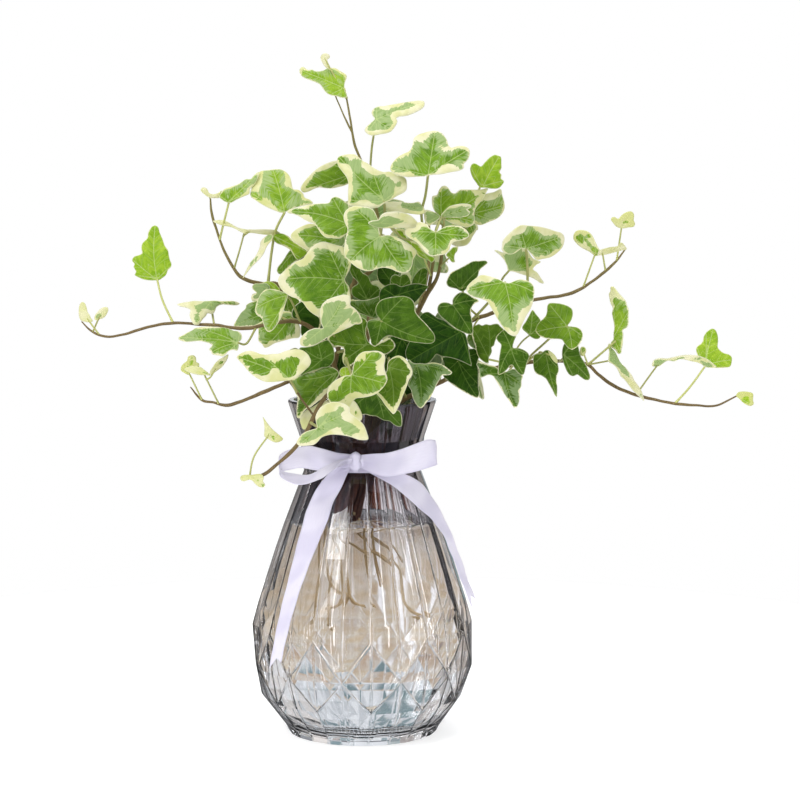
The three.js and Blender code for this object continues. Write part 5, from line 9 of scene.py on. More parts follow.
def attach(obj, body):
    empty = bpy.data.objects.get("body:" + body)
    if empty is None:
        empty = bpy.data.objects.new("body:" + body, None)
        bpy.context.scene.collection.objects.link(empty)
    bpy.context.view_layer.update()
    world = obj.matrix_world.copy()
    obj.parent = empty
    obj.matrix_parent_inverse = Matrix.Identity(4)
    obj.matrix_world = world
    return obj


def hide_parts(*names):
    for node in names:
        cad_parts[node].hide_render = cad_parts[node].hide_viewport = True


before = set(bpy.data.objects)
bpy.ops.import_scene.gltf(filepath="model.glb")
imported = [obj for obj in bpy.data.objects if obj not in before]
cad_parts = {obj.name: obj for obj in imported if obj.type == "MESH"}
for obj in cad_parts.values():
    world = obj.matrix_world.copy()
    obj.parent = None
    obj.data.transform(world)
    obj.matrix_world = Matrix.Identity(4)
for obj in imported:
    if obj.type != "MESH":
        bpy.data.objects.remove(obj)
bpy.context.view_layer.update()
scene = bpy.context.scene
MM = 0.001

# ------------------------------------------------------------------ camera
cam = bpy.data.cameras.new("camera")
cam.lens = 93.42
cam.sensor_width = 36
cam_ob = bpy.data.objects.new("camera", cam)
cam_ob.location = (0.018, -0.99, 0.247)
cam_ob.rotation_euler = (math.radians(90 - 5.05), 0, 0)
scene.collection.objects.link(cam_ob)
scene.camera = cam_ob
scene.view_settings.view_transform = "Standard"

# ------------------------------------------------------------------ tables, millimetres
STEMS = [
 ["fl",[-2.5,-4,144.5,1.3,-4.5,-4.7,151.9,1.3,-7.1,-6.1,159.9,1.3,-10,-7.9,167.4,1.2,-12.9,-10.1,176.2,1.2,-16.4,-13.3,184.5,1.2,-20.5,-17.2,191.7,1.1,-25,-21.8,196.3,1,-30.8,-25.3,198.4,1,-37.5,-27.9,198.3,0.9,-45.3,-27.4,196.8,0.9,-52.1,-25.8,195.3,0.9,-59.7,-23.2,195.3,0.8,-67.9,-19.9,196.4,0.8,-76.4,-17.3,196.6,0.7,-84.4,-15.6,197.2,0.7,-93.2,-15.1,196.7,0.7,-102.8,-15,194.6,0.7,-111.2,-15.9,192,0.6,-120.1,-15.8,190.8,0.6,-126.8,-14.6,193.1,0.5,-132,-12.5,197.7,0.3]],
 ["ul",[-5.1,3,143.8,1.3,-7,3.8,150.7,1.3,-9.8,4.5,159,1.3,-13,5.3,167.1,1.2,-16.5,5.4,174.9,1.2,-20.4,5,182.1,1.2,-24.2,4.1,189.1,1.2,-28,2.7,195.8,1.1,-32.1,1,202,1.1,-36.3,-0.9,207.4,1,-40.4,-2.7,215.1,0.9,-47.4,-4.6,215.3,0.9,-57.1,-7.6,218.5,0.9,-62.5,-8.1,226.1,0.7,-65.8,-8.6,233,0.6,-68.2,-9.1,240.2,0.6,-70.5,-10.2,248.4,0.6,-71.1,-10.6,255.7,0.4]],
 ["ul",[-14.6,5.4,170.9,1.1,-13,3.8,177.7,1.1,-10.7,2,186.6,1,-8.6,-0.7,195.2,1,-6.5,-4.5,204,1,-4.6,-7.9,212.9,1,-2.6,-9.1,221.3,0.9,-1.6,-13.1,229.4,0.7,-1.6,-20.1,236.1,0.6]],
 ["ll",[-6.8,-6,143.8,1.3,-7.7,-6.8,150.6,1.3,-8.5,-8.6,159.6,1.3,-10.3,-10.5,168.2,1.1,-15.3,-10.8,171.4,1,-21.4,-12.5,170.9,1,-26.2,-16.5,170.9,1,-28.9,-22.4,171.1,1,-30.9,-29.1,171.3,1,-33.4,-34.9,171.1,0.9,-40.1,-36.2,168.4,0.9,-47.3,-34.7,165.3,0.9,-54,-31.5,162.3,0.8,-63,-27,159.4,0.8,-69,-23.4,160.4,0.6,-74.8,-20.6,161.3,0.6,-80.4,-18.7,167.3,0.3]],
 ["ll",[-35.4,-33.3,170.7,0.5,-33.6,-35.1,171.1,0.5,-31.4,-43.9,170.3,0.5,-26.1,-50.9,163.6,0.5,-21.4,-47.9,156.7,0.5]],
 ["bl",[-4.7,-14,143.7,1.3,-5.5,-18.2,154.1,1.3,-7.7,-23.4,161.1,1.2,-10.7,-32.7,165.2,1.2,-13.2,-40.7,166.3,1.1,-16.2,-48,164.8,1,-19.5,-51.3,159.8,1,-22.3,-51.5,154,1,-25.9,-51.3,147.2,0.9,-31.6,-51.2,140.3,0.9,-37.8,-50.7,134.8,0.8,-44.3,-49.7,129.7,0.8,-53.7,-48.8,127.3,0.3]],
 ["bl",[-5.5,-18,153.7,0.9,-2.6,-23.9,160.7,0.8,2.3,-31.9,167.9,0.6]],
 ["top",[-0.3,4,142.7,1.4,-0.8,4.7,150.3,1.4,-1.7,5.2,159,1.4,-2.7,5.3,167.2,1.3,-3.6,4.3,176.2,1.3,-4.5,2.1,185.8,1.3,-5.5,0.2,194.5,1.2,-6,-1.9,203.4,1.2,-5.7,-3.8,211.8,1.1,-2.4,-5.8,217.1,1.1,4.4,-8.8,221.5,1.1,8.2,-11.3,227.6,1,9.1,-14.2,235.5,0.9,8.2,-16.9,242.6,0.9,6.8,-18.4,250.7,0.8,4.9,-19.4,258.2,0.8,2.7,-19.9,264.8,0.7,0.3,-20,272,0.6,-3,-19.9,280.1,0.6,-5,-20,291.6,0.5,-6.7,-20,301.4,0.4]],
 ["top",[-4.1,-19.9,285.7,0.5,-7.1,-19,291.6,0.4,-13.2,-16,305.6,0.3]],
 ["cr",[3.1,2,142.9,1.4,4.7,2.8,150.5,1.4,7.3,2.9,159.2,1.4,10.6,2.4,167.5,1.3,14.2,1.4,176,1.3,18,0,184.4,1.3,21.6,-2,191.9,1.2,25,-4.1,198.8,1.2,28,-6,204.8,1.1,30.8,-8.1,210.6,1.1,35.2,-10,217.7,0.9,37.5,-12,228.3,0.8,37.4,-14,236.1,0.7,38.1,-17,242.6,0.6]],
 ["cr",[31.4,-8.4,211.7,0.9,32.6,-10,219.1,0.8,33.5,-12,227.6,0.8,31.1,-16,236.1,0.6,29.2,-21,240.8,0.5]],
 ["ur",[1.8,-6,142.8,1.3,5.7,-5.1,150.5,1.3,10.8,-3.8,158.4,1.3,16.1,-2.2,165,1.2,21.9,-3.6,171.7,1.2,28.2,-5.3,178,1.2,34.2,-7.5,184,1.2,39.9,-10.3,189.4,1.1,45.7,-13.8,194.5,1.1,51.7,-17.8,198.6,1.1,58.8,-21.4,201.3,1,67,-23.3,204.3,0.9,76.2,-22.5,207.3,0.8,85.8,-20.8,209.2,0.8,94.3,-19.1,210.3,0.8,101,-17.4,212.4,0.8,107.4,-15.6,216.2,0.7,114,-14.1,221.1,0.7,119.5,-12.9,226.1,0.6,124.2,-13,232.3,0.3]],
 ["lr",[4.1,-1,142.3,1.3,7.7,-0.4,149.1,1.3,13.5,0.4,155.6,1.3,20.9,1,160.4,1.2,28,0.5,163.6,1.2,35.9,-0.4,167.5,1.1,43.7,-1.4,171,1.1,51.9,-2.8,173,1.1,61.5,-4.8,174.9,1.1,71.2,-6.8,176.8,1,78.4,-9.5,178.2,1,85.5,-11.8,179,0.9,92.5,-13.7,179.2,0.9,99.8,-15.6,178.8,0.8,106,-17.6,177.8,0.8,111.5,-17.5,172.8,0.8,118.6,-17.4,167.7,0.8,128.5,-17.3,163.6,0.8,138.2,-16.6,161.1,0.7,147.9,-15.1,159.1,0.7,158.1,-14.9,158.3,0.6,166.8,-14.8,158.1,0.5,176.9,-14.7,162.8,0.4]],
 ["b1",[-4.3,10,142.1,1.3,-5.1,12.7,150.5,1.3,-6.5,14.5,159.9,1.3,-8.2,15,168.5,1.2,-10.4,17.4,176.9,1.2,-13,21.7,185.2,1.1,-15.4,25.5,193.5,1.1,-17.5,28.8,201.9,1,-19.1,31.5,210.4,1,-20.1,33.7,218.9,0.9,-20.6,35.2,227.6,0.9,-20.6,35.9,236.4,0.8,-19.8,35.7,245.3,0.6,-18.4,34.6,252.7,0.5]],
 ["b1",[-9.5,16.4,173.9,0.9,-13.5,29,173.8,0.9,-18.7,36,175.2,0.8,-26.6,36,175.2,0.7,-32.9,43.2,170.7,0.5]],
 ["b2",[4,10,142.1,1.3,5.7,11.9,148,1.3,8.3,14,155.8,1.3,11.5,14.6,163.7,1.3,15.1,15.8,171.8,1.2,17.9,18.9,178.2,1.2,20.6,22.8,184.6,1.1,23.5,26.3,191.8,1.1,26.5,29.5,199.6,1,29,32.4,207.9,1,31.1,35,216.6,0.9,32.4,36.9,225.9,0.8,32.8,37.4,235.5,0.7,31.8,36,247.8,0.5]],
 ["b2",[15.8,16.4,173.3,0.9,19,28,171.7,0.9,24.4,35.6,172.1,0.8,32.6,38.3,171.4,0.8,41.1,39.5,169,0.6,46,44.6,166.6,0.5]],
 ["b3",[-0.5,14,141.7,1.3,-0.4,17.2,147.6,1.3,-0.1,22,155.6,1.3,0.4,26.5,162,1.3,0.9,31.6,168.9,1.2,1.4,36.9,175.9,1.2,1.7,42.4,183.1,1.1,2,47.5,190.5,1.1,2.3,51.9,197.8,1.1,2.6,55.5,205.3,1,3.2,58.2,213.1,1,4,60,221.4,0.9,4.9,60.8,229.2,0.8,6.9,58.9,244.3,0.6]],
]
# name, sort, vine, own piece, base point, midrib direction, facing direction, tip, cupping, lobe tips, outline, petiole
LEAVES = [
 ["1","Y","top",1,[-7.92,-20,306.28],[-0.9013,0.1217,0.4157],[0.084,-0.8924,0.4434],[22.6,0],[-0.0004,-0.0037,-0.0008,-0.0029],[4.1,-7.5,4.2,6.3],[-3.3,3.6,-1.1,1.2,0.7,-2,1.7,-6.4,5.1,-7.3,8.4,-7.8,11.3,-6.3,12.8,-4,15.6,-2.4,17.9,-2.5,19.2,-1.5,22.1,-2,22.9,-0.5,22.2,1.3,19.7,2.9,15.4,3.1,10.7,3.3,7.8,5.1,5.2,6.2,2.7,6.1,0.9,5.5,-1,5.2],[-7.9,-20,306.3,0.5,-6.7,-20,301.4,0.5]],
 ["2","C","top",0,[-15.17,-17,315.65],[-0.2964,0.1036,0.9494],[0.145,-0.9777,0.152],[6.9,0],[-0.2903,-0.0079,-0.0012,-0.0058],[],[-0.1,-0.7,2.6,-0.6,4,-0.7,4.5,-2,5.8,-2.4,7,-1,7,0.9,5.9,2,3.6,2,1.2,1.3,0.1,0.7],[-17.1,-16.2,320.3,0.4,-6.7,-20,301.4,0.4]],
 ["3","P","top",1,[7.22,-30,291.12],[0.8703,0.2917,0.3969],[-0.0579,-0.7396,0.6705],[25.3,0],[-0.0558,-0.0032,0.0013,-0.0018],[4.5,7.7,-6.5,-3.7,3.2,-8.8],[-0.6,0.8,-0.2,3,0.7,6.1,2.4,7.5,4.7,7.6,7.3,6.2,11.2,5.4,15.8,4.2,20.3,2.9,23.5,2.1,25.3,0.6,24.3,-1.7,21.5,-3.4,16.2,-4.4,13.1,-4.3,10,-3.2,8.6,-3.4,7.9,-5.5,5.3,-7.9,2.2,-9.2,-2.3,-8.4,-6.4,-7.3,-7.5,-5.5,-7.7,-2.6,-6.1,-1.1,-3.3,-0.3],[7.2,-30,291.1,0.5,4.9,-22,278.2,0.5,3.8,-19.7,261.5,0.5]],
 ["4","V","cr",1,[30.61,-50,265.41],[0.1334,0.4987,0.8565],[-0.0113,-0.8634,0.5045],[25,0],[0.0873,-0.0031,0.0005,-0.0051],[2.8,17.2,16.2,-16.2,5.3,-14.8],[0.3,-1.3,1.1,-5.3,2.7,-9.6,4.3,-14,6.1,-15.6,8.1,-15.3,10.9,-16.8,14.4,-17.3,16.8,-16.6,18,-14.6,17.6,-11.5,16.3,-8.4,17.6,-7.1,20.4,-6.1,22.8,-4.6,24.5,-2.8,25.1,-0.5,24.5,2.2,22.9,4.8,21.3,7.3,19.3,8.9,17,9.1,13.8,9.3,11.5,10.3,9.8,12.7,8.1,14.7,5.6,16.4,2.6,17.4,0.5,17.1,-1.2,15.3,-2.2,12.4,-2.1,8.8,-1.3,5.3,-0.6,1.3],[30.6,-50,265.4,0.6,29.6,-39.5,256.7,0.6,27.9,-29,248.3,0.6,29.1,-20.3,240.6,0.6,33.5,-12,227.6,0.6]],
 ["5","V","top",1,[10.76,-46,254.1],[-0.6619,0.3474,0.6642],[-0.1442,-0.9286,0.342],[32.8,0],[0.1127,-0.0034,-0.0006,-0.0045],[12,11.4,-1.4,-12.4,15.8,-6.7],[-1.2,-0.2,-2.1,-2.5,-2.7,-5.7,-3.6,-8.6,-3.6,-10.6,-1.7,-12.7,0.6,-14.1,3.3,-13.5,6.2,-12.5,8.7,-11,10.5,-9.1,12.9,-7.9,15.9,-7.2,19,-7,21.8,-6.3,24.2,-6.2,26.7,-5.9,29,-4.3,31.3,-1.9,32.4,0.2,31.3,2,28.6,3.3,25,3.9,20.8,4.6,18,6.1,15,8.8,12,11.4,10,13.1,8.2,11.7,5.3,9.3,1.7,6.9,-0.5,4.1,-0.8,1.6],[10.8,-46,254.1,0.6,10.9,-36,248.6,0.6,8.8,-15.7,239.1,0.6]],
 ["6","V","top",1,[-3.7,-26,267.03],[-0.9284,-0.0789,-0.3631],[0.2068,-0.9216,-0.3285],[24.9,0],[-0.1293,-0.0061,-0.0002,-0.0069],[9.6,-8.4,10.9,3.6],[-1.2,1,-1.8,-2.2,-0.1,-5.6,2.6,-7.4,5.3,-8.1,8.6,-8.4,12.4,-8.1,16.4,-6.8,20.9,-4.5,23.9,-2.2,25.2,-0.3,24.4,1.5,22.1,1.7,19.6,1.2,16.9,1.2,14.5,2.5,11.9,3.6,8.7,4.2,5.4,4.6,1.7,3.7],[-3.7,-26,267,0.5,3.8,-19.7,261.5,0.5]],
 ["7","Y2","ul",1,[-35.58,-22.15,248.92],[-0.2521,0.4539,0.8546],[-0.0337,-0.8867,0.461],[24.3,0],[0.0899,-0.0034,-0.0002,-0.0053],[14.4,12.8,1.8,-13.1,6,9.4],[0.3,-1.2,0.8,-4.2,0.8,-7.6,0.8,-11.4,1,-13.9,3.1,-12.9,5.1,-10.8,7,-10.7,9.6,-9.2,10.8,-6.8,13.4,-6.7,17.5,-6.9,20.6,-6,23.2,-3.9,24.5,-1,24.9,2.3,25.1,5.9,23.4,8.4,19.5,10.6,16,12.4,12.9,13.4,9.6,11.4,5.6,8,2.3,4.5,0.2,1.4],[-35.6,-22.1,248.9,0.6,-40,-15.8,240.9,0.6,-42.4,-9.4,230.9,0.6,-44.6,-3.8,215.4,0.6]],
 ["8","Y","ul",0,[-62.02,-19.85,253.56],[0.651,0.3027,0.6961],[0.0046,-0.9186,0.3951],[21.2,0],[0.0007,-0.0039,0.0011,-0.0041],[-0.2,4.9,9,-3.7],[-0.5,0.8,-0.8,3.1,-0.7,5,1.4,5.7,3.9,6,6.5,4.6,10,2.8,12.3,2.3,14.5,1.9,15.9,0.4,18.4,0.4,20.5,0.4,21.5,0,18.8,-1.8,15.4,-2.9,11.9,-3,10,-4.4,7.2,-3.5,3.3,-2.1,0.6,-1.1],[-61.3,-19.3,254.9,0.5,-67,-8.8,236.2,0.5]],
 ["9","Y","cr",0,[56.19,-24,260.63],[0.4617,0.3785,0.8023],[0.3321,-0.9124,0.2394],[18.8,0],[0.1327,-0.004,-0.0011,-0.0053],[4.4,9.2,8.3,-7.2],[-0.8,1.1,0,3.9,0.8,6.1,2.3,8.1,4.2,9.5,6.4,9.7,7.4,9,7.8,7.6,8.1,5.5,11.2,4.7,14.9,3.7,17.4,2.3,18.2,0.6,18.5,-0.8,15.8,-2.4,13.5,-3.5,11,-3.7,10.4,-5,8.7,-5.6,8.4,-7.4,6.5,-7.6,4,-6.9,1.8,-4.2,0.6,-1.6],[56.1,-23.8,262.1,0.5,50,-20.1,252.3,0.5,37.4,-14.1,236.2,0.5]],
 ["10","Y2","cr",1,[37.12,-30,246.79],[0.8525,0.2192,0.4745],[0.3689,-0.8955,-0.2491],[25.5,0],[0.0819,-0.0039,-0.0014,-0.0036],[5.7,13.1,13.4,-10.3],[-1.2,1.7,-2,4.4,-2,7.2,-1.1,10,-0.1,11.5,2,10.9,3.8,12.5,5.8,13.3,7.5,12.7,8.4,11,8.8,8.6,10.4,7.1,13.3,7.2,16.1,5.6,19.8,3.4,23.1,1.4,26.6,-0.2,24.9,-1.5,22.9,-2.7,20.3,-3.6,17.7,-4.4,15.6,-6.1,14.5,-8.7,13.6,-10.7,11.8,-11.3,8.8,-10.4,6.4,-8.4,3.3,-5.3,1.3,-2.5],[37.1,-30,246.8,0.5,34.5,-22,239.8,0.5,37.5,-13,232.6,0.5]],
 ["11","V","cr",0,[52.04,-18,248.65],[0.9733,-0.0879,0.2119],[-0.0116,-0.9415,-0.3369],[14.8,0],[-0.1283,-0.0079,-0.0005,-0.0077],[9.6,6.7,7.8,-5.9],[-1,-2.4,-0.4,2.5,2.7,5.6,5.9,7.1,8.8,7.2,11.6,7,15,7.5,15.1,4.7,15.3,1.3,14.7,-1.8,13,-4.2,10.2,-5.8,6.3,-6.5,1.8,-7,-0.3,-5.6],[53.1,-18,248.7,0.5,46.2,-12.1,241.6,0.5,37.5,-13,232.6,0.5]],
 ["11b","V","cr",0,[50.76,-15,243.53],[-0.4954,0.297,-0.8163],[-0.3834,-0.918,-0.1014],[12.8,0],[-0.0007,-0.0065,-0.0015,-0.0071],[3.7,4.6,7.3,-3.8],[-0.2,-1.3,-1.7,1.2,-1.2,3.7,1.3,4.3,4,4.2,6.7,4.4,9.4,3.9,11.8,1.8,13.4,-0.8,13.5,-3.2,10.2,-4.5,5.8,-4.2,2,-2.9],[50.6,-14.9,242.8,0.4,43.8,-12,238.4,0.4,37.5,-13,232.6,0.4]],
 ["12","P","cr",0,[36.96,-38,247.07],[0.9474,-0.1628,0.2757],[0.0566,-0.7623,-0.6448],[14.5,0],[-0.0011,-0.0054,0.0006,-0.0026],[5.8,3.9,10.4,-4.4],[0,0.6,1.9,2.3,4.9,4,7.8,4,11.3,3.1,14.4,0.5,14.1,-0.7,12.2,-1.2,12.8,-3,11.4,-4.6,9,-4.3,5.6,-2.9,2.2,-1.3,0.2,-0.8],[39,-38.7,248.2,0.4,38.1,-17,242.6,0.4]],
 ["12b","P","cr",0,[35.73,-33,246.79],[-0.9251,0.1164,0.3614],[0.1637,-0.7365,0.6563],[7.4,0],[-0.0546,-0.0031,-0.0006,-0.0019],[3.4,4.9],[-0.5,-0.6,1.8,-1.6,4.4,-1.9,6.8,-1.6,7.7,-0.4,6.5,1.9,4.9,5,2.3,6.7,0.8,4,-0.5,1.3],[34.5,-33.2,246.8,0.4,38.1,-17,242.6,0.4]],
 ["13","V","ul",1,[-5.16,-44,243.4],[-0.9626,0.1195,0.2432],[-0.0399,-0.9502,0.309],[29.3,0],[0.1166,-0.0047,-0.001,-0.0052],[10.5,-10.2,6.8,7.6],[-1.5,-1.6,-0.7,-5.2,0.7,-7.7,3,-9.1,5.8,-10.4,7.8,-11,9.7,-11,11.2,-9.8,11.7,-7.8,15.6,-6.4,20,-5,24.3,-3.1,27.4,-1.7,29.8,0,28.9,0.7,26.4,0.8,23.5,1.4,20.8,2.4,18.2,3,15.4,3.5,13.5,5.1,11,7.4,8.6,8.6,5.6,8.3,2.1,7.5,0.7,5.9,-0.8,3.4],[-5.2,-44,243.4,0.6,-2.6,-31,239.1,0.6,-1.3,-18.4,232.5,0.6,-2,-10.8,225.5,0.6]],
 ["14","V","top",1,[9.06,-58.96,238.2],[-0.7682,-0.2029,-0.6073],[0.0797,-0.9714,0.2237],[17.2,0],[0.0832,-0.0083,0.0001,-0.0082],[0.7,-17.4,1.5,18.9,-8.3,15.2],[-0.6,0,-3.2,1.8,-5.4,4.7,-6.9,7.8,-8.2,11.2,-8.8,14.1,-8.2,16,-5.4,17.2,-2.9,19.2,-0.2,20.2,2.3,19.2,4.1,17.1,5.5,14.5,7.6,12,9.9,10.7,12.6,9.7,14.6,8.1,16.3,5.2,17.2,2.1,17.6,-0.9,17.5,-3.4,15.9,-5.8,13.6,-8,11.2,-10,9.1,-11.8,8.2,-14.6,6.9,-17.2,4.8,-18.7,2.4,-18.8,-0.3,-17.9,-2.8,-15.3,-4.8,-12.8,-5.3,-10.6,-4.7,-8.1,-3.9,-5.8,-1.7,-2.8],[9.1,-59,238.2,0.6,8.9,-50.7,245.3,0.6,8.8,-37.2,245.8,0.6,8.2,-16.9,242.6,0.6]],
 ["15","P","cr",0,[9.32,-62.34,244.36],[0.9608,0.2634,-0.086],[0.0993,-0.6168,-0.7808],[17.5,0],[-0.0397,-0.0034,-0.0017,-0.0017],[5.4,6.9,-5.4,-1.3],[-1.3,1.8,-1,4.3,0.4,6.4,2.9,7.5,6,8.1,9.5,7.1,12.8,5.2,16,2.3,17.6,0,17.6,-1.9,14.5,-2.7,9.8,-2.9,5.4,-3.8,1.3,-4,-2.7,-2.8,-5.4,-1.3,-4.3,0.6],[9.1,-62.4,244.4,0.5,11.7,-54.7,242.8,0.5,15.1,-45.5,241.4,0.5,19.1,-34.2,237.1,0.5,31.1,-16,236.1,0.5]],
 ["15b","V","cr",0,[27.15,-36,250.9],[-0.9272,0.3536,0.1236],[-0.0832,-0.5162,0.8524],[16.9,0],[-0.0292,-0.0028,-0.0021,-0.001],[5.8,5.3],[-3.4,3.8,-2.1,0,0.4,-3.1,2.5,-5.1,5.3,-3.5,10.2,-3.2,15.2,-3.2,17.9,-2.1,16.8,0.8,14.5,3.6,11.5,4.9,7.9,5,3.9,5.3,0.4,5.4,-1.9,5],[26.9,-36,250.9,0.4,29.2,-21,240.8,0.4]],
 ["16","P","cr",1,[33.81,-62.71,239.79],[-0.0245,-0.4573,-0.889],[0.0089,-0.8893,0.4573],[11,0],[-0.1144,-0.0076,-0.0003,-0.0098],[-1.1,-13.1,-0.7,14.6,-5.1,-8.3,-4.3,10],[-0.6,0.2,-2.2,2.4,-4,5.1,-4.6,7.8,-4.8,10.9,-4.1,12.8,-2.9,14.4,-1,15.1,0.9,13.7,2.3,11,3.5,8.3,5.6,6.8,7.4,6.4,9.7,4.4,10.7,1.3,11.1,-1.3,10,-3.6,7.5,-5.6,4.7,-7.6,2.9,-9.9,1.6,-11.7,-0.7,-13.5,-3.2,-13.2,-3.5,-11.4,-3.3,-9,-5.4,-8.7,-5.9,-7,-4.6,-4.3,-1.7,-2],[33.8,-62.7,239.8,0.5,36.8,-46.5,246.3,0.5,38.3,-28.2,243.6,0.5,37.4,-14.1,236.2,0.5]],
 ["17","V2","ul",0,[-10.99,-32,235.79],[-0.9871,0.0679,0.1451],[-0.0079,-0.9251,0.3797],[21.9,0],[-0.0889,-0.005,-0.0007,-0.0042],[14.4,-6.7,12.5,6.4],[-3.8,0.3,-2.7,-3.1,0.3,-4.6,4.2,-5.1,8.1,-6.1,12.1,-7.3,14.4,-7.1,17.4,-5.5,20.3,-3.2,21.9,-0.6,21.1,1.7,18.2,3.6,15.1,5.1,12,6.5,8,5.4,2.5,4.7,-1.9,3.1],[-10.8,-32,235.8,0.5,-8.5,-22.1,230.8,0.5,-2,-10.8,225.5,0.5]],
 ["18","V","ul",1,[-7.62,-46,218.16],[-0.9997,0.004,0.0227],[-0.0007,-0.9896,0.1438],[29.9,0],[0.1016,-0.0054,-0.0002,-0.0055],[8.4,-16.9,11.2,16,-1.8,9,-1.8,-8.3],[-0.6,-0.4,-1.7,-2.9,-2.8,-5.4,-3.3,-8.4,-1.7,-12,0.2,-15,3.4,-15.9,6.6,-16.9,9.8,-17.5,12.5,-16.6,15.2,-14.5,17,-12.2,18.8,-9.7,21.9,-8.3,25.1,-5.9,27.8,-3.6,29.7,-1.4,30.1,0.9,28.6,4,26.2,6.3,23.4,7.9,20.6,8.8,18.2,10.6,15.9,13.6,13.1,15.8,10.3,16.9,7.6,14.9,4.5,11.9,1.4,10.7,-1.8,10.8,-3.3,8,-2.9,5.3,-2.5,2.8,-1.1,1.2],[-7.6,-46,218.2,0.6,-5.3,-32.6,213.1,0.6,-5.5,-17.7,210,0.6,-5.7,-6,207.5,0.6]],
 ["19","P2","ul",1,[-15.73,-62,198.05],[0.9889,0.1226,0.0836],[0.1428,-0.939,-0.3129],[16.9,0],[-0.0819,-0.0067,-0.0004,-0.007],[9.7,12.6,-9.6,-7.8],[-0.8,-0.7,-1.5,1.7,-1.6,4.5,-1.5,7.2,-0.5,9.8,1.5,11.5,4.3,12.5,7,12.9,10.2,13.1,12.4,11.9,12.6,10.4,12.3,8.3,13.9,6.7,15.6,4.6,16.8,2.1,17.2,-0.3,15.7,-1,13.8,-0.8,12,-1.7,9.6,-2.5,5.9,-3.8,2.2,-5.1,-1.5,-7.3,-5.1,-9.1,-8.7,-9.7,-11.1,-8.7,-11.3,-6.1,-9.8,-3.6,-7.1,-1.5,-3.9,-0.5,-2.1,-0.8],[-15.7,-62,198.1,0.5,-13.7,-45.7,194.4,0.5,-11.3,-31.4,190.8,0.5,-9.2,-21.4,187.9,0.5,-7.4,-11.3,184.3,0.5,-11.9,3,182.1,0.5]],
 ["20","G","cr",1,[9.71,-60,200.45],[0.9183,-0.0982,-0.3835],[-0.1675,-0.9741,-0.1516],[25.2,0],[0.0971,-0.0057,-0.0003,-0.005],[5.5,14.2,1.8,-11.4,-5,-2.7],[-0.8,0.2,-3.1,1.6,-4.5,4.2,-4.4,7,-3.3,9.2,-1.1,11.1,2.1,13,5.3,14.6,8.1,14.8,10.1,13.9,11.5,12.2,12.8,9.8,15.3,8.1,18.2,6.6,21.4,4.8,23.6,3.4,25,1.5,25.2,-0.5,23.8,-1.8,19.6,-3,15.3,-4,11.7,-4.4,8.3,-4.5,5.6,-4.9,3.9,-6.8,2.7,-9.8,1.6,-12.1,-0.3,-11.6,-1.9,-9.3,-4.1,-6.3,-5.6,-4.3,-5.5,-2.2,-3.5,-0.9],[9.7,-60,200.4,0.6,12,-47.6,197.3,0.6,14.6,-33.5,193.5,0.6,17.1,-22.2,189.9,0.6,18.4,-11.1,186.7,0.6,18.1,-0.1,184.7,0.6]],
 ["21","V","fl",1,[-33.57,-42,211.06],[-0.5025,-0.1932,-0.8427],[-0.1601,-0.9371,0.3102],[18.7,0],[-0.0893,-0.0052,0.0003,-0.004],[11.6,-10.5,7.1,2],[-0.6,0.2,-0.6,-2.9,-0.1,-6.3,0.9,-9.1,2.3,-11,4.8,-11.8,7.5,-11.8,10.3,-11.2,13,-10.2,14.2,-8.3,14.4,-5.9,15.7,-4,17.4,-2.2,18.4,-0.7,18.4,0.9,16.8,2.1,13.9,2.7,10.3,2.8,7,2.2,3.3,1.2],[-33.6,-42,211.1,0.5,-31.8,-33.4,207.8,0.5,-28.4,-24,197.8,0.5]],
 ["22","D","ur",1,[41.99,-50,207.11],[0.5571,-0.1023,-0.8241],[0.0294,-0.9893,0.1428],[15.6,0],[0.1033,-0.008,0.0002,-0.0079],[-2.8,-5.8,4.2,10.3,-2.5,6],[-0.4,-0.1,-2,1.1,-2.9,3,-3,5.8,-1.2,7.9,1.8,9.2,4.3,10.8,5.2,10.7,4.9,8.7,5.7,6.3,7.5,4.8,10.4,3.4,13.6,1.8,15.5,0.6,15.6,-0.5,13.5,-2.5,10.7,-4.4,7.7,-5.7,4.3,-6.7,1.3,-7.6,-1.6,-7.4,-3.4,-5.9,-3.8,-4,-3,-2.3,-1.8,-1],[42,-50,207.1,0.5,46.6,-33.9,201.4,0.5,51.9,-17.9,198.7,0.5]],
 ["22c","D2","ur",0,[51.41,-20.98,192.56],[0.5729,-0.0967,-0.8139],[0.1079,-0.9755,0.1918],[10.4,0],[0.0001,-0.0085,0.0001,-0.0081],[1.6,-3.1,4.3,4.3],[-0.8,-0.3,-1.5,1.9,-0.2,3.3,1.7,4.3,3.9,4.9,6.7,2.9,9.7,0.6,9.8,-1.3,7.5,-2.6,4.4,-3.9,1.7,-3.7,0,-2.5],[52,-21,191.9,0.4,52.6,-21,196.1,0.4,55.2,-19.7,200,0.4]],
 ["23","D","ur",0,[45.15,-42,214.07],[0.708,0.2528,0.6594],[0.2453,-0.9636,0.106],[18.7,0],[0.0961,-0.0057,-0.0009,-0.0062],[-0.4,7,6.7,-2.9],[-0.5,-0.5,-0.9,0.8,-2.6,3.2,-3.2,4.7,-2.8,6.2,-0.5,7.6,2,8.2,4.6,7.5,7.8,6.5,11.1,5.7,13.7,4.9,16.5,2.7,18.8,0.8,18.8,-0.4,16.8,-0.5,14.3,-0.2,12.4,-0.6,10.7,-1.6,8.3,-2,4.9,-2,2.1,-2.2,0.4,-2],[46.1,-41.7,214.7,0.5,50,-27.1,205,0.5,55.2,-19.7,200,0.5]],
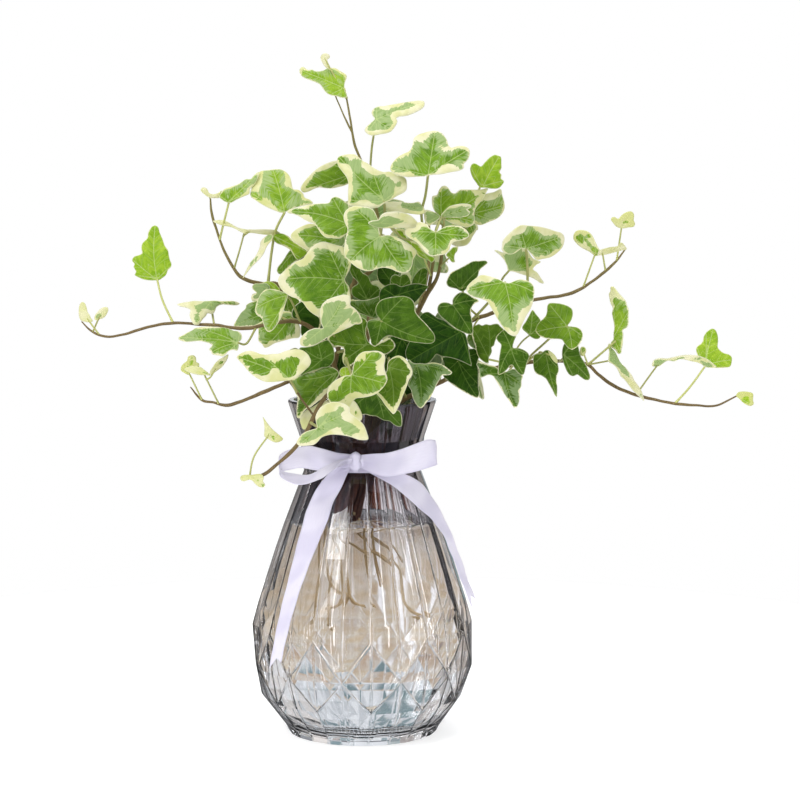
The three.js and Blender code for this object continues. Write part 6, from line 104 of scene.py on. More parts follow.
 ["24","V","ur",1,[64.88,-62,217.67],[0.1341,-0.3918,-0.9102],[-0.1586,-0.9152,0.3706],[24.3,0],[-0.0785,-0.0055,0.0005,-0.0057],[-0.8,-17.1,6.2,11.8],[-0.6,-0.6,-2.4,-2.9,-4.4,-6.2,-5.8,-8.8,-6.1,-10.7,-5.1,-13.2,-3.8,-15.7,-1.9,-17.6,-0.4,-17.8,1.9,-16.6,3.6,-14.5,5.3,-11.5,6.8,-9.4,9.1,-8.4,12.7,-7.1,16.1,-5.9,19.1,-4.6,21.7,-3.2,23.6,-1.7,24.5,0,24.3,1.3,22.3,3,19.5,4.9,16.2,7.2,14.2,8.9,11.6,10.5,8.5,11.6,5.3,12.3,2.9,12.1,1.1,10.6,0,8.5,-0.5,6.3,-0.1,4.1,0.5,1.7],[64.9,-62,217.7,0.6,62.6,-47.4,213.2,0.6,58.5,-33.6,207.3,0.6,51.9,-17.9,198.7,0.6]],
 ["25","V","ur",1,[75.03,-48,232.59],[0.8892,0.387,0.2442],[0.4441,-0.8584,-0.2569],[20.8,0],[0.035,-0.0043,-0.0024,-0.0048],[-2.4,11.5,9.6,-5.3,-10.8,4],[0.4,-0.8,2.7,-3.9,5.1,-7,7.8,-7.3,12.1,-7.6,16.2,-6.8,19.2,-5.3,20.6,-3.3,21.1,-0.3,19.6,2,16.3,3.8,12.6,6.1,8.4,8.2,3.2,10.1,-1.3,11.6,-3.5,11.3,-6.2,10.1,-8.9,8.4,-11.1,6.5,-11.8,4.3,-12.1,2.7,-11.5,1.3,-8.7,-0.5,-6.2,-0.8,-3.6,0,-2.3,0.6,-0.8,0],[75,-48,232.6,0.6,76.4,-37,223.5,0.6,77.3,-22.3,207.6,0.6]],
 ["26","P","ur",1,[68.34,-34,222.52],[0.9769,0.1234,0.1743],[0.196,-0.8421,-0.5025],[15.2,0],[-0.2112,-0.0041,-0.0008,-0.0017],[-5.7,10,15.8,-12.4],[-0.7,-0.5,-1,2.1,-2,5.2,-3.6,7.9,-6.1,10.6,-4.7,10.4,-2.5,9.1,0.7,8.5,5.2,10.4,9.2,7.7,11.6,3.3,15.2,0.5,12.7,-0.5,11.3,-2.5,13.3,-5.3,15.3,-9.6,16.8,-13.6,14.8,-12.4,12.3,-9.3,8.9,-6.3,5,-3.5,1.7,-1.3],[68.3,-34,222.5,0.5,65,-26.7,217.2,0.5,62.4,-22.5,202.6,0.5]],
 ["27","C2","ur",0,[110.12,-17,229.55],[-0.7745,0.3017,0.556],[-0.4012,-0.9138,-0.0629],[14,0],[0.0005,-0.0063,0.0011,-0.0069],[7.9,-5.4],[-0.1,1.1,3.4,1.2,7.7,1.9,10.9,1.8,13.7,0.9,14.9,-1.3,14.5,-3.3,12.5,-5,9.6,-6.1,7,-5.9,4.2,-4.5,1.4,-3,-0.3,-2.2,-1,-0.3],[109.6,-16.8,230.5,0.4,103.8,-16.6,213.9,0.4]],
 ["27b","C2","ur",0,[110.4,-19,229.59],[0.9727,-0.071,0.2208],[0.1217,-0.6542,-0.7465],[13.4,0],[-0.0774,-0.0023,-0.0002,-0.002],[10,3.3],[-0.3,-0.7,0.8,2.1,3.2,2.4,6.5,2.6,9.4,2.2,11.5,3.9,13,1.1,13.4,-2,11.3,-1.8,8.9,-1.8,5.1,-1.7,1.7,-1.5],[112.4,-19.4,230.3,0.4,114.5,-13.9,221.6,0.4]],
 ["28","C2","ur",0,[121.87,-14,241.66],[0.5548,0.2873,0.7808],[0.2322,-0.9547,0.1863],[9.5,0],[0.0909,-0.0066,-0.0011,-0.0076],[0.5,6.3,4.6,-4.2],[-0.4,0.2,-1.1,2.7,-0.6,4.9,0,6.5,1.2,6.7,2.2,5.6,2.4,3.9,4.5,3.5,6.5,3,8.9,1.5,9.8,0.1,9,-1.5,6.8,-2.6,5.6,-4.2,4.2,-4.4,2,-2.3,0.5,-1],[122,-13.7,243.2,0.4,119.8,-12.9,226.3,0.4]],
 ["29","G","lr",1,[93.9,-50,197.37],[-0.9648,0.2059,-0.1638],[-0.2316,-0.96,0.1574],[14.9,0],[-0.1057,-0.0094,-0.0005,-0.009],[7,-11.4,-0.5,9.8,-5.4,4.7],[-0.1,-0.3,-1.3,-1.6,-2.5,-3.4,-3.1,-5.6,-2.9,-7.8,-1.2,-9.5,1.4,-10.9,4.6,-11.9,7.4,-12.2,8.3,-11.1,8.7,-8.8,9.3,-7,10.9,-5.4,12.7,-4.3,14.4,-2.4,15.1,-0.5,14.2,1.3,12,3.1,8.9,4.3,5.7,4.8,3.4,5.6,2.6,7.3,1.3,9.4,-0.3,10.5,-2.3,9.9,-4.3,8.5,-5.8,6.3,-6.3,4.3,-5.8,2.4,-4.2,1,-1.6,0.2],[93.9,-50,197.4,0.5,88.3,-40.6,192.8,0.5,83.9,-30.9,187.8,0.5,79.3,-19.9,182.2,0.5,77.7,-9.2,178.1,0.5]],
 ["30","G2","lr",0,[78.06,-32,192.26],[0.0987,0.2997,0.9489],[-0.1624,-0.9359,0.3124],[12.3,0],[0.1923,-0.0072,0.0014,-0.008],[3.3,3.5,5.6,-4.2],[12.6,0,10.6,-1.8,7.6,-4.3,4.2,-4.8,0.8,-5.1,-1.3,-4.6,-1.7,-2.8,-0.7,-0.5,0.9,1.4,3.2,3.9,6.8,2.4,9.6,1.3],[79.2,-32,193.3,0.4,74.9,-28.4,189.5,0.4,71.8,-18.3,183.2,0.4,71.8,-7,176.9,0.4]],
 ["31","G","lr",0,[84.99,-36,184.88],[0.2244,-0.2997,-0.9273],[-0.0713,-0.954,0.2911],[21.2,0],[-0.1505,-0.0057,0,-0.0061],[3.9,-6.4,8.5,3.8],[-0.4,1.8,-0.8,0,0.1,-2.1,-0.3,-4.4,0.3,-5.8,2.5,-6.5,5.2,-7,7.6,-6.9,9.2,-5.8,10.3,-4.2,12.1,-2.8,14.7,-2,17.5,-1.2,20.4,-0.5,21.3,0,19.6,0.7,16.5,1.5,14.2,1.7,12,2.5,9.9,3.8,7.6,4.2,5.2,4,2.2,2.8],[85.1,-36.3,183.7,0.5,81.9,-27.8,183.3,0.5,77.7,-9.2,178.1,0.5]],
 ["31b","C","lr",0,[86.61,-39,185.31],[0.5471,-0.2014,-0.8125],[-0.2738,-0.9603,0.0537],[6.1,0],[-0.1965,-0.0043,0.0001,-0.0055],[],[-0.6,-0.3,0.4,0.5,2.9,1.1,5.3,0.8,6.6,-0.2,5,-0.9,2.1,-1],[87.7,-39.4,183.4,0.4,82.8,-31.3,184.6,0.4,85.5,-11.8,179,0.4]],
 ["32","G","lr",0,[92.97,-40,183.99],[0.7159,-0.1012,-0.6909],[-0.1431,-0.9897,-0.0032],[16.4,0],[-0.1222,-0.0075,0,-0.0077],[-1.2,7.4,9.8,-4],[0,-1,-1.9,1.1,-3.1,3.4,-3,5.4,-1.7,7.2,0.8,8,2.6,7.2,4.5,5.9,6.8,4.7,9.3,4.1,11.5,3.4,14,2.2,16.2,0.7,16.4,-0.7,15.2,-1.7,13.1,-2.1,10.9,-2.4,10.4,-3.9,8.8,-4.9,6.6,-4.6,4.5,-3.7,2,-2.5],[94.1,-40.1,183.9,0.5,92.8,-28,180.5,0.5,93.2,-13.9,179.2,0.5]],
 ["32b","C","lr",0,[101.8,-36,183.04],[0.2173,0.1017,0.9708],[0.1173,-0.9901,0.0775],[4.3,0],[-0.0987,-0.0044,-0.0002,-0.0041],[],[0.3,0.8,2.5,1.5,3.9,1.3,4.4,0,3.3,-1.3,1.7,-1.4,0,-0.5],[102.4,-35.7,184.9,0.4,106.2,-17.6,177.7,0.4]],
 ["33","G","lr",1,[68.56,-46,187.36],[-0.4181,0.0002,-0.9084],[-0.0933,-0.9947,0.0428],[13.1,0],[0.123,-0.0094,-0.0001,-0.0094],[-5.5,-6.6,8.4,9.9,-0.7,8],[-0.6,0.8,-1.4,2.9,-1.7,5.4,-1.2,8,0,9.3,2.2,9.4,5.5,9.9,8.5,10.3,9.3,9.3,8.4,6.4,6.9,3.5,9.7,2.5,12.5,1.2,13.5,-0.2,10.8,-1.5,6.4,-3,2.9,-4,0.5,-4.8,-0.3,-6.9,-1.7,-8.2,-4,-7.6,-6.3,-6.4,-5.7,-3.9,-5.5,-1.5,-6.1,-0.2,-3.5,0],[68.6,-46,187.4,0.5,72.1,-33,182.5,0.5,75,-21.9,179.3,0.5,77.7,-9.2,178.1,0.5]],
 ["33b","Y3","lr",0,[59.38,-26.81,181.02],[-0.0196,0.2013,0.9793],[-0.0068,-0.9795,0.2012],[16.7,0],[-0.1002,-0.0057,-0.0001,-0.0057],[14.1,6.6,13.3,-6.9],[15.8,7,16.4,5.6,16.9,4.2,16.1,2.8,16.7,0.9,16.2,-0.9,16.7,-2.8,16.7,-4.7,15.5,-5.8,13.8,-7.4,12.1,-6,10.9,-4.3,9.2,-3.5,8,-3,6.3,-2.5,5.4,-1.3,3.8,-1.5,2.3,-1,0.7,0,-2.1,0.3,-1,2.8,1.6,5.1,6.4,6.3,11.2,7.6],[57.6,-26.6,181.2,0.5,71.8,-7,176.9,0.5]],
 ["34","D","lr",1,[45.21,-18.22,179.49],[0.4167,-0.4215,-0.8054],[-0.2787,-0.9026,0.3281],[20,0],[0.0957,-0.0054,0.0003,-0.0059],[2.1,-9.1,2,11,14.6,3.3],[3.9,-9.4,0.7,-8.6,-1.8,-6.6,-5.4,-6,-4.7,-3.6,-4.5,0.6,-3.3,5.5,-0.7,10.2,2.2,11.7,3.9,9.5,6.1,7.5,9.3,6.4,13.1,4.4,16.3,2.7,18.5,2,20,0.3,19.4,-0.8,16.4,-3,12.7,-5.3,8.1,-7.8,5,-8.9],[45.2,-18.2,179.5,0.5,41.7,-10.1,173.7,0.5,39.8,-0.9,169.4,0.5]],
 ["34b","D","lr",1,[66.05,-38,175.43],[0.2827,-0.0992,-0.954],[-0.1751,-0.9833,0.0504],[17,0],[0.1001,-0.0072,-0.0002,-0.007],[-2.4,-10.1,7.1,5.8,-7.1,-9.7],[-0.3,0.2,-0.6,2.4,-0.5,4.8,1.6,6.6,3.8,7.8,5.8,6.5,8,5.8,9.8,4.3,12.2,3.6,14.4,2.8,16.9,0.5,16.8,-0.4,13.6,-1.5,9.9,-2.8,5.9,-3.9,2.3,-4.8,-0.2,-5.7,-1.2,-7.6,-0.9,-9.9,-1.1,-11.5,-3.2,-11.2,-5.5,-10.9,-7.4,-11.4,-8.3,-9.9,-6.9,-7.4,-5.3,-5.4,-4.2,-3.3,-1.8,-1.6],[66,-38,175.4,0.5,68.3,-25.9,174.9,0.5,71.8,-7,176.9,0.5]],
 ["35","D3","ur",1,[46.17,-32.2,193.89],[-0.8865,-0.0411,-0.461],[-0.1018,-0.9543,0.2809],[27.4,0],[0.1163,-0.0043,-0.0003,-0.0041],[11.1,-15.9,3.1,16.2],[0.1,-0.8,1.4,-2.3,2.9,-5.4,4.3,-8.7,6.4,-10.8,7.7,-13.4,9.1,-15.7,11.1,-16.4,13.3,-15.8,16.8,-13,22.5,-8.2,27,-4.5,27.9,-1.6,27,1.1,24.5,3.7,20.2,5.7,17.1,4.8,14.8,3.9,13.4,5.8,10.4,8.2,7.3,11.2,4.8,14.5,3.1,16.8,1.9,13.2,0.4,8.6,-0.8,4.9,-1.3,1.6],[46.2,-32.2,193.9,0.6,47.3,-24.8,194.4,0.6,48.9,-15.9,196.9,0.6]],
 ["36","D","lr",1,[25.51,-47,179.85],[0.1048,-0.303,-0.9472],[0.0188,-0.9517,0.3065],[19.8,0],[0.1518,-0.0062,0.0001,-0.0062],[8.7,-4.4,5.4,15.2],[-0.5,-0.2,-0.4,1.6,0.2,4.3,-0.1,7.1,0.5,9.8,1.9,12.4,3.7,14.2,5.5,15.7,6.4,14.6,6.4,12.8,6.5,10.8,7.9,9.9,10,8.3,12.6,6.7,15.9,4.5,17.9,2.5,19.5,0.9,19.9,0,19.1,-1.3,17,-2.5,14.2,-3.4,11.5,-3.7,9.2,-4.8,6.2,-3.4,3.8,-2.3,0.9,-2.6,-1.7,-4,-2.7,-3.2,-1.1,-1.7],[25.5,-47,179.8,0.5,21.4,-32.5,177.3,0.5,18.9,-18.9,173.4,0.5,17.2,-7.6,168.1,0.5,21.1,1,160.5,0.5]],
 ["37","M","cr",1,[13.03,-54,179.26],[0.0865,-0.3495,-0.9329],[-0.0818,-0.9358,0.343],[21.2,0],[0.1032,-0.0056,0.0002,-0.0058],[10.3,-4.1,3.5,9.7,-4.2,4.5],[1.3,-1,-1.5,-0.6,-3.5,0.8,-4.6,2.7,-5,4.5,-4.2,6.3,-3.1,7.6,-1.3,8.8,1.2,9.9,3.6,10.4,5.4,9.8,7.1,8.5,9.7,7.3,12.7,5.7,16.1,4,19,2.3,21.1,0.7,21.4,-0.1,20,-1.4,17.1,-3.4,14.3,-4.9,11.2,-6.9,8.3,-6.2,5.3,-4.1],[13,-54,179.3,0.5,12.9,-28.3,181.4,0.5,14.2,-15.4,183.5,0.5,15.6,-4.4,179.4,0.5,16.3,0.7,180.7,0.5]],
 ["38","V","ll",1,[-3.65,-66,176.55],[0.9604,-0.0942,-0.2622],[-0.1421,-0.9751,-0.1701],[15.2,0],[0.0758,-0.0091,0,-0.0082],[6.4,12.2,-7.5,-11,2.6,-13.9],[0,0.8,-0.2,3.8,-0.1,7.2,1,10.1,2.9,11.9,5.4,12.8,8.3,13.6,10.6,13.4,12.3,12.2,12.8,10.4,13.1,7.7,14,5.5,15.3,3.4,15.9,1.6,15.5,-0.9,14.3,-3.5,12.6,-5.8,10.3,-7.5,7,-9,4.5,-10,3.5,-11.6,3.1,-13.5,2.4,-15.4,0.5,-15.3,-3.2,-15.6,-5.9,-16,-7.8,-14.1,-8.8,-11.4,-8.8,-9.5,-8,-6.8,-6.2,-4.2,-4.3,-2.3,-2.4,-0.9,-0.6,-0.3],[-3.6,-66,176.6,0.6,-5.9,-47.3,180.8,0.6,-6.7,-43.6,182.6,0.6,-6.8,-39.9,180.4,0.6,-7.3,-24.5,176,0.6,-13.1,-10.6,170.5,0.6]],
 ["39","V","bl",1,[-18.52,-70,153.45],[0.9587,-0.0945,-0.2682],[-0.1546,-0.9648,-0.2128],[22.5,0],[0.0461,-0.0053,0,-0.0044],[5.1,13.3,-6.1,-10.1,12.1,10.9],[-0.4,-0.2,-1.3,1.8,-2.2,4.4,-1.8,7.5,-0.9,9.7,1.3,12,3.7,13.4,6.8,14,9.6,13.8,11.5,12.7,12.2,10.6,14.3,9.5,17.4,7.9,19.6,6.2,21.4,3.4,22.8,0.1,21.1,-0.6,18.9,-0.9,15.7,-0.5,12.5,-0.5,9.4,-0.9,6.4,-1.6,4,-3,2.5,-4.4,1.5,-6.5,0.1,-8.4,-2.4,-9.6,-5,-10.7,-6.4,-11,-7.8,-10.1,-7.3,-7.5,-6.3,-5.2,-4.8,-3.5,-2.8,-2.1],[-18.5,-70,153.4,0.6,-22.5,-51.5,153.7,0.6]],
 ["40","G","bl",1,[6.6,-46.48,167.74],[0.5695,0.0138,-0.8219],[-0.2292,-0.9575,-0.1749],[20.3,0],[-0.1073,-0.0055,-0.0005,-0.004],[0.7,-12.2,12.8,-4.5],[-0.5,-0.2,1.4,1.3,4.3,1.4,8.3,1.4,11.8,2.2,13.6,3.6,16,3.2,18.5,1.7,20.4,0,19.6,-1.5,17.9,-2.5,15.5,-3,13.6,-5.2,11.8,-6.2,10.2,-7,8.6,-9.1,6.8,-10.8,5.5,-13.5,2.8,-14.1,-0.5,-13.5,-2,-10.7,-1.3,-6.9,-0.9,-3],[6.6,-46.5,167.7,0.5,4.2,-33.1,170.3,0.5,2,-17.7,169.6,0.5,0.8,-3.8,159.8,0.5,-4.3,-20.5,156.7,0.5]],
 ["41","V","ll",1,[-31.32,-62,174.18],[-0.9067,0.0133,0.4216],[0.1372,-0.9358,0.3247],[25.9,0],[-0.0488,-0.0046,-0.0002,-0.0038],[-1.5,-14.4,9.9,5.3,16.1,-5.3],[-0.2,0.3,1.4,1.2,4.5,3.1,6.8,4.4,9.7,5.5,12.7,5.5,15.8,5.1,19.4,3.7,22,2.2,24.4,1.2,26,0.2,25.3,-1.8,23.7,-3.8,21.9,-5,19.6,-5.4,17.2,-5.4,14.6,-6.2,12.3,-7.7,9.5,-9.2,7.9,-11,5.8,-12.9,3.5,-14.5,0.8,-15.3,-1.9,-14.8,-3.9,-13.5,-5,-12.2,-5.3,-10.4,-4.5,-7.7,-3.4,-4.6,-2.1,-1.9],[-31.3,-62,174.2,0.6,-28.8,-47.5,167,0.6]],
 ["42","D4","ll",1,[-10.85,-41.75,175.85],[-0.6783,-0.0922,-0.729],[-0.1613,-0.9492,0.2701],[27.3,0],[-0.0944,-0.0043,-0.0001,-0.0032],[13.4,-10.4,12.6,3.4],[0,1.3,-0.9,-0.5,0.4,-4.9,3.7,-7.7,7.1,-9.8,11.2,-11.9,14.1,-13.2,17.5,-14.7,18.7,-12.1,19.8,-8.9,20.8,-6.3,23.4,-4.3,25.9,-2.3,27.6,-0.4,26.9,0.9,24.3,0.5,22,0.5,19.7,1.5,16.8,2.1,13.4,2.8,10.2,3.1,6.7,2.5,2.8,2],[-10.8,-41.8,175.8,0.5,-9.3,-32.8,174.5,0.5,-9.5,-23.8,172,0.5,-10.3,-10.5,168.2,0.5]],
 ["43","C3","bl",0,[-15.61,-38,161.95],[-0.6574,0.0006,-0.7535],[-0.0768,-0.9948,0.0662],[16.6,0],[0.0001,-0.003,-0.0001,-0.0031],[9.6,-4.6,8.3,1.7],[-0.1,1.2,-0.6,-0.3,2.1,-2.4,5.8,-3.5,8.8,-4.7,11.3,-4.9,14.1,-4.4,16,-2.1,16.9,0.1,15.4,1.1,12.6,1.1,8.9,0.4,4.9,0,1.5,0.7],[-19.1,-37.8,159.9,0.4,-10.3,-23.4,163.3,0.4,-7.6,-23.1,160.8,0.4]],
 ["43b","C3","bl",0,[-3.99,-42.52,162.35],[0.4832,0.0008,-0.8755],[-0.0879,-0.9949,-0.0494],[9,0],[0.0001,-0.0043,-0.0002,-0.0043],[],[0.2,-1.7,-0.7,0.2,0.5,1.3,3.8,1.6,6.4,1.4,8.1,0.9,9.5,-0.6,8.9,-2.1,6.4,-2.9,3.7,-3.5],[-3.6,-42.5,161.1,0.4,-1.7,-28.1,163.8,0.4,-2.6,-23.9,160.7,0.4]],
 ["44","P3","fl",1,[-56.87,-32,188.88],[-0.9795,0.1508,0.1333],[-0.0291,-0.7615,0.6475],[28.6,0],[-0.0637,-0.0037,-0.0012,-0.0027],[22,-6.4,10.8,6.5,0.6,-6,5.7,8.1],[-0.2,-0.5,-0.9,-1.9,-1,-3.8,0.1,-5.8,1.7,-6.7,3.7,-6.7,6.3,-7.8,8.9,-8.3,12.7,-7.9,16.5,-7.5,20.2,-6.9,22.5,-6.4,23.5,-4.8,25.1,-3.4,27.1,-1.5,28.8,-0.5,28.7,0.7,26.7,1.7,24.1,2.2,21.3,1.7,18.1,1,15,1.5,12.9,2.2,11.7,3.1,12.3,4.5,12.6,5.4,11.4,6.2,10.8,7.4,9.1,7.7,6.6,8,5.1,8.3,4,7.1,3.3,5.4,2.3,4.5,0.9,4.1,-0.6,4.4,-0.9,2.7,-0.7,1.1],[-56.9,-32,188.9,0.5,-53.5,-28.1,188.1,0.5,-48.7,-26.7,196,0.5]],
 ["45","P3","fl",0,[-71.38,-8,206.75],[-0.3299,-0.763,-0.5559],[0.4789,-0.6428,0.598],[17.6,0],[-0.1763,-0.0023,-0.0007,-0.0059],[11,-11.9,-12.3,11.3,5.2,3.4],[-0.7,-0.3,1.3,-2.6,2.8,-4.5,4.5,-6.8,6.7,-8.9,9.1,-11.3,11,-12.4,11.4,-10.7,10.7,-8.1,10.8,-6,13.7,-4.9,16.1,-3,17.8,-0.7,16.6,1,13.9,1.3,11.7,1.3,9,1.7,7,1.6,6.1,2.7,4.9,3.9,2.6,3.9,0.7,3.5,-1.9,4.1,-4.4,5.4,-6.6,7.5,-8.9,9.7,-11.8,11.5,-13.6,11.9,-12.5,9.8,-8.6,6.5,-4.7,3.3],[-71.3,-8.5,206,0.5,-70.6,-8.4,200.2,0.5,-68.9,-19.5,196.5,0.5]],
 ["46","Y","fl",1,[-97.04,-6,217.36],[-0.0662,0.334,0.9403],[0.083,-0.9372,0.3387],[28,0],[0.0959,-0.0035,-0.0002,-0.0046],[10.1,10.9,6.3,-6.8,1.9,9.8],[-0.4,0,-0.4,3.3,0.2,6.6,1.3,8.9,2.4,10.4,3.9,9.7,5.2,10.2,6.7,10.8,8,10.3,9.9,11.4,11.8,10.4,12.7,7.6,13.5,6.6,15.6,6.8,18.2,6.4,20,5,21.3,3.8,24,3.4,26.1,2.4,27.4,1.4,28,0,27,-1.4,23.8,-2.2,20,-3.5,16.7,-4.4,14.6,-5.7,11.5,-6.1,9.4,-6.5,7.6,-7.1,5.8,-6.8,4.4,-5.4,1.9,-4.3,0.5,-2.4,-0.4,-0.9],[-97,-6,217.4,0.5,-94.3,-10.1,208.3,0.5,-88.6,-15.2,197.1,0.5]],
 ["47","C2","fl",0,[-126.87,-14,198.53],[-0.4766,0.0997,0.8734],[0.0392,-0.9902,0.1344],[9.7,0],[-0.0983,-0.0082,0.0002,-0.0083],[4.2,4.7],[-0.6,-0.2,1.1,0,2.4,-0.2,4.3,0,6.7,-0.6,8.8,-0.7,9.8,0.1,9.4,1.5,7.2,3.3,4.7,4.5,2.4,4.7,0.5,2.9,-0.5,1.4],[-129.2,-13.8,199.3,0.4,-123.2,-15.4,191.4,0.4]],
 ["48","P","fl",0,[-124.84,-15,199.05],[0.7312,-0.0002,0.6821],[0.0682,-0.995,-0.0734],[7.5,0],[-0.1006,-0.0086,0.0002,-0.009],[],[-0.7,0.2,0.7,1.5,2.5,1.9,4.6,2.1,6.6,1.5,7.7,0.2,7.1,-0.9,5.3,-1.8,3.1,-2.1,1.3,-1.4,-0.1,-0.8],[-123,-14.9,200.7,0.4,-126.5,-14.7,192.9,0.4]],
 ["49","Y2","lr",0,[118.32,-18,190],[-0.0743,0.1305,0.9887],[-0.6844,-0.7278,0.0446],[24.4,0],[-0.182,-0.0028,-0.0003,-0.003],[11.6,-8.2,-6.6,-2.4],[-0.3,0.3,2.6,-0.2,4.9,-0.7,8.8,-0.1,12.1,0.4,14.4,-0.4,16.9,0.9,19.9,1.8,21.5,2.1,22.6,1.1,24.5,1.1,24.6,-0.5,23,-2,21.1,-3.6,18.8,-5.6,16.9,-7,15,-7.5,12.6,-8.4,9.3,-8.3,6,-7.9,4.3,-6.8,3.5,-4.9,1.6,-5,-0.7,-4.7,-3.4,-4.1,-5.2,-3.4,-7.1,-2.9,-7.4,-1.5,-5.4,0,-3,2.7,-1.4,1.9],[119.4,-18.8,189.2,0.5,106.2,-17.6,177.7,0.5]],
 ["50","P","lr",0,[115.47,-24,179.9],[0.698,0.0508,-0.7143],[0.585,-0.6157,0.5278],[25.3,0],[-0.0897,-0.0018,0.0003,0.0001],[-4,10,9.6,-1],[0,-0.5,-1.1,2.3,-2.3,5.6,-4.4,8.4,-4.4,11,-2.4,9.3,0.3,9.4,2.8,8.2,5.6,6.5,8.3,6.7,10.6,6.2,13.6,5.9,15.5,4.8,18.8,4,21.3,3.1,23.5,1.6,25.3,-0.1,23.3,-1,20.7,-1.5,17.9,-1.8,15.6,-1.5,13,-0.8,10.8,-0.8,9.1,-1.4,7.3,-0.7,4.7,0.2,2,0.1],[116.7,-22.4,180.1,0.4,106.2,-17.6,177.7,0.4]],
 ["51","P","lr",0,[140.48,-20,177.93],[0.9969,0.0652,-0.0448],[-0.0091,-0.4676,-0.8839],[25.9,0],[-0.0324,-0.0003,-0.0001,0.0002],[-4.5,2.4,9.1,10.1],[-0.8,-1.9,-2.5,-2.8,-3.9,-2.2,-4.8,2.4,-4.5,5,-2.1,6.9,1.3,6.8,3.3,8.5,6.7,10.3,11.3,10.9,15,11.1,18.1,9.6,21.8,5.6,26.1,-0.2,24.3,-1.6,21.4,-1.1,19,1.1,16.1,3.5,12.4,5.4,9.3,6.6,7,6.5,5.2,3.7,2.3,4.1,0.8,1.8],[138.9,-20.4,178.2,0.4,134.5,-17.6,171.4,0.4,129,-17.3,163.4,0.4]],
 ["52","Y","lr",1,[162.86,-8,176.6],[0.2491,0.2925,0.9232],[0.148,-0.9536,0.2622],[18.9,0],[0.0929,-0.0053,-0.001,-0.0064],[7.1,5.9,6.1,-11.4,15.8,3],[-0.7,0.6,1.5,3.2,3.4,4.6,4.7,5.6,6.5,6.3,8.2,5.8,9.6,4.6,11.4,3.8,13.5,3.8,16,3.1,18.1,1.6,19.2,0.1,18.6,-1.5,16.5,-2.7,13.6,-3.4,10.5,-3.8,9.3,-5.2,8.5,-7.4,8.5,-9.9,7.7,-11.4,5.3,-11.9,2.8,-11.6,1.5,-8.9,0.3,-5.1,-0.5,-1.8],[162.9,-8,176.6,0.5,155,-12.5,166.8,0.5,147.7,-15.1,159.2,0.5]],
 ["53","C2","lr",0,[176.93,-16,163.2],[0.8332,0.0021,-0.5529],[-0.1061,-0.9808,-0.1636],[8.6,0],[-0.0965,-0.0064,-0.0006,-0.0067],[3.2,3.9],[-0.3,-0.7,-0.6,1.2,1.1,2.9,3.6,4.2,5.6,4.6,7.4,2.1,8.8,0.7,8.3,-0.8,6,-1.5,3.6,-1.4,1.5,-0.9],[178.6,-16.1,163.2,0.4,176.9,-14.7,162.8,0.4]],
 ["54","Y","ll",0,[-80.5,-29,174.19],[0.2106,0.2011,0.9567],[0.1436,-0.9744,0.1732],[8.9,0],[0.0001,-0.0067,-0.0001,-0.007],[2.5,3.8,5.8,-4],[-0.3,-0.4,0.2,1.9,0.8,3.4,3,3.7,4.6,2.8,6,1.7,7.8,1.7,8.7,0.9,9.2,-0.9,8.2,-2.1,6.4,-2.6,6.1,-3.9,4.6,-4.3,3.5,-2.6,1.8,-1.4],[-80.6,-28.7,175.9,0.4,-74.8,-20.6,161.3,0.4]],
 ["55","C2","ll",0,[-70.02,-34,174.34],[-0.9683,0.1262,0.2157],[0.0636,-0.7101,0.7012],[12.1,0],[0.0004,-0.0037,-0.0013,-0.0023],[5.5,-2.9],[-0.4,0.3,1.4,0.7,4.1,1.5,7.4,1.6,10.5,0.9,12.1,0,10.9,-1.8,8.3,-2.8,5.5,-3.2,3.1,-2.1,0.6,-0.8],[-73,-33.3,175.3,0.4,-66.6,-24.8,159.8,0.4]],
 ["55b","C2","ll",0,[-69.46,-35,174.65],[0.6928,0.1295,0.7094],[0.5535,-0.726,-0.408],[12,0],[0,-0.0038,-0.0004,-0.0017],[],[-0.5,0.1,1.1,1.5,2.7,1.8,5.2,2.4,7.7,2.1,10,1,12.2,0.1,10.7,-1.3,8.2,-2.1,6.1,-2.3,3.3,-1.5,1.1,-0.8],[-67.1,-34.6,177.2,0.4,-69.5,-34.5,173.2,0.4,-71.6,-31.4,171.8,0.4]],
 ["56","C2","bl",0,[-43.2,-47,146.89],[-0.1621,0.1059,0.9811],[-0.2882,-0.9559,0.0556],[9.3,0],[-0.1815,-0.0043,-0.0006,-0.0045],[-2.5,-6.9],[0.2,0.7,3.5,0.1,6.7,-0.1,9.5,0.1,7.7,-0.7,5.2,-2,2.6,-3.6,0.3,-5.5,-2.4,-7.4,-3.3,-5.9,-3.4,-4,-2.5,-2.3,-1.1,-0.7],[-41.9,-47.1,147.7,0.4,-48.8,-48.1,137.5,0.4,-50.8,-49.1,128,0.4]],
 ["57","C2","bl",0,[-49.2,-51,128.81],[0.7929,0.0025,-0.6093],[-0.114,-0.9817,-0.1523],[6.9,0],[-0.093,-0.0042,0.0001,-0.0036],[-3.5,-3.6,3.5,3.3],[-0.8,0.7,1.1,2.7,2.7,3.6,4.4,2.8,4.9,1.4,6.8,0.6,7,-0.7,5.5,-1.8,3.4,-2,1.1,-1.5,-0.2,-1.8,-1.3,-3.5,-2.4,-4.7,-3.8,-4.5,-4.4,-3.1,-3.3,-1.4],[-48.5,-51,128.4,0.4,-50.8,-49.1,128,0.4]],
 ["58","C3","ul",0,[-54.06,-12.25,239.77],[-0.9283,-0.1757,0.3276],[0.3717,-0.4217,0.8271],[16.3,0],[-0.043,-0.0008,0.0005,0.001],[8.2,-0.4],[-0.8,0.4,0.1,1.9,3.1,1.7,7.2,0.3,12,1.1,16.5,0.5,14.7,-1.8,11.3,-3.8,7.8,-3.1,4.3,-1.6,0.8,-2.2,-1.1,-2.6],[-54.9,-12.2,240.2,0.4,-57.4,-10.4,231.6,0.4,-60.4,-8,222.3,0.4]],
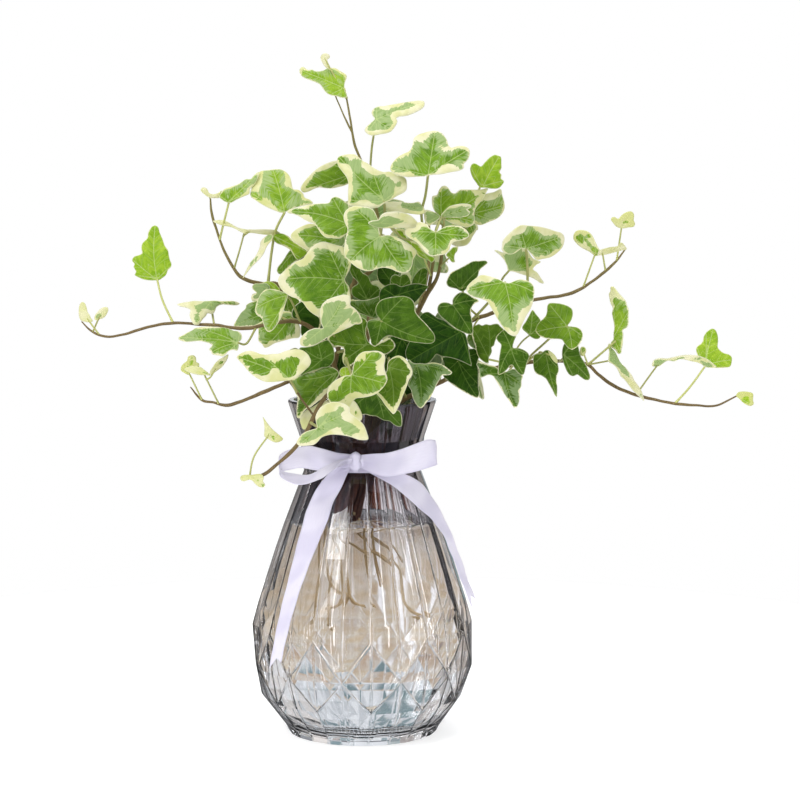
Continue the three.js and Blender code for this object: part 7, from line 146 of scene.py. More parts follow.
 ["58b","C3","ul",0,[-53.64,-14.8,240.03],[0.9698,0.2212,-0.1026],[0.0083,-0.4507,-0.8927],[16.2,0],[-0.0398,-0.0008,-0.0004,0],[8.5,0.2],[-0.2,-1.8,-0.3,1.8,3.7,2.9,8.4,3.4,13.1,3.6,16.3,0,14.7,-2.2,11.2,-1.3,6.4,-1.2,2.6,-1],[-52.2,-15,240.2,0.4,-54.2,-14,238.8,0.4,-55.5,-11.8,238,0.4]],
 ["59","P","ul",0,[-42.09,-20,237.97],[-0.6002,-0.0651,-0.7972],[-0.6427,-0.5541,0.5292],[20,0],[-0.0552,-0.0014,0.0003,0.0003],[5.1,-3],[0.3,-3.2,-0.8,0.3,1.1,2.9,4.9,2.3,9,3.4,13.6,3.2,17.5,2,21.8,1.2,23.6,0.9,20.4,0,15.9,-1.2,11.5,-0.6,7.4,-2,4.6,-5,2.4,-4.7],[-42.9,-19.9,237.1,0.4,-41.6,-16,237,0.4,-41.6,-11.8,235.1,0.4]],
 ["60","C2","ul",0,[-70.62,-12,256.13],[-0.8159,0.0024,0.5782],[0.1615,-0.9592,0.2318],[5.7,0],[-0.1873,-0.004,-0.0001,-0.0032],[-2,-5.4],[-0.1,0.5,2.3,0.8,5.9,0.1,5.7,-1.7,3.8,-2.2,1.9,-1.1,0,-1.7,-1.5,-3.7,-2.2,-6,-2.8,-3.5,-3.2,-2,-1.8,-0.7],[-71.1,-11.8,256.9,0.4,-71.1,-10.6,255.7,0.4]],
 ["61","G3","fl",1,[-42.16,-14.36,202.31],[-0.9474,0.0654,-0.3133],[-0.1843,-0.9117,0.3671],[19.5,0],[-0.0868,-0.0045,-0.0006,-0.0032],[7.7,-8.4,6.4,4.9],[-1.2,-0.7,-0.6,-4.7,1.7,-7.8,4.5,-8.8,7.1,-8.5,9.2,-8.6,11.1,-8.1,12,-6.4,14.6,-5.1,17.2,-2.9,19.6,0,16.4,2,11.6,3.5,6.6,5.3,2.5,5.2,-0.7,2.8],[-42.2,-14.4,202.3,0.5,-33.4,-26.5,198.6,0.5]],
 ["61b","P2","fl",0,[-44.32,-9.03,213.4],[-0.7824,0.1007,-0.6146],[-0.1951,-0.9768,0.0883],[10,0],[-0.0948,-0.0061,-0.0006,-0.0055],[5.4,-5.4],[-1.1,0.2,-0.6,-2.5,1.9,-4.2,4.4,-5.9,6.1,-5.3,6.3,-3.3,5.8,-1.7,7.8,-2.5,9.5,-1.4,10,0,7.5,1.6,4.2,2.1,0.8,1.8],[-45.2,-8.8,213.1,0.4,-42.4,-9.7,207.8,0.4,-37,-27.8,198.4,0.4]],
 ["61c","Y3","ul",0,[-39.67,-7.97,211.94],[-0.9719,0.1009,0.2129],[-0.055,-0.9758,0.2117],[9.2,0],[-0.0939,-0.0062,-0.0007,-0.0062],[5.7,-3.2],[-1,0,1.4,-2.7,4.9,-3.8,8,-2.5,9.4,-0.5,8.1,1.9,5.5,1.5,2.7,1.1],[-41.6,-7.4,213.3,0.4,-37.9,-5.4,212.8,0.4,-36,-0.7,207,0.4]],
 ["62","V2","fl",1,[-33.43,-19.73,199.75],[-0.6579,0.0022,-0.7531],[-0.0752,-0.9952,0.0628],[18.3,0],[-0.1011,-0.0063,-0.0003,-0.0061],[15.1,-7.3,3.2,7.6],[-2.4,-0.8,-0.6,-4.3,2.7,-6.6,6.7,-8.2,11.1,-9.5,15.3,-11.1,14.1,-8.2,15.7,-6.6,18.1,-4.4,18.1,-2.1,18.6,-0.1,17.3,1,14.1,2.1,10.8,4.2,6.7,6.9,4,9.1,1.1,7.3,-0.4,5.4,-0.9,3.1],[-33.4,-19.7,199.8,0.5,-30.6,-19.7,198.8,0.5,-28.4,-24,197.8,0.5]],
 ["63","M2","cr",1,[2.84,-38,188.42],[-0.825,-0.05,-0.563],[-0.0164,-0.9935,0.1123],[14,0],[0.1015,-0.0087,-0.0001,-0.0087],[-4.5,-10.6,13.2,-11.7,-9.9,7.5],[-1.4,-0.7,-2,-3.4,-3.6,-6.2,-5.8,-7.8,-6,-10.1,-4.8,-11.9,-0.6,-12.2,4.8,-12.6,9.9,-13.3,13.3,-12.9,14.3,-10.6,13.5,-7.6,11.1,-6.6,10,-3.9,12.6,-1.8,13.8,0.9,13,3.5,8.7,3.7,4.4,3.9,1.2,5.9,-2.3,8,-6.3,8.7,-9.7,8.2,-10.8,5.8,-10.1,3.2,-6.1,2.4,-2.4,2.1],[2.8,-38,188.4,0.6,5,-28,184.4,0.6,6.5,-14.3,179,0.6,12.1,2,171,0.6]],
 ["64","Y3","ul",0,[-41,-14.95,237.93],[0.9057,0.1111,-0.4092],[0.2454,-0.9243,0.2922],[17.5,0],[-0.1694,-0.0042,0.0004,-0.0062],[15.3,-4.1],[0.1,-1.5,-0.2,0.7,2.6,2.8,6.1,3.1,9.7,1.7,13.1,1.1,17.6,0.4,17.7,-1.1,16.2,-3.7,14.8,-5.3,13.1,-4.9,9.5,-2.8,5.7,-2.3,2.7,-2.6],[-39.4,-14.8,237.1,0.4,-41.6,-13,236.5,0.4,-41.7,-11.3,234.3,0.4]],
 ["65","G3","ul",0,[-31.18,-6,230.3],[-0.6967,0.1022,-0.7101],[-0.2051,-0.9769,0.0606],[11.3,0],[-0.0913,-0.006,-0.0006,-0.0069],[6.5,-1.9],[-0.9,-0.2,1,-2.6,3.8,-2.5,6.5,-1.9,8.9,-1.6,11.4,-1.4,13.1,-0.4,13.2,1.7,9.6,2.4,5.4,2.5,1.2,3.2],[-32.1,-5.8,229.7,0.4,-28.7,0.1,220.7,0.4,-29.8,1.9,198.5,0.4]],
 ["66","D","fl",0,[-30.56,-20.9,200.74],[0.7354,0.1018,0.6699],[0.141,-0.99,-0.0044],[9,0],[-0.101,-0.0083,-0.0003,-0.0079],[4.2,3.1],[-1.7,0.3,-0.6,2.4,2,3.6,4.7,3.7,7.2,2.9,7.3,-0.4,7.6,-2.9,8.3,-6.4,8.1,-8.8,5.9,-11.3,3.3,-12.1,-0.6,-10,-4.2,-9,-1.8,-5.3,0,-4.2,-0.4,-1.9],[-30.6,-20.9,201.1,0.5,-29.2,-20.3,198.8,0.5,-28.4,-24,197.8,0.5]],
 ["67","G","fl",0,[-34.41,-10,201.64],[-0.1147,0.0998,0.9884],[0.0866,-0.9901,0.11],[8.1,0],[-0.0992,-0.0082,-0.0002,-0.0081],[4.1,2.8,4.3,-4.8],[-1,-0.8,0.7,1.8,4.1,2.8,7.4,1.7,9.1,-0.1,7.9,-2.4,5.7,-5.4,4.2,-5.7,2.5,-3.6,0.3,-1.9],[-34.5,-9.8,203,0.4,-32.8,-14.7,200,0.4,-30,-24.9,198.3,0.4]],
 ["68a","G2","cr",0,[18,-16,213.17],[0.1381,0.1007,0.9853],[0.1111,-0.9901,0.0856],[7.1,0],[0.0985,-0.0083,-0.0003,-0.0084],[3.1,4.7,4.9,-4.1],[-0.6,3.9,3,5.2,5.5,4.6,6.5,2.8,6,1,7.2,-0.5,7.3,-2.3,5.3,-4,3.5,-4.7,0.6,-4.2,-0.9,-0.6],[18.4,-15.9,213.8,0.4,25,-4,198.7,0.4]],
 ["68b","G2","cr",0,[25.99,-14,214.04],[0.2628,0.101,0.9595],[0.1201,-0.9902,0.0713],[9.3,0],[0.0989,-0.0082,-0.0003,-0.0087],[6.3,-3.2],[-0.7,2.5,3.6,3,6.8,1.8,9,0.4,9.8,-1.3,9.1,-2.8,6.3,-3.3,2.5,-3.9,-0.3,-2.5,-1.5,0.1],[26,-14,214.6,0.4,27.5,-8,209.6,0.4,29.2,-6.9,207.4,0.4]],
 ["69","D3","cr",0,[15.45,-28,210.34],[0.9672,0.052,0.2485],[0.0748,-0.9937,-0.0832],[16.5,0],[0.1185,-0.0073,-0.0006,-0.0073],[-3.9,4.4,7.8,-4.4],[-7.2,-0.1,-6.2,3.6,-4.2,5.3,-0.7,6,2,5.3,4,3.6,6.9,3.5,10.2,3.3,13.8,2,16.5,0,14.9,-1.2,12,-3.2,9.6,-4.8,7.4,-5.8,4.3,-4.9,-0.1,-3.3,-3.8,-2.8,-6.5,-2.2],[15.5,-28,210.2,0.5,16.1,-18,205.3,0.5,18.6,-7.1,199.4,0.5,23.4,-3,195.4,0.5]],
 ["70","G2","cr",0,[42.9,-22,226.58],[0.2213,0.1016,0.9699],[0.2042,-0.9773,0.0557],[6.5,0],[-0.1905,-0.0042,0,-0.0046],[1.5,2.9],[1.8,3.9,4.5,2.6,6.1,1.6,6.9,-0.7,4.8,-0.8,3,0,0.8,-0.2,-0.5,-0.9,-0.9,0.5,0.4,2.2],[41.8,-21.8,228.8,0.4,36.8,-11.1,223.6,0.4]],
 ["71","Y3","cr",0,[32.37,-26,226.25],[-0.7621,0.208,0.6132],[-0.3762,-0.913,-0.1579],[23.7,0],[-0.1621,-0.0022,0,-0.0068],[9.9,-2.4],[-0.5,0.3,1.6,0.4,4,1.5,6.6,2.1,9.8,1,14,0.2,18.2,0.6,21.8,0.9,24.9,0.6,22.5,-1.6,18.9,-3.5,17.4,-2.1,14.1,-1.4,10.7,-2.7,6.9,-2.1,3.4,-1.5,-0.3,-2.5,-1,-1.4],[28.5,-24.9,229.3,0.4,32.6,-10,219.1,0.4]],
 ["72","G","ll",1,[-17.85,-40.25,181.67],[-0.7947,0.0002,-0.607],[-0.0621,-0.9948,0.081],[11.7,0],[0.101,-0.0105,-0.0003,-0.0105],[-3.2,-7.1,-5.9,0.7,3.5,-8.2],[2.2,3.1,4.1,2.5,6.8,1.5,9.7,0.6,12.2,-0.1,10.3,-2.4,7.8,-5.7,6.6,-8.8,4.9,-10.5,2.3,-9,-1.1,-7.4,-5.1,-6.6,-7.7,-5.5,-7.9,-3.5,-7.5,-1,-6.2,1.5,-4.4,3.5,-1.9,4.5,0.1,4.4],[-17.9,-40.3,181.7,0.5,-13.1,-10.6,170.5,0.5]],
 ["73","D3","cr",0,[18.93,-27.8,190.39],[-0.3512,0.0011,-0.9363],[-0.0943,-0.995,0.0342],[9.5,0],[-0.0003,-0.0085,-0.0002,-0.0085],[3.6,4.8],[1.5,-6.5,-0.1,-3.6,-1,0.1,-1.2,4.5,3.1,6.1,6.9,5.5,9.6,3.5,9.7,0.6,11.6,-1.7,10.1,-4.3,6.5,-2.6,4.2,-1.9,2.4,-3.6],[18.6,-27.8,189.7,0.4,18.9,-14.7,183.5,0.4,14.4,1.4,176.6,0.4]],
 ["74","G2","top",0,[2.96,-14,207.93],[-0.4399,0.1017,0.8923],[0.0435,-0.99,0.1343],[17,0],[0.099,-0.0068,-0.0002,-0.0071],[5.4,2.6,2.6,-7.5],[-0.9,1.5,1.8,3.8,5.4,5.7,8.4,4.3,9.3,0.7,13.5,1.7,17.6,1.3,20.1,-1.5,17.5,-3.4,13.2,-3.3,10.2,-5,6,-5,3.9,-7.1,0.7,-7.1,-1.2,-4.6,-2.3,-1.5],[3.2,-14,208.2,0.5,-5.5,0.2,194.5,0.5]],
 ["75","D2","top",0,[4.94,-22,199.86],[-0.8138,0.1023,0.572],[-0.0248,-0.9896,0.1417],[11.6,0],[-0.0989,-0.0098,-0.0005,-0.0097],[8,-3.1,1.4,-6.6],[-2,-1.2,1.9,0.5,5.8,1.5,9.2,2.4,13.3,1.7,13.5,-1,10.8,-2.9,7.3,-5.3,4.8,-8.3,2.4,-11.2,-1,-9,-2.1,-5],[5,-21.5,201.8,0.5,0.5,-7.7,190.4,0.5,-4.5,2.1,185.8,0.5]],
 ["76","D","top",0,[14.23,-10,216.26],[-0.5933,0.0999,0.7987],[0.0184,-0.9903,0.1375],[9.5,0],[-0.0999,-0.0098,-0.0002,-0.0095],[3.5,-5],[-2.3,1.7,0.8,4.1,4.7,4.7,8.1,2.8,10.3,-0.6,7.3,-3,5.6,-5.3,3.2,-7.1,-0.1,-3.4,-2.6,-0.4],[14.3,-10,216,0.4,10.4,0.1,207.4,0.4,3.6,4.1,196.7,0.4,-5,1.2,190.2,0.4]],
 ["77","D3","top",0,[-9.11,13,181.69],[-0.2345,0.0008,-0.9721],[-0.0922,-0.9955,0.0214],[13,0],[-0.096,-0.0058,-0.0002,-0.0057],[7.2,-4.9,4.7,5.5],[-1.4,-0.3,-0.7,2.8,2.7,5.6,6.7,5.5,11.2,3.5,14,0.2,11.4,-3.4,6.5,-6.1,2.3,-5.1,-0.2,-3.1],[-9.3,13,181.1,0.5,-3.2,5,171.6,0.5]],
 ["78","Y3","top",0,[-6.63,-46,174.11],[-0.0976,0.1029,0.9899],[0.091,-0.9896,0.1119],[4.6,0],[-0.1024,-0.0071,-0.0001,-0.0071],[2.5,2.5],[-0.2,-0.4,0.7,-2.1,2.5,-2.8,4,-1.8,4.7,0,4.1,1.9,2.6,2.8,0.7,2.5,-0.2,0.9],[-6.8,-45.8,175.5,0.4,-5.4,-34.1,170.7,0.4,-4.5,-20,166.9,0.4,-3.9,-5.9,161.9,0.4,-2.2,5.3,163.1,0.4]],
 ["79","D3","cr",0,[11.24,10,182.85],[0.0577,0.0006,-0.9983],[-0.0945,-0.9955,-0.0061],[14.6,0],[-0.096,-0.0052,-0.0001,-0.0052],[5.6,-4.8,5.2,5.9],[-1.6,-2.4,-2.3,2.1,0.3,5.7,6.2,6.3,11.9,4,14.6,0,11.5,-3.7,5.6,-5.3,0.8,-4.5],[11.2,10,182.7,0.5,14.4,1.4,176.6,0.5]],
 ["80","D3","cr",0,[18.97,12,169.63],[0.2338,0.0008,-0.9723],[-0.0914,-0.9956,-0.0228],[12.1,0],[-0.0957,-0.0062,-0.0001,-0.0062],[4.5,-4.7,6.9,5.7],[-1.6,-0.6,-1.3,4.3,3,6.2,8.3,5.1,11.8,1.6,11.1,-2.3,7,-4.8,2.1,-4.1],[19.1,12,169.2,0.4,10.4,2.4,166.9,0.4]],
 ["b1","V","b1",1,[-5.57,33.4,248.25],[-0.0885,0.4979,-0.8627],[-0.2962,0.8138,0.5],[24,0],[-0.08,-0.0083,0,-0.0067],[11,13.9,11,-13.9,-4.8,8.4,-4.8,-8.4],[-0.2,0.5,-2.2,3,-5.4,5.7,-4.6,8.7,-0.8,10.9,2.6,10.1,4.7,8.8,6.6,10.7,9.3,13.1,11.8,12.9,11.7,9.7,12.8,6.1,15.9,5,20.5,3.5,23.9,0.3,20.4,-3,15.6,-4.4,12.7,-5.7,12.1,-9.5,11,-12.4,8.3,-12.9,6.3,-10.5,4.7,-8.7,2.5,-10.5,-1.3,-10.9,-4.9,-8.2,-5,-5.6,-2.2,-2.9,-0.1,-0.7],[-5.6,33.4,248.3,0.5,-4.7,30.3,249.8,0.5,-12,34,248.9,0.5,-18.4,34.6,252.7,0.5]],
 ["b2","V","b1",0,[-19.56,39,236.44],[-0.508,0.1291,-0.8517],[-0.5198,0.7424,0.4226],[26,0],[-0.08,-0.0077,0,-0.0062],[12,15.1,12,-15.1,-5.2,9.1,-5.2,-9.1],[0.1,0.6,-2.3,3.5,-5.4,6.6,-5.1,10.1,-1,12.7,2.9,11.8,5.4,9.9,7.1,12.5,9.7,15,12.7,14.8,12.7,11.2,13.2,6.8,16.9,5.3,22.2,3.4,26.1,-0.2,21.8,-3.7,16.9,-5,14.1,-6.6,13,-11.1,11.9,-14.9,9,-15.2,6.4,-12.6,5.3,-10.2,2.5,-12.1,-1.2,-12.7,-5.2,-9.9,-5.6,-6.1,-2.6,-3.3,-0.4,-0.5],[-20.4,39.2,235.1,0.5,-17,37.1,238.2,0.5,-20,36.8,228.3,0.5,-20.4,34.4,222.6,0.5]],
 ["b3","G","b1",0,[-11.8,43.2,226.49],[0.229,0.3517,-0.9077],[-0.0819,0.9361,0.342],[30,0],[-0.08,-0.0067,0,-0.0053],[13.8,17.4,13.8,-17.4,-6,10.5,-6,-10.5],[-0.4,1.2,-3.3,4.6,-6.5,8.1,-6.2,12.2,-1.5,15.4,2.6,14.7,6.2,12.5,8.1,15.3,11,18.9,14.1,18.2,15.4,13.5,15.9,8.8,20.2,7.4,25.4,4.6,29.8,0.6,25.5,-4.3,19.6,-6.2,16.2,-8,14.6,-13.6,13.7,-18.1,11,-18.4,7.5,-15.1,6.4,-11.9,2.8,-14.5,-1.1,-15.6,-6.2,-12.2,-6.3,-7.7,-2.5,-3.7,0,-1.1],[-11.5,43.7,225.1,0.5,-12.3,40.3,228.5,0.5,-15.9,38.5,221.2,0.5,-20.1,33.6,218.4,0.5]],
 ["b4","D","b1",1,[-14.34,43.2,203.65],[-0.4327,0.4321,-0.7912],[-0.2802,0.7698,0.5736],[26,0],[-0.08,-0.0077,0,-0.0062],[12,15.1,12,-15.1,-5.2,9.1,-5.2,-9.1],[0.1,0.8,-2.6,3.6,-5.5,6.6,-5,10,-1.2,12.9,2.4,12.2,5,10.1,7.1,12.7,9.5,15.5,12.7,15,13.3,11.3,13.9,6.5,17.4,5.5,22,3.5,25.6,-0.5,21.5,-4.3,16.8,-5.9,13.9,-6.9,12.5,-11.9,11.5,-15.2,9.2,-15.6,7.1,-12.7,5.3,-10.2,2.3,-12.4,-1.6,-13,-5.2,-9.8,-5.7,-6.2,-2.3,-3.5,-0.2,-0.7],[-14.3,43.2,203.7,0.5,-12.5,40.4,204.9,0.5,-16.4,36.7,203.4,0.5,-18.3,30.2,205.9,0.5]],
 ["b5","V","b1",0,[-29.93,44.6,180.63],[-0.0663,0.691,-0.7198],[-0.4394,0.6275,0.6428],[24,0],[-0.08,-0.0083,0,-0.0067],[11,13.9,11,-13.9,-4.8,8.4,-4.8,-8.4],[-0.2,0.7,-2.4,3.1,-4.9,5.6,-4.9,8.9,-1.3,11,2.3,10.3,4.6,9.1,6.7,11.2,9.1,13.5,11.9,13,12.1,9.7,12.4,5.8,15.8,4.7,20.2,2.9,24.1,-0.3,20.3,-3.5,16.1,-4.7,12.7,-6.3,12.1,-10,10.7,-13.6,8.5,-13.4,6.4,-11,5.1,-8.9,1.9,-10.9,-1,-11.4,-4.7,-8.6,-4.9,-5.5,-2.1,-2.9,0.3,-0.6],[-30.7,45.3,179.3,0.5,-28.9,41.3,181.5,0.5,-24.3,40.3,176.4,0.5,-18.7,36,175.2,0.5]],
 ["b6","M","b1",0,[-16.82,40.4,176.92],[-0.3258,0.3571,-0.8754],[-0.1574,0.8925,0.4226],[26,0],[-0.08,-0.0077,0,-0.0062],[12,15.1,12,-15.1,-5.2,9.1,-5.2,-9.1],[0.1,0.8,-2.7,3.7,-5.7,7.1,-4.9,11.3,-1.2,14.1,2.9,12.9,5,11.4,6.6,13.7,9.8,16.4,12.6,16.3,12.7,12,13.9,7.5,16.9,5.8,21.9,3.5,26.2,-0.2,22,-4.6,17,-5.9,14.1,-7.6,12.8,-12.5,11.9,-16.5,9.4,-17.1,6.4,-13.7,5,-11.2,2.1,-13.6,-1.2,-13.9,-5.2,-11,-5.1,-7.2,-2.2,-3.7,0.2,-0.8],[-17.5,41,175.3,0.5,-15.5,37.5,178.7,0.5,-23.5,40,173.4,0.5,-30.2,39.5,173,0.5]],
 ["b7","P","b2",0,[45.53,34.8,251.19],[-0.0403,0.5206,-0.8529],[0.2241,0.8365,0.5],[19,0],[-0.08,-0.0105,0,-0.0084],[8.7,11,8.7,-11,-3.8,6.6,-3.8,-6.6],[0.2,0.6,-1.7,2.8,-4,5.4,-3.7,8.2,-0.6,10,2,9.3,3.6,8.2,5.4,9.8,7,11.9,9.4,11.7,9.8,8.6,9.7,5.1,12.5,4.3,15.8,2.5,19,-0.4,15.7,-3.4,12.3,-4.4,10.1,-5.5,9.4,-9.2,8.7,-12.1,6.9,-12,5.1,-9.8,3.9,-8.1,1.9,-9.8,-1.2,-10,-3.9,-7.9,-4,-5.1,-1.7,-2.8,-0.2,-0.8],[45.9,35.5,249.7,0.5,45.2,31.6,252.7,0.5,38.6,35.4,248,0.5,31.8,36,247.8,0.5]],
 ["b8","V","b2",0,[26.93,43.2,235.41],[-0.0987,0.44,-0.8925],[0.1574,0.8925,0.4226],[29,0],[-0.08,-0.0069,0,-0.0055],[13.3,16.8,13.3,-16.8,-5.8,10.1,-5.8,-10.1],[-0.3,0.9,-3.2,3.7,-6.8,7.5,-5.5,11,-0.9,14,2.8,13.5,6.1,10.9,8.3,13.9,11.1,16.8,13.5,16.1,14.7,12.5,14.9,7.7,19.4,6,24.3,3.7,28.8,0.1,24.7,-4.3,19.1,-5.8,15.6,-7.5,14.4,-12.5,13.2,-16.8,10.6,-17.1,7.9,-14,6.1,-11.2,2.9,-13.5,-1.2,-13.9,-6.5,-11.1,-6.4,-7.3,-2.5,-3.5,0.1,-0.6],[26.7,43.9,234,0.5,26.9,40.1,237.2,0.5,29.4,39.6,240.1,0.5,31.8,36,247.8,0.5]],
 ["b9","V","b2",1,[15.01,44.6,209.57],[-0.1301,0.5057,-0.8529],[0.0755,0.8627,0.5],[27,0],[-0.08,-0.0074,0,-0.0059],[12.4,15.7,12.4,-15.7,-5.4,9.4,-5.4,-9.4],[-0.2,0.9,-2.7,4,-5.9,7.7,-5.4,11.5,-1.1,14.3,2.9,13.8,5.2,11.5,7.4,14.6,10.6,17.5,12.8,17,13.6,13,14.1,7.8,17.6,6.4,22.5,4.4,27.3,0.4,22.6,-4.2,17.7,-6.1,14,-7.9,13.2,-13,11.8,-16.9,9.6,-17.3,6.7,-13.9,5.2,-11.6,2.1,-14,-1.4,-14.6,-5.6,-11.3,-5.5,-7.1,-2.4,-3.6,0.1,-1.1],[15,44.6,209.6,0.5,15.3,41.4,211.1,0.5,22,38.5,207.2,0.5,28.9,32.2,207.4,0.5]],
 ["b10","G","b2",0,[33.87,39,196.89],[0.2113,0.366,-0.9063],[0.4532,0.7849,0.4226],[28,0],[-0.08,-0.0071,0,-0.0057],[12.9,16.2,12.9,-16.2,-5.6,9.8,-5.6,-9.8],[0.3,0.9,-2.4,3.9,-5.7,7.2,-5.9,11.4,-0.8,14.6,3,13.5,5.4,11.5,7.8,14.2,10.9,17.4,13.5,17,13.8,12.5,14.8,7.9,18.6,6.6,23.7,4,28.2,0.5,23.8,-4,18.5,-6,14.9,-7.6,13.7,-13.1,12.9,-16.7,10.5,-17.2,7.5,-13.8,5.7,-11.4,2.3,-13.9,-1.4,-14.4,-6.3,-11.2,-5.6,-7,-2.9,-3.8,0.1,-0.9],[34.9,39.1,195.3,0.5,32.3,36.3,198.8,0.5,29.5,33.5,194.8,0.5,25,27.9,195.4,0.5]],
 ["b11","V","b2",0,[45.85,40.4,179.91],[0.6085,0.193,-0.7698],[0.5265,0.6275,0.5736],[27,0],[-0.08,-0.0074,0,-0.0059],[12.4,15.7,12.4,-15.7,-5.4,9.4,-5.4,-9.4],[-0.3,0.7,-2.8,3.7,-5.9,6.8,-5.5,10.5,-0.8,13.2,2.7,12.4,5.8,10.4,7.2,13,9.9,15.4,12.6,15.2,13.2,11.2,14.2,6.8,17.6,5.4,22.9,3.4,27.1,-0.1,22.3,-3.9,18.2,-5.5,14.7,-7.4,13,-12.1,12.5,-15.5,9.5,-15.7,7.3,-12.7,5.6,-10.7,2.1,-12.4,-1.1,-13.2,-5.8,-10.2,-5.5,-6.4,-2.3,-3.6,0.3,-0.5],[45.9,41.4,178.5,0.5,43,38.6,181.1,0.5,45.9,42.5,171.8,0.5,46,44.6,166.6,0.5]],
 ["b12","G","b2",0,[44.03,47.4,179.45],[0.3214,0.5567,-0.766],[0.383,0.6634,0.6428],[21,0],[-0.08,-0.0095,0,-0.0076],[9.7,12.2,9.7,-12.2,-4.2,7.3,-4.2,-7.3],[-0.2,0.8,-2.3,2.9,-4.5,5.6,-4.2,8.8,-0.9,10.8,2.2,10,4,8.5,5.9,10.7,8.3,13,9.8,12.5,10.5,9.3,10.9,6,13.8,4.7,17.4,3.2,21,0,17.8,-3.3,14.1,-4.3,11.4,-5.6,10.4,-9.4,9.3,-12.5,7.5,-13,5.2,-10.7,3.9,-8.6,1.7,-10.4,-1.1,-10.7,-4.6,-8.5,-4.3,-5.3,-1.8,-2.6,-0.2,-0.7],[44.6,48.1,178.4,0.5,42.3,44.4,180.5,0.5,42.5,43.5,172.7,0.5,41.1,39.5,169,0.5]],
 ["b13","V","b3",0,[4.85,64.4,247.28],[0,-0.6428,0.766],[0,0.766,0.6428],[26,0],[-0.08,-0.0077,0,-0.0062],[12,15.1,12,-15.1,-5.2,9.1,-5.2,-9.1],[0.1,0.7,-2.6,3.9,-5.4,6.8,-5.3,10.7,-0.9,13.3,2.4,12.6,5.5,10.6,7.1,13.2,10.2,15.5,12.5,15.1,13.2,11.6,13.7,7.1,16.8,5.6,22,3.6,25.6,-0.1,22.2,-4.3,17.5,-5.5,13.8,-6.9,13.1,-11.6,11.4,-15.4,9.3,-15.7,6.4,-12.9,4.9,-10.6,2.2,-12.7,-1.4,-13.4,-5.5,-10.3,-5.2,-6.4,-2.7,-3.4,0.1,-0.7],[4.8,63.3,248.6,0.5,4.8,64.8,243.7,0.5,5.2,62.5,239.7,0.5,5.5,60.4,234.1,0.5]],
 ["b14","V","b3",0,[-1.38,71.76,235.09],[-0.3235,0.4422,-0.8365],[-0.1205,0.8576,0.5],[30,0],[-0.08,-0.0067,0,-0.0053],[13.8,17.4,13.8,-17.4,-6,10.5,-6,-10.5],[-0.1,0.6,-3.2,4,-6.9,7.5,-5.7,11.2,-1.5,13.9,3.2,12.9,5.9,10.9,8,13.6,11,16.4,14.5,16,14.6,12.3,15.2,7.1,20,6,25.4,3.6,30.4,-0.7,25,-4.7,19.7,-6.2,15.6,-8,14.4,-12.7,13.9,-16.8,10.8,-16.8,7.5,-13.5,6.2,-11.1,3.1,-13.3,-1.8,-14,-6.3,-11,-6.6,-7,-2.4,-3.5,0.2,-0.6],[-2.6,72.1,234,0.5,-0.2,68.7,236.6,0.5,1.8,66.3,230.6,0.5,4.9,60.8,229.5,0.5]],
 ["b15","G","b3",0,[11.86,73.6,223.85],[0.394,0.3457,-0.8517],[0.1261,0.8975,0.4226],[28,0],[-0.08,-0.0071,0,-0.0057],[12.9,16.2,12.9,-16.2,-5.6,9.8,-5.6,-9.8],[-0.4,0.8,-2.4,4.3,-6,8,-5.7,12.1,-1.2,15,2.4,14.1,5.2,12,7.6,14.9,10.4,18,13.2,17.4,13.7,12.9,14.8,8.1,18.7,6.8,23.7,4.4,28.3,0,23.9,-4.5,18.4,-6.5,14.5,-8.3,13.3,-13.4,12.7,-17.8,9.7,-18.2,7.4,-14.4,5.9,-11.8,2.9,-14.3,-1.4,-14.9,-6.2,-11.8,-5.9,-7.5,-2.5,-3.8,0.1,-0.9],[11.9,74.2,222.4,0.5,10.4,70.8,225.6,0.5,8.2,67,223.2,0.5,4.4,60.6,225.4,0.5]],
 ["b16","V","b3",0,[-0.44,73.6,204.43],[-0.2023,0.4031,-0.8925],[-0.0632,0.9041,0.4226],[31,0],[-0.08,-0.0065,0,-0.0052],[14.3,18,14.3,-18,-6.2,10.8,-6.2,-10.8],[0.3,0.7,-3.5,4.6,-6.4,8.2,-6.7,12.8,-1.7,16.2,3.3,15.3,6.1,13.1,7.9,16.4,12.1,19.3,14.7,18.5,15.6,13.9,15.9,8.8,20.1,7.1,26.4,4.1,31.4,-0.3,26.1,-5.3,20.8,-6.8,16.2,-8.8,15.1,-14.7,13.9,-18.9,11.5,-19.2,8.4,-16.2,6,-13,2.8,-15.8,-1.5,-16.4,-6.6,-12.6,-6.2,-8.2,-3.1,-4.4,-0.2,-1.3],[-0.4,74.3,202.8,0.5,0.3,70.6,206.3,0.5,1.2,65.3,205.3,0.5,2.9,56.8,208.6,0.5]],
 ["b17","V","b3",0,[-2.26,58.88,171.6],[-0.2702,0.3211,-0.9077],[-0.0328,0.9391,0.342],[27,0],[-0.08,-0.0074,0,-0.0059],[12.4,15.7,12.4,-15.7,-5.4,9.4,-5.4,-9.4],[0.1,1.1,-3,4.2,-5.6,7.4,-5.4,11.6,-0.9,14.7,3.1,13.5,5.1,11.9,7.6,14.8,9.9,17.6,12.9,17.2,13.6,12.9,13.7,7.8,17.8,6.8,22.8,4.5,27.3,0.4,22.9,-4.3,18,-5.9,14.5,-7.8,13.3,-12.9,12.2,-17.3,10,-17.3,6.8,-14.3,5.1,-11.5,2.2,-14.1,-1,-14.5,-5.5,-11.6,-5.5,-7.1,-2.8,-3.7,-0.1,-1],[-2.6,59.4,170.1,0.5,-1.4,56,173.6,0.5,-0.3,50.6,175.9,0.5,1.7,42.5,183.2,0.5]],
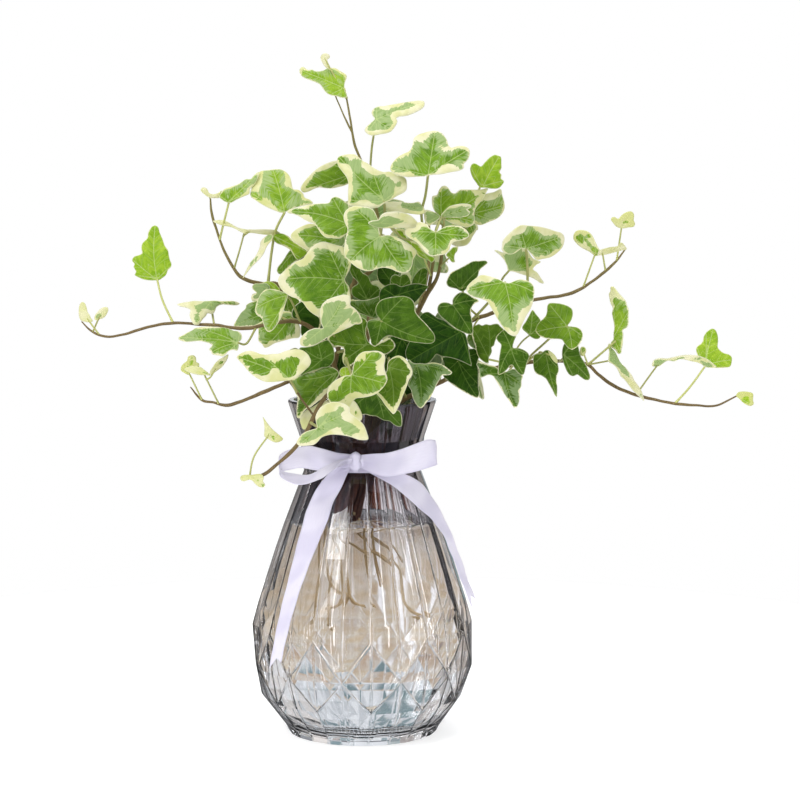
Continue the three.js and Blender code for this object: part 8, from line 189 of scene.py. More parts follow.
 ["b18","M","b3",0,[9.96,49.68,161.18],[0.1853,0.3306,-0.9254],[0.0328,0.9391,0.342],[25,0],[-0.08,-0.008,0,-0.0064],[11.5,14.5,11.5,-14.5,-5,8.8,-5,-8.8],[0,0.9,-2.4,3.2,-5.8,5.8,-5.2,9.3,-1.3,11.2,2.6,10.5,5.3,8.8,6.5,11.4,9.4,13.7,11.8,12.8,12.7,9.8,12.9,6.2,16.6,4.9,21.1,2.9,25.3,-0.1,20.6,-3.6,16.2,-4.9,13.1,-6.1,12.2,-10.5,11.6,-13.2,9.2,-13.6,6.6,-11.1,5.1,-8.9,2.1,-10.8,-0.9,-11.2,-5.1,-8.7,-5.1,-5.5,-2.6,-2.9,-0.1,-0.5],[10.3,50.3,159.5,0.5,9.3,46.8,163.3,0.5,5.6,41.9,165.3,0.5,1.2,34.5,172.7,0.5]],
 ["b19","G","b1",0,[-30.25,14,228.04],[-0.3841,0.2934,-0.8754],[-0.9029,0.079,0.4226],[25,0],[-0.08,-0.008,0,-0.0064],[11.5,14.5,11.5,-14.5,-5,8.8,-5,-8.8],[-0.1,0.7,-2.5,3,-5.4,5.8,-5,9.1,-1.3,11.5,2.5,11.1,5.3,9.2,6.4,11.6,9.2,14.3,12.3,13.6,12.8,10.6,13.3,6.2,16.7,5.3,21.4,3.3,25.3,0,21.4,-3.4,16.5,-5,13,-6.2,12.4,-10.2,11.2,-13.6,9.2,-13.9,6.9,-11.3,5,-9.3,2.1,-11.3,-1.6,-11.6,-5.4,-9.1,-5,-5.8,-2,-3.2,-0.2,-0.5],[-30.6,15.1,226.9,0.5,-27.3,13,229.8,0.5,-25.4,24.6,226.3,0.5,-20.6,35.3,228.3,0.5]],
 ["b20","D","b1",0,[-21.88,18,185.26],[-0.3759,-0.048,-0.9254],[-0.883,0.3214,0.342],[25,0],[-0.08,-0.008,0,-0.0064],[11.5,14.5,11.5,-14.5,-5,8.8,-5,-8.8],[-0.1,0.8,-2.5,3.2,-5.8,6.1,-5,9.7,-1.3,12.1,2.2,11.4,4.9,9.6,6.8,11.9,9.5,14.1,12,14.1,12.5,10.6,13,6.2,16.5,5.3,21.4,3.4,24.9,-0.1,20.7,-3.5,16.7,-5.1,13.6,-6.5,12.1,-10.5,11.3,-13.8,9.2,-14.1,6.4,-11.8,5,-9.7,2.4,-11.4,-1.3,-11.8,-5.2,-9.1,-5.6,-5.8,-2.1,-3,-0.1,-0.8],[-22.5,18,183.6,0.5,-19,17.5,187.4,0.5,-16.1,17.7,179.6,0.5,-10.5,17.6,177.4,0.5]],
 ["b21","P","b2",0,[35.39,16,237.64],[0.3729,0.4949,-0.7849],[0.8529,0.1504,0.5],[20,0],[-0.08,-0.01,0,-0.008],[9.2,11.6,9.2,-11.6,-4,7,-4,-7],[0.1,0.7,-1.8,2.9,-4.3,5.5,-3.8,8.6,-0.6,10.5,2.2,10.1,3.7,8.6,5.6,10.8,7.3,12.7,9.6,12.5,9.7,9.4,10.6,5.9,13,4.9,16.9,3.1,20,0.3,16.7,-2.9,13.2,-4.2,10.8,-5.7,10,-9.4,9,-12.2,7.3,-12.5,5,-10.1,3.8,-8.3,1.7,-10.3,-1,-10.6,-4.1,-8.4,-4,-5.4,-1.6,-2.6,0.1,-0.6],[36,16.8,236.3,0.5,32.6,14.2,239,0.5,34,26.6,237.4,0.5,32.6,37.1,239.7,0.5]],
 ["b22","G","b2",0,[33.62,22,186],[0.3445,0.0511,-0.9374],[0.883,0.3214,0.342],[21,0],[-0.08,-0.0095,0,-0.0076],[9.7,12.2,9.7,-12.2,-4.2,7.3,-4.2,-7.3],[0,0.8,-2,3.1,-4.7,6,-4.2,8.9,-0.7,11.3,2.2,10.5,4.5,9.2,5.5,11.4,8.3,13.6,9.9,12.9,10.3,9.7,11,6.1,13.6,4.9,17.6,2.7,20.7,-0.3,17.7,-3.8,13.8,-5,11,-6.3,10.4,-10.4,9.1,-13.3,7.7,-13.6,5.7,-11.2,4,-9.1,1.6,-10.8,-0.7,-11.1,-4.6,-8.8,-4.4,-5.7,-2.1,-2.8,0.2,-0.7],[34,22.4,184.4,0.5,30.8,21.2,188.1,0.5,29.3,25,189.3,0.5,25,27.9,195.4,0.5]],
]
LOOP_LEFT = [
    [-4.3,-31.5,136.65,-4.24,-34.5,130.93],
    [-10.79,-32,137.64,-10.68,-36,131.35],
    [-16.8,-32.5,139.33,-16.68,-36.5,130.94],
    [-23.71,-33.5,141.07,-23.71,-34.5,130.46],
    [-28.79,-34,140.66,-28.32,-35,130.99],
    [-33.81,-35.5,139.43,-33.31,-37,130.3],
    [-36.91,-38,137.86,-37.24,-41,129.87],
    [-37.93,-40.5,134.9,-36.84,-48,128.89],
    [-35.8,-42,130.68,-33.43,-52,127.1],
    [-29.32,-43,129.05,-28.33,-54,125.98],
    [-23.35,-43,129.19,-23.34,-54,126.21],
    [-17.9,-41,131.26,-18.45,-51,127.89],
    [-12.93,-38,133.91,-12.66,-46.5,131.01],
    [-6.99,-35.5,135.94,-6.88,-40,133.22],
    [-4.22,-35,136.12,-4.16,-38,133.21],
]
LOOP_RIGHT = [
    [-0.02,-36.5,137.22,-0.03,-36.5,131.17],
    [5.08,-38,137.95,4.61,-38.5,129.09],
    [11.55,-40,138.55,11.09,-41,127.78],
    [18,-42,140.4,17.54,-43,128.73],
    [24.89,-42,142.94,24.43,-43,130.11],
    [30.42,-40,144.76,30.44,-40,131.37],
    [34.17,-36,144.14,34.65,-36.5,132.57],
    [33.78,-32,143.24,34.26,-32,132.5],
    [29.16,-30,142.09,29.17,-30,131.32],
    [20.32,-30.5,139.34,20.33,-30.5,129.98],
    [11.03,-31.5,137.58,11.03,-31.5,129.63],
    [2.21,-31.8,136.21,2.2,-31.8,131.07],
]
TAIL_LEFT = [
    [-10.89,-29.01,131.2,-4.33,-30.65,130.93],
    [-16.87,-25.25,125.57,-6.22,-29.78,128.01],
    [-22.08,-23.28,118.09,-9.28,-29.41,121.39],
    [-25.71,-23.67,110.24,-13.21,-30.78,114.06],
    [-27.13,-24.92,105.21,-15.64,-32.87,106.38],
    [-31.14,-28.48,90.15,-21.95,-35.58,91.3],
    [-35.07,-31.66,74.62,-27.96,-37.65,75.69],
    [-37.98,-34.13,62.79,-31.62,-39.66,63.85],
    [-40.36,-35.88,50.99,-34.65,-41.38,52.12],
    [-43.12,-32.5,36.38,-37.34,-39,40.17],
]
TAIL_RIGHT = [
    [2.22,-32.5,133.96,1.28,-32.5,129.75],
    [11.48,-30,131.32,8.23,-31,125.82],
    [20.72,-25,126.71,16.04,-29,120.87],
    [26.01,-19,123.36,23.14,-28,114.62],
    [30.79,-14,118.18,29.25,-25,109.01],
    [35.58,-12,110.5,34.01,-21,103.68],
    [39.69,-11.5,102.76,38.29,-20,97.34],
    [43.71,-11.5,93.15,41.6,-20,89.72],
    [47.53,-12,83.13,45.39,-20.5,80.4],
    [50.87,-12.5,73.58,48.69,-21.5,71.36],
    [53.91,-13.5,65.57,51.99,-22.5,63.42],
]
ROOTS = [
    [[-13.6,-4,106],[-15,-5.1,97.5],[-15.5,-6.3,83.1],[-13.1,-7.4,71.2],[-8.3,-8.6,66.6],[-6.6,-9.7,65.8],[-8.8,-10.9,60.7],[-15.4,-12,59.5]],
    [[-11.8,-2,104.7],[-12.3,-2.3,97],[-11.8,-2.5,91.2],[-8.4,-2.8,85],[-7,-3,75.3],[-6.1,-3.3,68],[-5.1,-3.5,63.2],[-2.7,-3.8,60.3],[3.1,-4,58]],
    [[-8,0,104.5],[-8,-1.1,91.5],[-3.6,-2.2,88.3],[1.7,-3.3,85.1],[8.4,-4.4,81.9],[13.7,-5.6,77.2],[15.1,-6.7,67.7],[16.1,-7.8,61.1],[20.4,-8.9,57],[26.6,-10,55.2]],
    [[-6.1,3,105],[-1.4,4.8,94],[4.9,6.5,88.4],[9.3,8.3,85.1],[13.6,10,77.5]],
    [[-5,-4,106],[0.7,-2.8,100],[1.7,-1.6,96],[2.6,-0.4,84.6],[3.5,0.8,77.1],[5.4,2,67.1]],
    [[-10,2,104.2],[-10.6,5,91],[-11.7,8,75.8],[-13.2,11,60.5],[-12.4,14,45.1]],
]
BUNDLE = [
  [-7, -12, 140.5, 3.2, -9, -8, 122, 3.4, -13, -5, 104, 2.8, -15, -4, 97, 1.6],
  [1, -14, 139.5, 3.2, -3, -9, 121, 3.6, -8, -6, 106, 3, -9, -5, 98, 1.6],
  [8, -11, 140, 3.2, 3, -8, 121, 3.4, -3, -4, 105, 3, -4, -3, 98, 1.6],
  [-8, -3, 140.5, 3.4, -9, -2, 122, 3.6, -11, 0, 105, 3.2, -12, 1, 97, 1.8],
  [1, -4, 140.5, 4, -2, -3, 122, 4, -6, 0, 105, 3.6, -7, 1, 97, 2],
  [9, -2, 140.5, 3.4, 4, 0, 122, 3.6, -1, 2, 105, 3, -2, 3, 98, 1.6],
  [-3, 6, 140.5, 3.6, -4, 4, 122, 3.6, -7, 4, 105, 3, -8, 5, 98, 1.6],
  [6, 7, 140, 3.2, 3, 5, 122, 3.4, -3, 5, 105, 2.8, -4, 6, 98, 1.4],
  [-12, 4, 139.5, 3, -10, 3, 122, 3.2, -13, 4, 105, 2.6, -14, 5, 99, 1.4],
]
VINES = {
    "fl": "vine_long_left", "ul": "vine_upper_left", "ll": "vine_low_left", "bl": "vine_bottom_left", "top": "vine_top",
    "cr": "vine_centre_right", "ur": "vine_upper_right", "lr": "vine_low_right", "b1": "vine_back_left", "b2": "vine_back_right", "b3": "vine_back_centre",
}


# ------------------------------------------------------------------ helpers
def make_object(name, verts, faces, mats, smooth=True, slots=None, uv=None, attrs=None):
    me = bpy.data.meshes.new(name)
    me.from_pydata([tuple(v) for v in verts], [], faces)
    for m in mats:
        me.materials.append(m)
    if smooth:
        me.polygons.foreach_set("use_smooth", [True] * len(me.polygons))
    if slots is not None:
        me.polygons.foreach_set("material_index", slots)
    if uv is not None:
        layer = me.uv_layers.new(name="UVMap")
        idx = [0] * len(me.loops)
        me.loops.foreach_get("vertex_index", idx)
        flat = []
        for i in idx:
            flat.extend(uv[i])
        layer.data.foreach_set("uv", flat)
    for key, (kind, data) in (attrs or {}).items():
        a = me.attributes.new(key, kind, "POINT")
        if kind == "FLOAT":
            a.data.foreach_set("value", data)
        else:
            a.data.foreach_set("color", [c for t in data for c in t])
    me.update()
    ob = bpy.data.objects.new(name, me)
    scene.collection.objects.link(ob)
    return ob


def catmull(pts, per, closed=False):
    """Centripetal Catmull-Rom through pts (lists of floats); per points for each span."""
    n = len(pts)
    out = []
    spans = n if closed else n - 1
    for i in range(spans):
        if closed:
            p0, p1, p2, p3 = pts[i - 1], pts[i], pts[(i + 1) % n], pts[(i + 2) % n]
        else:
            p1, p2 = pts[i], pts[i + 1]
            p0 = pts[i - 1] if i else [2 * a - b for a, b in zip(p1, p2)]
            p3 = pts[i + 2] if i + 2 < n else [2 * b - a for a, b in zip(p1, p2)]
        def dist(a, b):
            return max(1e-6, math.sqrt(sum((x - y) ** 2 for x, y in list(zip(a, b))[:3]))) ** 0.5
        t1 = dist(p0, p1)
        t2 = t1 + dist(p1, p2)
        t3 = t2 + dist(p2, p3)
        k = per if isinstance(per, int) else max(1, int(round((t2 - t1) ** 2 / per)))
        for s in range(k):
            t = t1 + (t2 - t1) * s / k
            q = []
            for a, b, c, d in zip(p0, p1, p2, p3):
                A1 = a * (t1 - t) / t1 + b * t / t1
                A2 = b * (t2 - t) / (t2 - t1) + c * (t - t1) / (t2 - t1)
                A3 = c * (t3 - t) / (t3 - t2) + d * (t - t2) / (t3 - t2)
                B1 = A1 * (t2 - t) / t2 + A2 * t / t2
                B2 = A2 * (t3 - t) / (t3 - t1) + A3 * (t - t1) / (t3 - t1)
                q.append(B1 * (t2 - t) / (t2 - t1) + B2 * (t - t1) / (t2 - t1))
            out.append(q)
    if not closed:
        out.append(list(pts[-1]))
    return out


def tube(path, sides, verts, faces, uv=None, flat_ends=True, twist=0.0, wobble=None):
    """path: list of [x, y, z, r] in mm. Appends a capped tube."""
    P = [Vector(p[:3]) for p in path]
    n = len(P)
    T = []
    for i in range(n):
        t = P[min(n - 1, i + 1)] - P[max(0, i - 1)]
        T.append(t.normalized() if t.length > 1e-9 else Vector((0, 0, 1)))
    ref = Vector((0, 0, 1)) if abs(T[0].z) < 0.9 else Vector((1, 0, 0))
    u = T[0].cross(ref).normalized()
    base = len(verts)
    run = 0.0
    for i in range(n):
        if i:
            u = (u - T[i] * u.dot(T[i]))
            u = u.normalized() if u.length > 1e-6 else T[i].orthogonal().normalized()
            run += (P[i] - P[i - 1]).length
        w = T[i].cross(u)
        r = path[i][3]
        for k in range(sides):
            a = 2 * math.pi * k / sides + twist * run
            rr = r * (wobble(i, k, run) if wobble else 1.0)
            q = P[i] + (u * math.cos(a) + w * math.sin(a)) * rr
            verts.append(q * MM)
            if uv is not None:
                uv.append((run * 0.1, k / sides))
    for i in range(n - 1):
        for k in range(sides):
            a = base + i * sides + k
            b = base + i * sides + (k + 1) % sides
            faces.append((a, b, b + sides, a + sides))
    faces.append(tuple(base + k for k in reversed(range(sides))))
    faces.append(tuple(base + (n - 1) * sides + k for k in range(sides)))


# ------------------------------------------------------------------ material helpers
class Tree:
    def __init__(self, name):
        self.mat = bpy.data.materials.new(name)
        self.mat.use_nodes = True
        self.nt = self.mat.node_tree
        self.nt.nodes.clear()
        self.out = self.nt.nodes.new("ShaderNodeOutputMaterial")
        self.bsdf = self.nt.nodes.new("ShaderNodeBsdfPrincipled")
        self.nt.links.new(self.bsdf.outputs[0], self.out.inputs[0])

    def put(self, socket, value):
        if isinstance(value, bpy.types.NodeSocket):
            self.nt.links.new(value, socket)
        elif value is not None:
            socket.default_value = value

    def math(self, op, a, b=None, c=None, clamp=False):
        n = self.nt.nodes.new("ShaderNodeMath")
        n.operation = op
        n.use_clamp = clamp
        for i, v in enumerate((a, b, c)):
            if v is not None:
                self.put(n.inputs[i], v)
        return n.outputs[0]

    def mix(self, f, a, b, mode="MIX"):
        n = self.nt.nodes.new("ShaderNodeMix")
        n.data_type = "RGBA"
        n.blend_type = mode
        n.clamp_factor = True
        self.put(n.inputs[0], f)
        self.put(n.inputs[6], a if isinstance(a, bpy.types.NodeSocket) else (*a, 1))
        self.put(n.inputs[7], b if isinstance(b, bpy.types.NodeSocket) else (*b, 1))
        return n.outputs[2]

    def attr(self, name, out="Fac"):
        n = self.nt.nodes.new("ShaderNodeAttribute")
        n.attribute_name = name
        return n.outputs[out]

    def noise(self, vec, scale, detail=3.0, rough=0.5, distort=0.0):
        n = self.nt.nodes.new("ShaderNodeTexNoise")
        self.put(n.inputs["Vector"], vec)
        n.inputs["Scale"].default_value = scale
        n.inputs["Detail"].default_value = detail
        n.inputs["Roughness"].default_value = rough
        n.inputs["Distortion"].default_value = distort
        return n.outputs["Fac"]

    def combine(self, x, y, z=0.0):
        n = self.nt.nodes.new("ShaderNodeCombineXYZ")
        for i, v in enumerate((x, y, z)):
            self.put(n.inputs[i], v)
        return n.outputs[0]

    def separate(self, v):
        n = self.nt.nodes.new("ShaderNodeSeparateXYZ")
        self.put(n.inputs[0], v)
        return n.outputs

    def coords(self, which):
        n = self.nt.nodes.new("ShaderNodeTexCoord")
        return n.outputs[which]

    def ramp(self, fac, stops):
        n = self.nt.nodes.new("ShaderNodeValToRGB")
        el = n.color_ramp.elements
        while len(el) > 1:
            el.remove(el[-1])
        el[0].position, el[0].color = stops[0][0], (*stops[0][1], 1)
        for p, c in stops[1:]:
            e = el.new(p)
            e.color = (*c, 1)
        self.put(n.inputs[0], fac)
        return n.outputs[0]

    def smoothstep(self, x, lo, hi):
        n = self.nt.nodes.new("ShaderNodeMapRange")
        n.interpolation_type = "SMOOTHSTEP"
        n.inputs[1].default_value = lo
        n.inputs[2].default_value = hi
        n.inputs[3].default_value = 0
        n.inputs[4].default_value = 1
        self.put(n.inputs[0], x)
        return n.outputs[0]

    def bump(self, height, strength, distance=0.001):
        n = self.nt.nodes.new("ShaderNodeBump")
        n.inputs["Strength"].default_value = strength
        n.inputs["Distance"].default_value = distance
        self.put(n.inputs["Height"], height)
        self.nt.links.new(n.outputs[0], self.bsdf.inputs["Normal"])


# ------------------------------------------------------------------ materials
def leaf_material():
    """A cream margin of uneven width, eaten into by green fingers that follow the side veins, grey-green streaks beside it and clear green at the middle."""
    t = Tree("ivy_leaf")
    M = t.math
    vd, va, ed = t.attr("vein_off"), t.attr("vein_run"), t.attr("edge")
    sort = t.nt.nodes.new("ShaderNodeAttribute")
    sort.attribute_name = "sort"
    sep = t.nt.nodes.new("ShaderNodeSeparateColor")
    t.nt.links.new(sort.outputs["Color"], sep.inputs[0])
    margin, pale, young = sep.outputs[0], sep.outputs[1], sep.outputs[2]
    dark = sort.outputs["Alpha"]
    uv = t.coords("UV")
    # lines of one slant run from the main veins out to the edge
    slant = M("SUBTRACT", va, M("MULTIPLY", vd, 0.85))
    seed = M("MULTIPLY", t.attr("seed"), 31.0)
    finger = t.noise(t.combine(M("MULTIPLY", slant, 0.50), M("MULTIPLY", vd, 0.09), seed), 1.0, 2.5, 0.62)
    fine = t.noise(t.combine(M("MULTIPLY", slant, 1.5), M("MULTIPLY", vd, 0.18), seed), 1.0, 2.0, 0.6)
    swell = t.smoothstep(t.noise(uv, 2.6, 1.0, 0.4), 0.38, 0.66)
    # the margin closes up where the petiole joins, except on blades that are nearly all cream
    far = M("SQRT", M("ADD", M("MULTIPLY", va, va), M("MULTIPLY", vd, vd)))
    far = M("MAXIMUM", M("ADD", 0.15, M("MULTIPLY", t.smoothstep(far, 2.0, 9.0), 0.85)), t.smoothstep(margin, 0.40, 0.70))
    width = M("MULTIPLY", far, M("MULTIPLY", M("MULTIPLY", margin, 10.0), M("ADD", 0.26, M("MULTIPLY", swell, 2.05))))
    reach = M("MULTIPLY", M("ADD", M("MULTIPLY", M("SUBTRACT", finger, 0.5), 7.0), M("MULTIPLY", M("SUBTRACT", fine, 0.5), 1.8)), M("MINIMUM", M("ADD", M("MULTIPLY", margin, 2.6), 0.12), 1.0))
    reach = M("MULTIPLY", reach, far)
    band = M("SUBTRACT", M("ADD", width, reach), ed)
    cream = t.smoothstep(band, -0.10, 0.22)
    # a thin pale rim along every blade's edge, a painted edge highlight; on cream-edged blades it runs into the real
    # cream margin
    rim = M("SUBTRACT", 1.0, t.smoothstep(ed, 0.10, 0.42))
    rim = M("MULTIPLY", rim, M("MINIMUM", M("ADD", M("MULTIPLY", margin, 6.0), 0.25), 1.0))
    cream = M("MAXIMUM", cream, rim)
    # grey-green streaks between green and margin
    patch = M("MULTIPLY", M("SUBTRACT", t.noise(uv, 1.7, 1.5, 0.45), 0.5), 13.0)
    near = M("SUBTRACT", M("ADD", M("MULTIPLY", pale, 7.2), M("MULTIPLY", patch, M("MINIMUM", M("MULTIPLY", pale, 2.0), 1.0))), M("MULTIPLY", M("MAXIMUM", M("MULTIPLY", band, -1.0), 0.0), 0.75))
    near = M("SUBTRACT", near, M("MULTIPLY", M("SUBTRACT", 1.0, t.smoothstep(vd, 0.2, 1.8)), 2.2))
    streak = t.noise(t.combine(M("MULTIPLY", slant, 1.1), M("MULTIPLY", vd, 0.16), M("ADD", seed, 7.0)), 1.0, 3.0, 0.65)
    grey_f = t.smoothstep(M("ADD", near, M("MULTIPLY", M("SUBTRACT", streak, 0.5), 10.0)), 0.2, 2.6)
    grey_f = M("MULTIPLY", grey_f, M("MINIMUM", M("MULTIPLY", pale, 2.2), 0.88))
    tone = t.noise(t.combine(M("MULTIPLY", slant, 0.30), M("MULTIPLY", vd, 0.20), M("ADD", seed, 3.0)), 1.0, 3.0, 0.6)
    tone = t.smoothstep(tone, 0.30, 0.70)
    green = t.mix(tone, (0.080, 0.190, 0.006), (0.175, 0.335, 0.018))
    # deeper green for dark leaves, partly painted shade: leaves that lie inside the plant are painted as dark as they
    # look in shade; the grey streaks and the veins darken with them
    deep_green_and_shade = t.mix(tone, (0.007, 0.036, 0.001), (0.026, 0.084, 0.003))
    green = t.mix(dark, green, deep_green_and_shade)
    fresh = t.mix(tone, (0.240, 0.430, 0.010), (0.420, 0.590, 0.045))
    green = t.mix(young, green, fresh)
    grey = t.mix(streak, (0.195, 0.325, 0.075), (0.480, 0.585, 0.290))
    grey = t.mix(M("MULTIPLY", dark, 0.7), grey, (0.075, 0.140, 0.065))
    creamc = t.mix(t.smoothstep(t.noise(uv, 3.4, 2.0), 0.35, 0.65), (0.660, 0.660, 0.310), (0.785, 0.760, 0.510))
    creamc = t.mix(M("MULTIPLY", young, 0.72), creamc, (0.560, 0.605, 0.145))
    col = t.mix(grey_f, green, grey)
    col = t.mix(cream, col, creamc)
    # painted highlight: on blades whose margin is narrow the rim is painted lighter still, a near-white line along the
    # edge
    col = t.mix(M("MULTIPLY", M("MULTIPLY", rim, 0.45), M("SUBTRACT", 1.0, t.smoothstep(margin, 0.22, 0.45))), col, (0.860, 0.860, 0.700))
    # veins: main ones from their own line, side ones leave them at a steady slant
    main = M("SUBTRACT", 1.0, t.smoothstep(vd, 0.08, 0.32))
    wob = M("MULTIPLY", M("SUBTRACT", t.noise(uv, 3.0, 2.0), 0.5), 2.4)
    side = M("ABSOLUTE", M("SUBTRACT", M("FRACT", M("MULTIPLY", M("ADD", slant, wob), 0.27)), 0.5))
    side = M("MULTIPLY", M("SUBTRACT", 1.0, t.smoothstep(side, 0.010, 0.055)), M("SUBTRACT", 1.0, t.smoothstep(vd, 2.0, 8.0)))
    net_n = t.nt.nodes.new("ShaderNodeTexVoronoi")
    net_n.feature = "DISTANCE_TO_EDGE"
    net_n.inputs["Scale"].default_value = 22
    t.nt.links.new(uv, net_n.inputs["Vector"])
    net = M("SUBTRACT", 1.0, t.smoothstep(net_n.outputs["Distance"], 0.0, 0.08))
    veins = M("MAXIMUM", M("MULTIPLY", main, 0.80), M("MAXIMUM", M("MULTIPLY", side, 0.58), M("MULTIPLY", net, 0.14)))
    # on dark leaves the veins darken too, carrying the same painted shade
    vein_col = t.mix(0.70, col, t.mix(dark, (0.520, 0.620, 0.250), (0.130, 0.230, 0.035)))
    col = t.mix(M("MULTIPLY", veins, M("SUBTRACT", 1.0, M("MULTIPLY", cream, 0.7))), col, vein_col)
    # the underside is duller and greyer
    under = t.attr("under")
    col = t.mix(M("MULTIPLY", under, 0.55), col, t.mix(0.5, col, (0.420, 0.520, 0.330)))
    t.put(t.bsdf.inputs["Base Color"], col)
    t.put(t.bsdf.inputs["Roughness"], M("ADD", 0.40, M("MULTIPLY", M("ADD", fine, M("MULTIPLY", under, 0.6)), 0.20)))
    t.bsdf.inputs["Specular IOR Level"].default_value = 0.11
    t.bump(M("ADD", M("MULTIPLY", veins, -0.7), M("MULTIPLY", t.noise(uv, 9.0, 2.0), 0.35)), 0.26, 0.0004)
    return t.mat


def stem_material():
    t = Tree("ivy_stem")
    p = t.coords("Object")
    uv = t.coords("UV")
    n1 = t.noise(p, 160, 4, 0.6)
    n2 = t.noise(t.combine(t.math("MULTIPLY", t.separate(uv)[0], 4.0), t.math("MULTIPLY", t.separate(uv)[1], 14.0)), 3.0, 4, 0.65)
    col = t.mix(n1, (0.095, 0.055, 0.018), (0.255, 0.180, 0.060))
    col = t.mix(t.smoothstep(n2, 0.57, 0.77), col, (0.370, 0.285, 0.130))
    z = t.separate(p)[2]
    col = t.mix(t.math("MULTIPLY", t.smoothstep(z, 0.19, 0.26), 0.50), col, (0.290, 0.270, 0.075))
    t.put(t.bsdf.inputs["Base Color"], col)
    t.put(t.bsdf.inputs["Roughness"], t.math("ADD", 0.5, t.math("MULTIPLY", n2, 0.25)))
    t.bump(n2, 0.5, 0.0004)
    return t.mat


def petiole_material():
    t = Tree("ivy_petiole")
    p = t.coords("Object")
    n1 = t.noise(p, 220, 3, 0.6)
    young = t.attr("young")
    col = t.mix(n1, (0.205, 0.200, 0.055), (0.380, 0.385, 0.130))
    col = t.mix(young, col, t.mix(n1, (0.430, 0.480, 0.110), (0.640, 0.640, 0.260)))
    t.put(t.bsdf.inputs["Base Color"], col)
    t.put(t.bsdf.inputs["Roughness"], t.math("ADD", 0.42, t.math("MULTIPLY", n1, 0.2)))
    t.bump(n1, 0.2, 0.0003)
    return t.mat


def root_material(name, dark, light):
    t = Tree(name)
    p = t.coords("Object")
    n1 = t.noise(p, 260, 4, 0.65)
    n2 = t.noise(t.combine(t.math("MULTIPLY", t.separate(p)[0], 900.0), t.math("MULTIPLY", t.separate(p)[1], 900.0), t.math("MULTIPLY", t.separate(p)[2], 60.0)), 1.0, 3, 0.6)
    col = t.mix(t.math("MULTIPLY", t.math("ADD", n1, n2), 0.5), dark, light)
    t.put(t.bsdf.inputs["Base Color"], col)
    t.put(t.bsdf.inputs["Roughness"], t.math("ADD", 0.55, t.math("MULTIPLY", n1, 0.25)))
    t.bump(n2, 0.5, 0.0005)
    return t.mat


def satin_material():
    t = Tree("lilac_satin")
    uv = t.coords("UV")
    s = t.separate(uv)
    weave = t.math("MULTIPLY", t.math("ADD", t.math("SINE", t.math("MULTIPLY", s[0], 6.2832 * 3.2)), t.math("SINE", t.math("MULTIPLY", s[1], 6.2832 * 3.2))), 0.5)
    slub = t.noise(t.combine(t.math("MULTIPLY", s[0], 0.12), t.math("MULTIPLY", s[1], 1.6)), 2.0, 3, 0.6)
    cross = t.attr("across")
    sel = t.math("SUBTRACT", 1.0, t.smoothstep(t.math("ABSOLUTE", t.math("SUBTRACT", t.math("ABSOLUTE", t.math("SUBTRACT", cross, 0.5)), 0.465)), 0.008, 0.03))
    col = t.mix(slub, (0.700, 0.665, 0.810), (0.840, 0.815, 0.920))
    col = t.mix(t.math("MULTIPLY", sel, 0.35), col, (0.560, 0.520, 0.690))
    # painted shade: slow patches of darker lilac along the ribbon stand in for the shade in its folds
    painted_fold_shade = t.noise(t.combine(t.math("MULTIPLY", s[0], 0.055), t.math("MULTIPLY", s[1], 0.05)), 1.0, 1.0, 0.4)
    col = t.mix(t.math("MULTIPLY", t.smoothstep(painted_fold_shade, 0.56, 0.40), 0.50), col, (0.560, 0.530, 0.700))
    # painted shade: the loops and tails darken within about 16 mm of the knot, as the creases there are shaded; the
    # centre of the knot itself is left out
    ox, oy, oz = t.separate(t.coords("Object"))[:3]
    knot_distance = t.math("SQRT", t.math("ADD", t.math("POWER", t.math("ADD", ox, 0.0026), 2.0), t.math("POWER", t.math("SUBTRACT", oz, 0.1337), 2.0)))
    col = t.mix(t.math("MULTIPLY", t.math("MULTIPLY", t.smoothstep(knot_distance, 0.016, 0.005), t.smoothstep(knot_distance, 0.0030, 0.0042)), 0.55), col, (0.400, 0.370, 0.520))
    t.put(t.bsdf.inputs["Base Color"], col)
    t.put(t.bsdf.inputs["Roughness"], t.math("ADD", 0.28, t.math("MULTIPLY", slub, 0.18)))
    t.bsdf.inputs["Sheen Weight"].default_value = 0.35
    t.bsdf.inputs["Sheen Roughness"].default_value = 0.4
    t.bsdf.inputs["Anisotropic"].default_value = 0.45
    t.bump(t.math("ADD", t.math("MULTIPLY", weave, 0.5), t.math("MULTIPLY", sel, 1.5)), 0.12, 0.0002)
    return t.mat


def glass_material():
    t = Tree("smoky_cut_glass")
    p = t.coords("Object")
    z = t.separate(p)[2]
    n = t.noise(p, 30, 3, 0.5)
    zz = t.math("ADD", t.math("MULTIPLY", z, 6.25), t.math("MULTIPLY", t.math("SUBTRACT", n, 0.5), 0.05))
    col = t.ramp(zz, [(0.0, (0.93, 0.937, 0.950)), (0.26, (0.90, 0.900, 0.908)), (0.45, (0.835, 0.825, 0.830)), (0.58, (0.74, 0.730, 0.738)), (0.68, (0.61, 0.600, 0.615)), (0.79, (0.39, 0.376, 0.396)), (0.88, (0.27, 0.258, 0.276)), (1.0, (0.28, 0.270, 0.290))])
    t.put(t.bsdf.inputs["Base Color"], col)
    t.bsdf.inputs["Transmission Weight"].default_value = 1.0
    t.bsdf.inputs["IOR"].default_value = 1.48
    t.put(t.bsdf.inputs["Roughness"], t.math("ADD", 0.012, t.math("MULTIPLY", n, 0.02)))
    t.bump(t.noise(p, 45, 2, 0.4), 0.08, 0.001)
    return t.mat


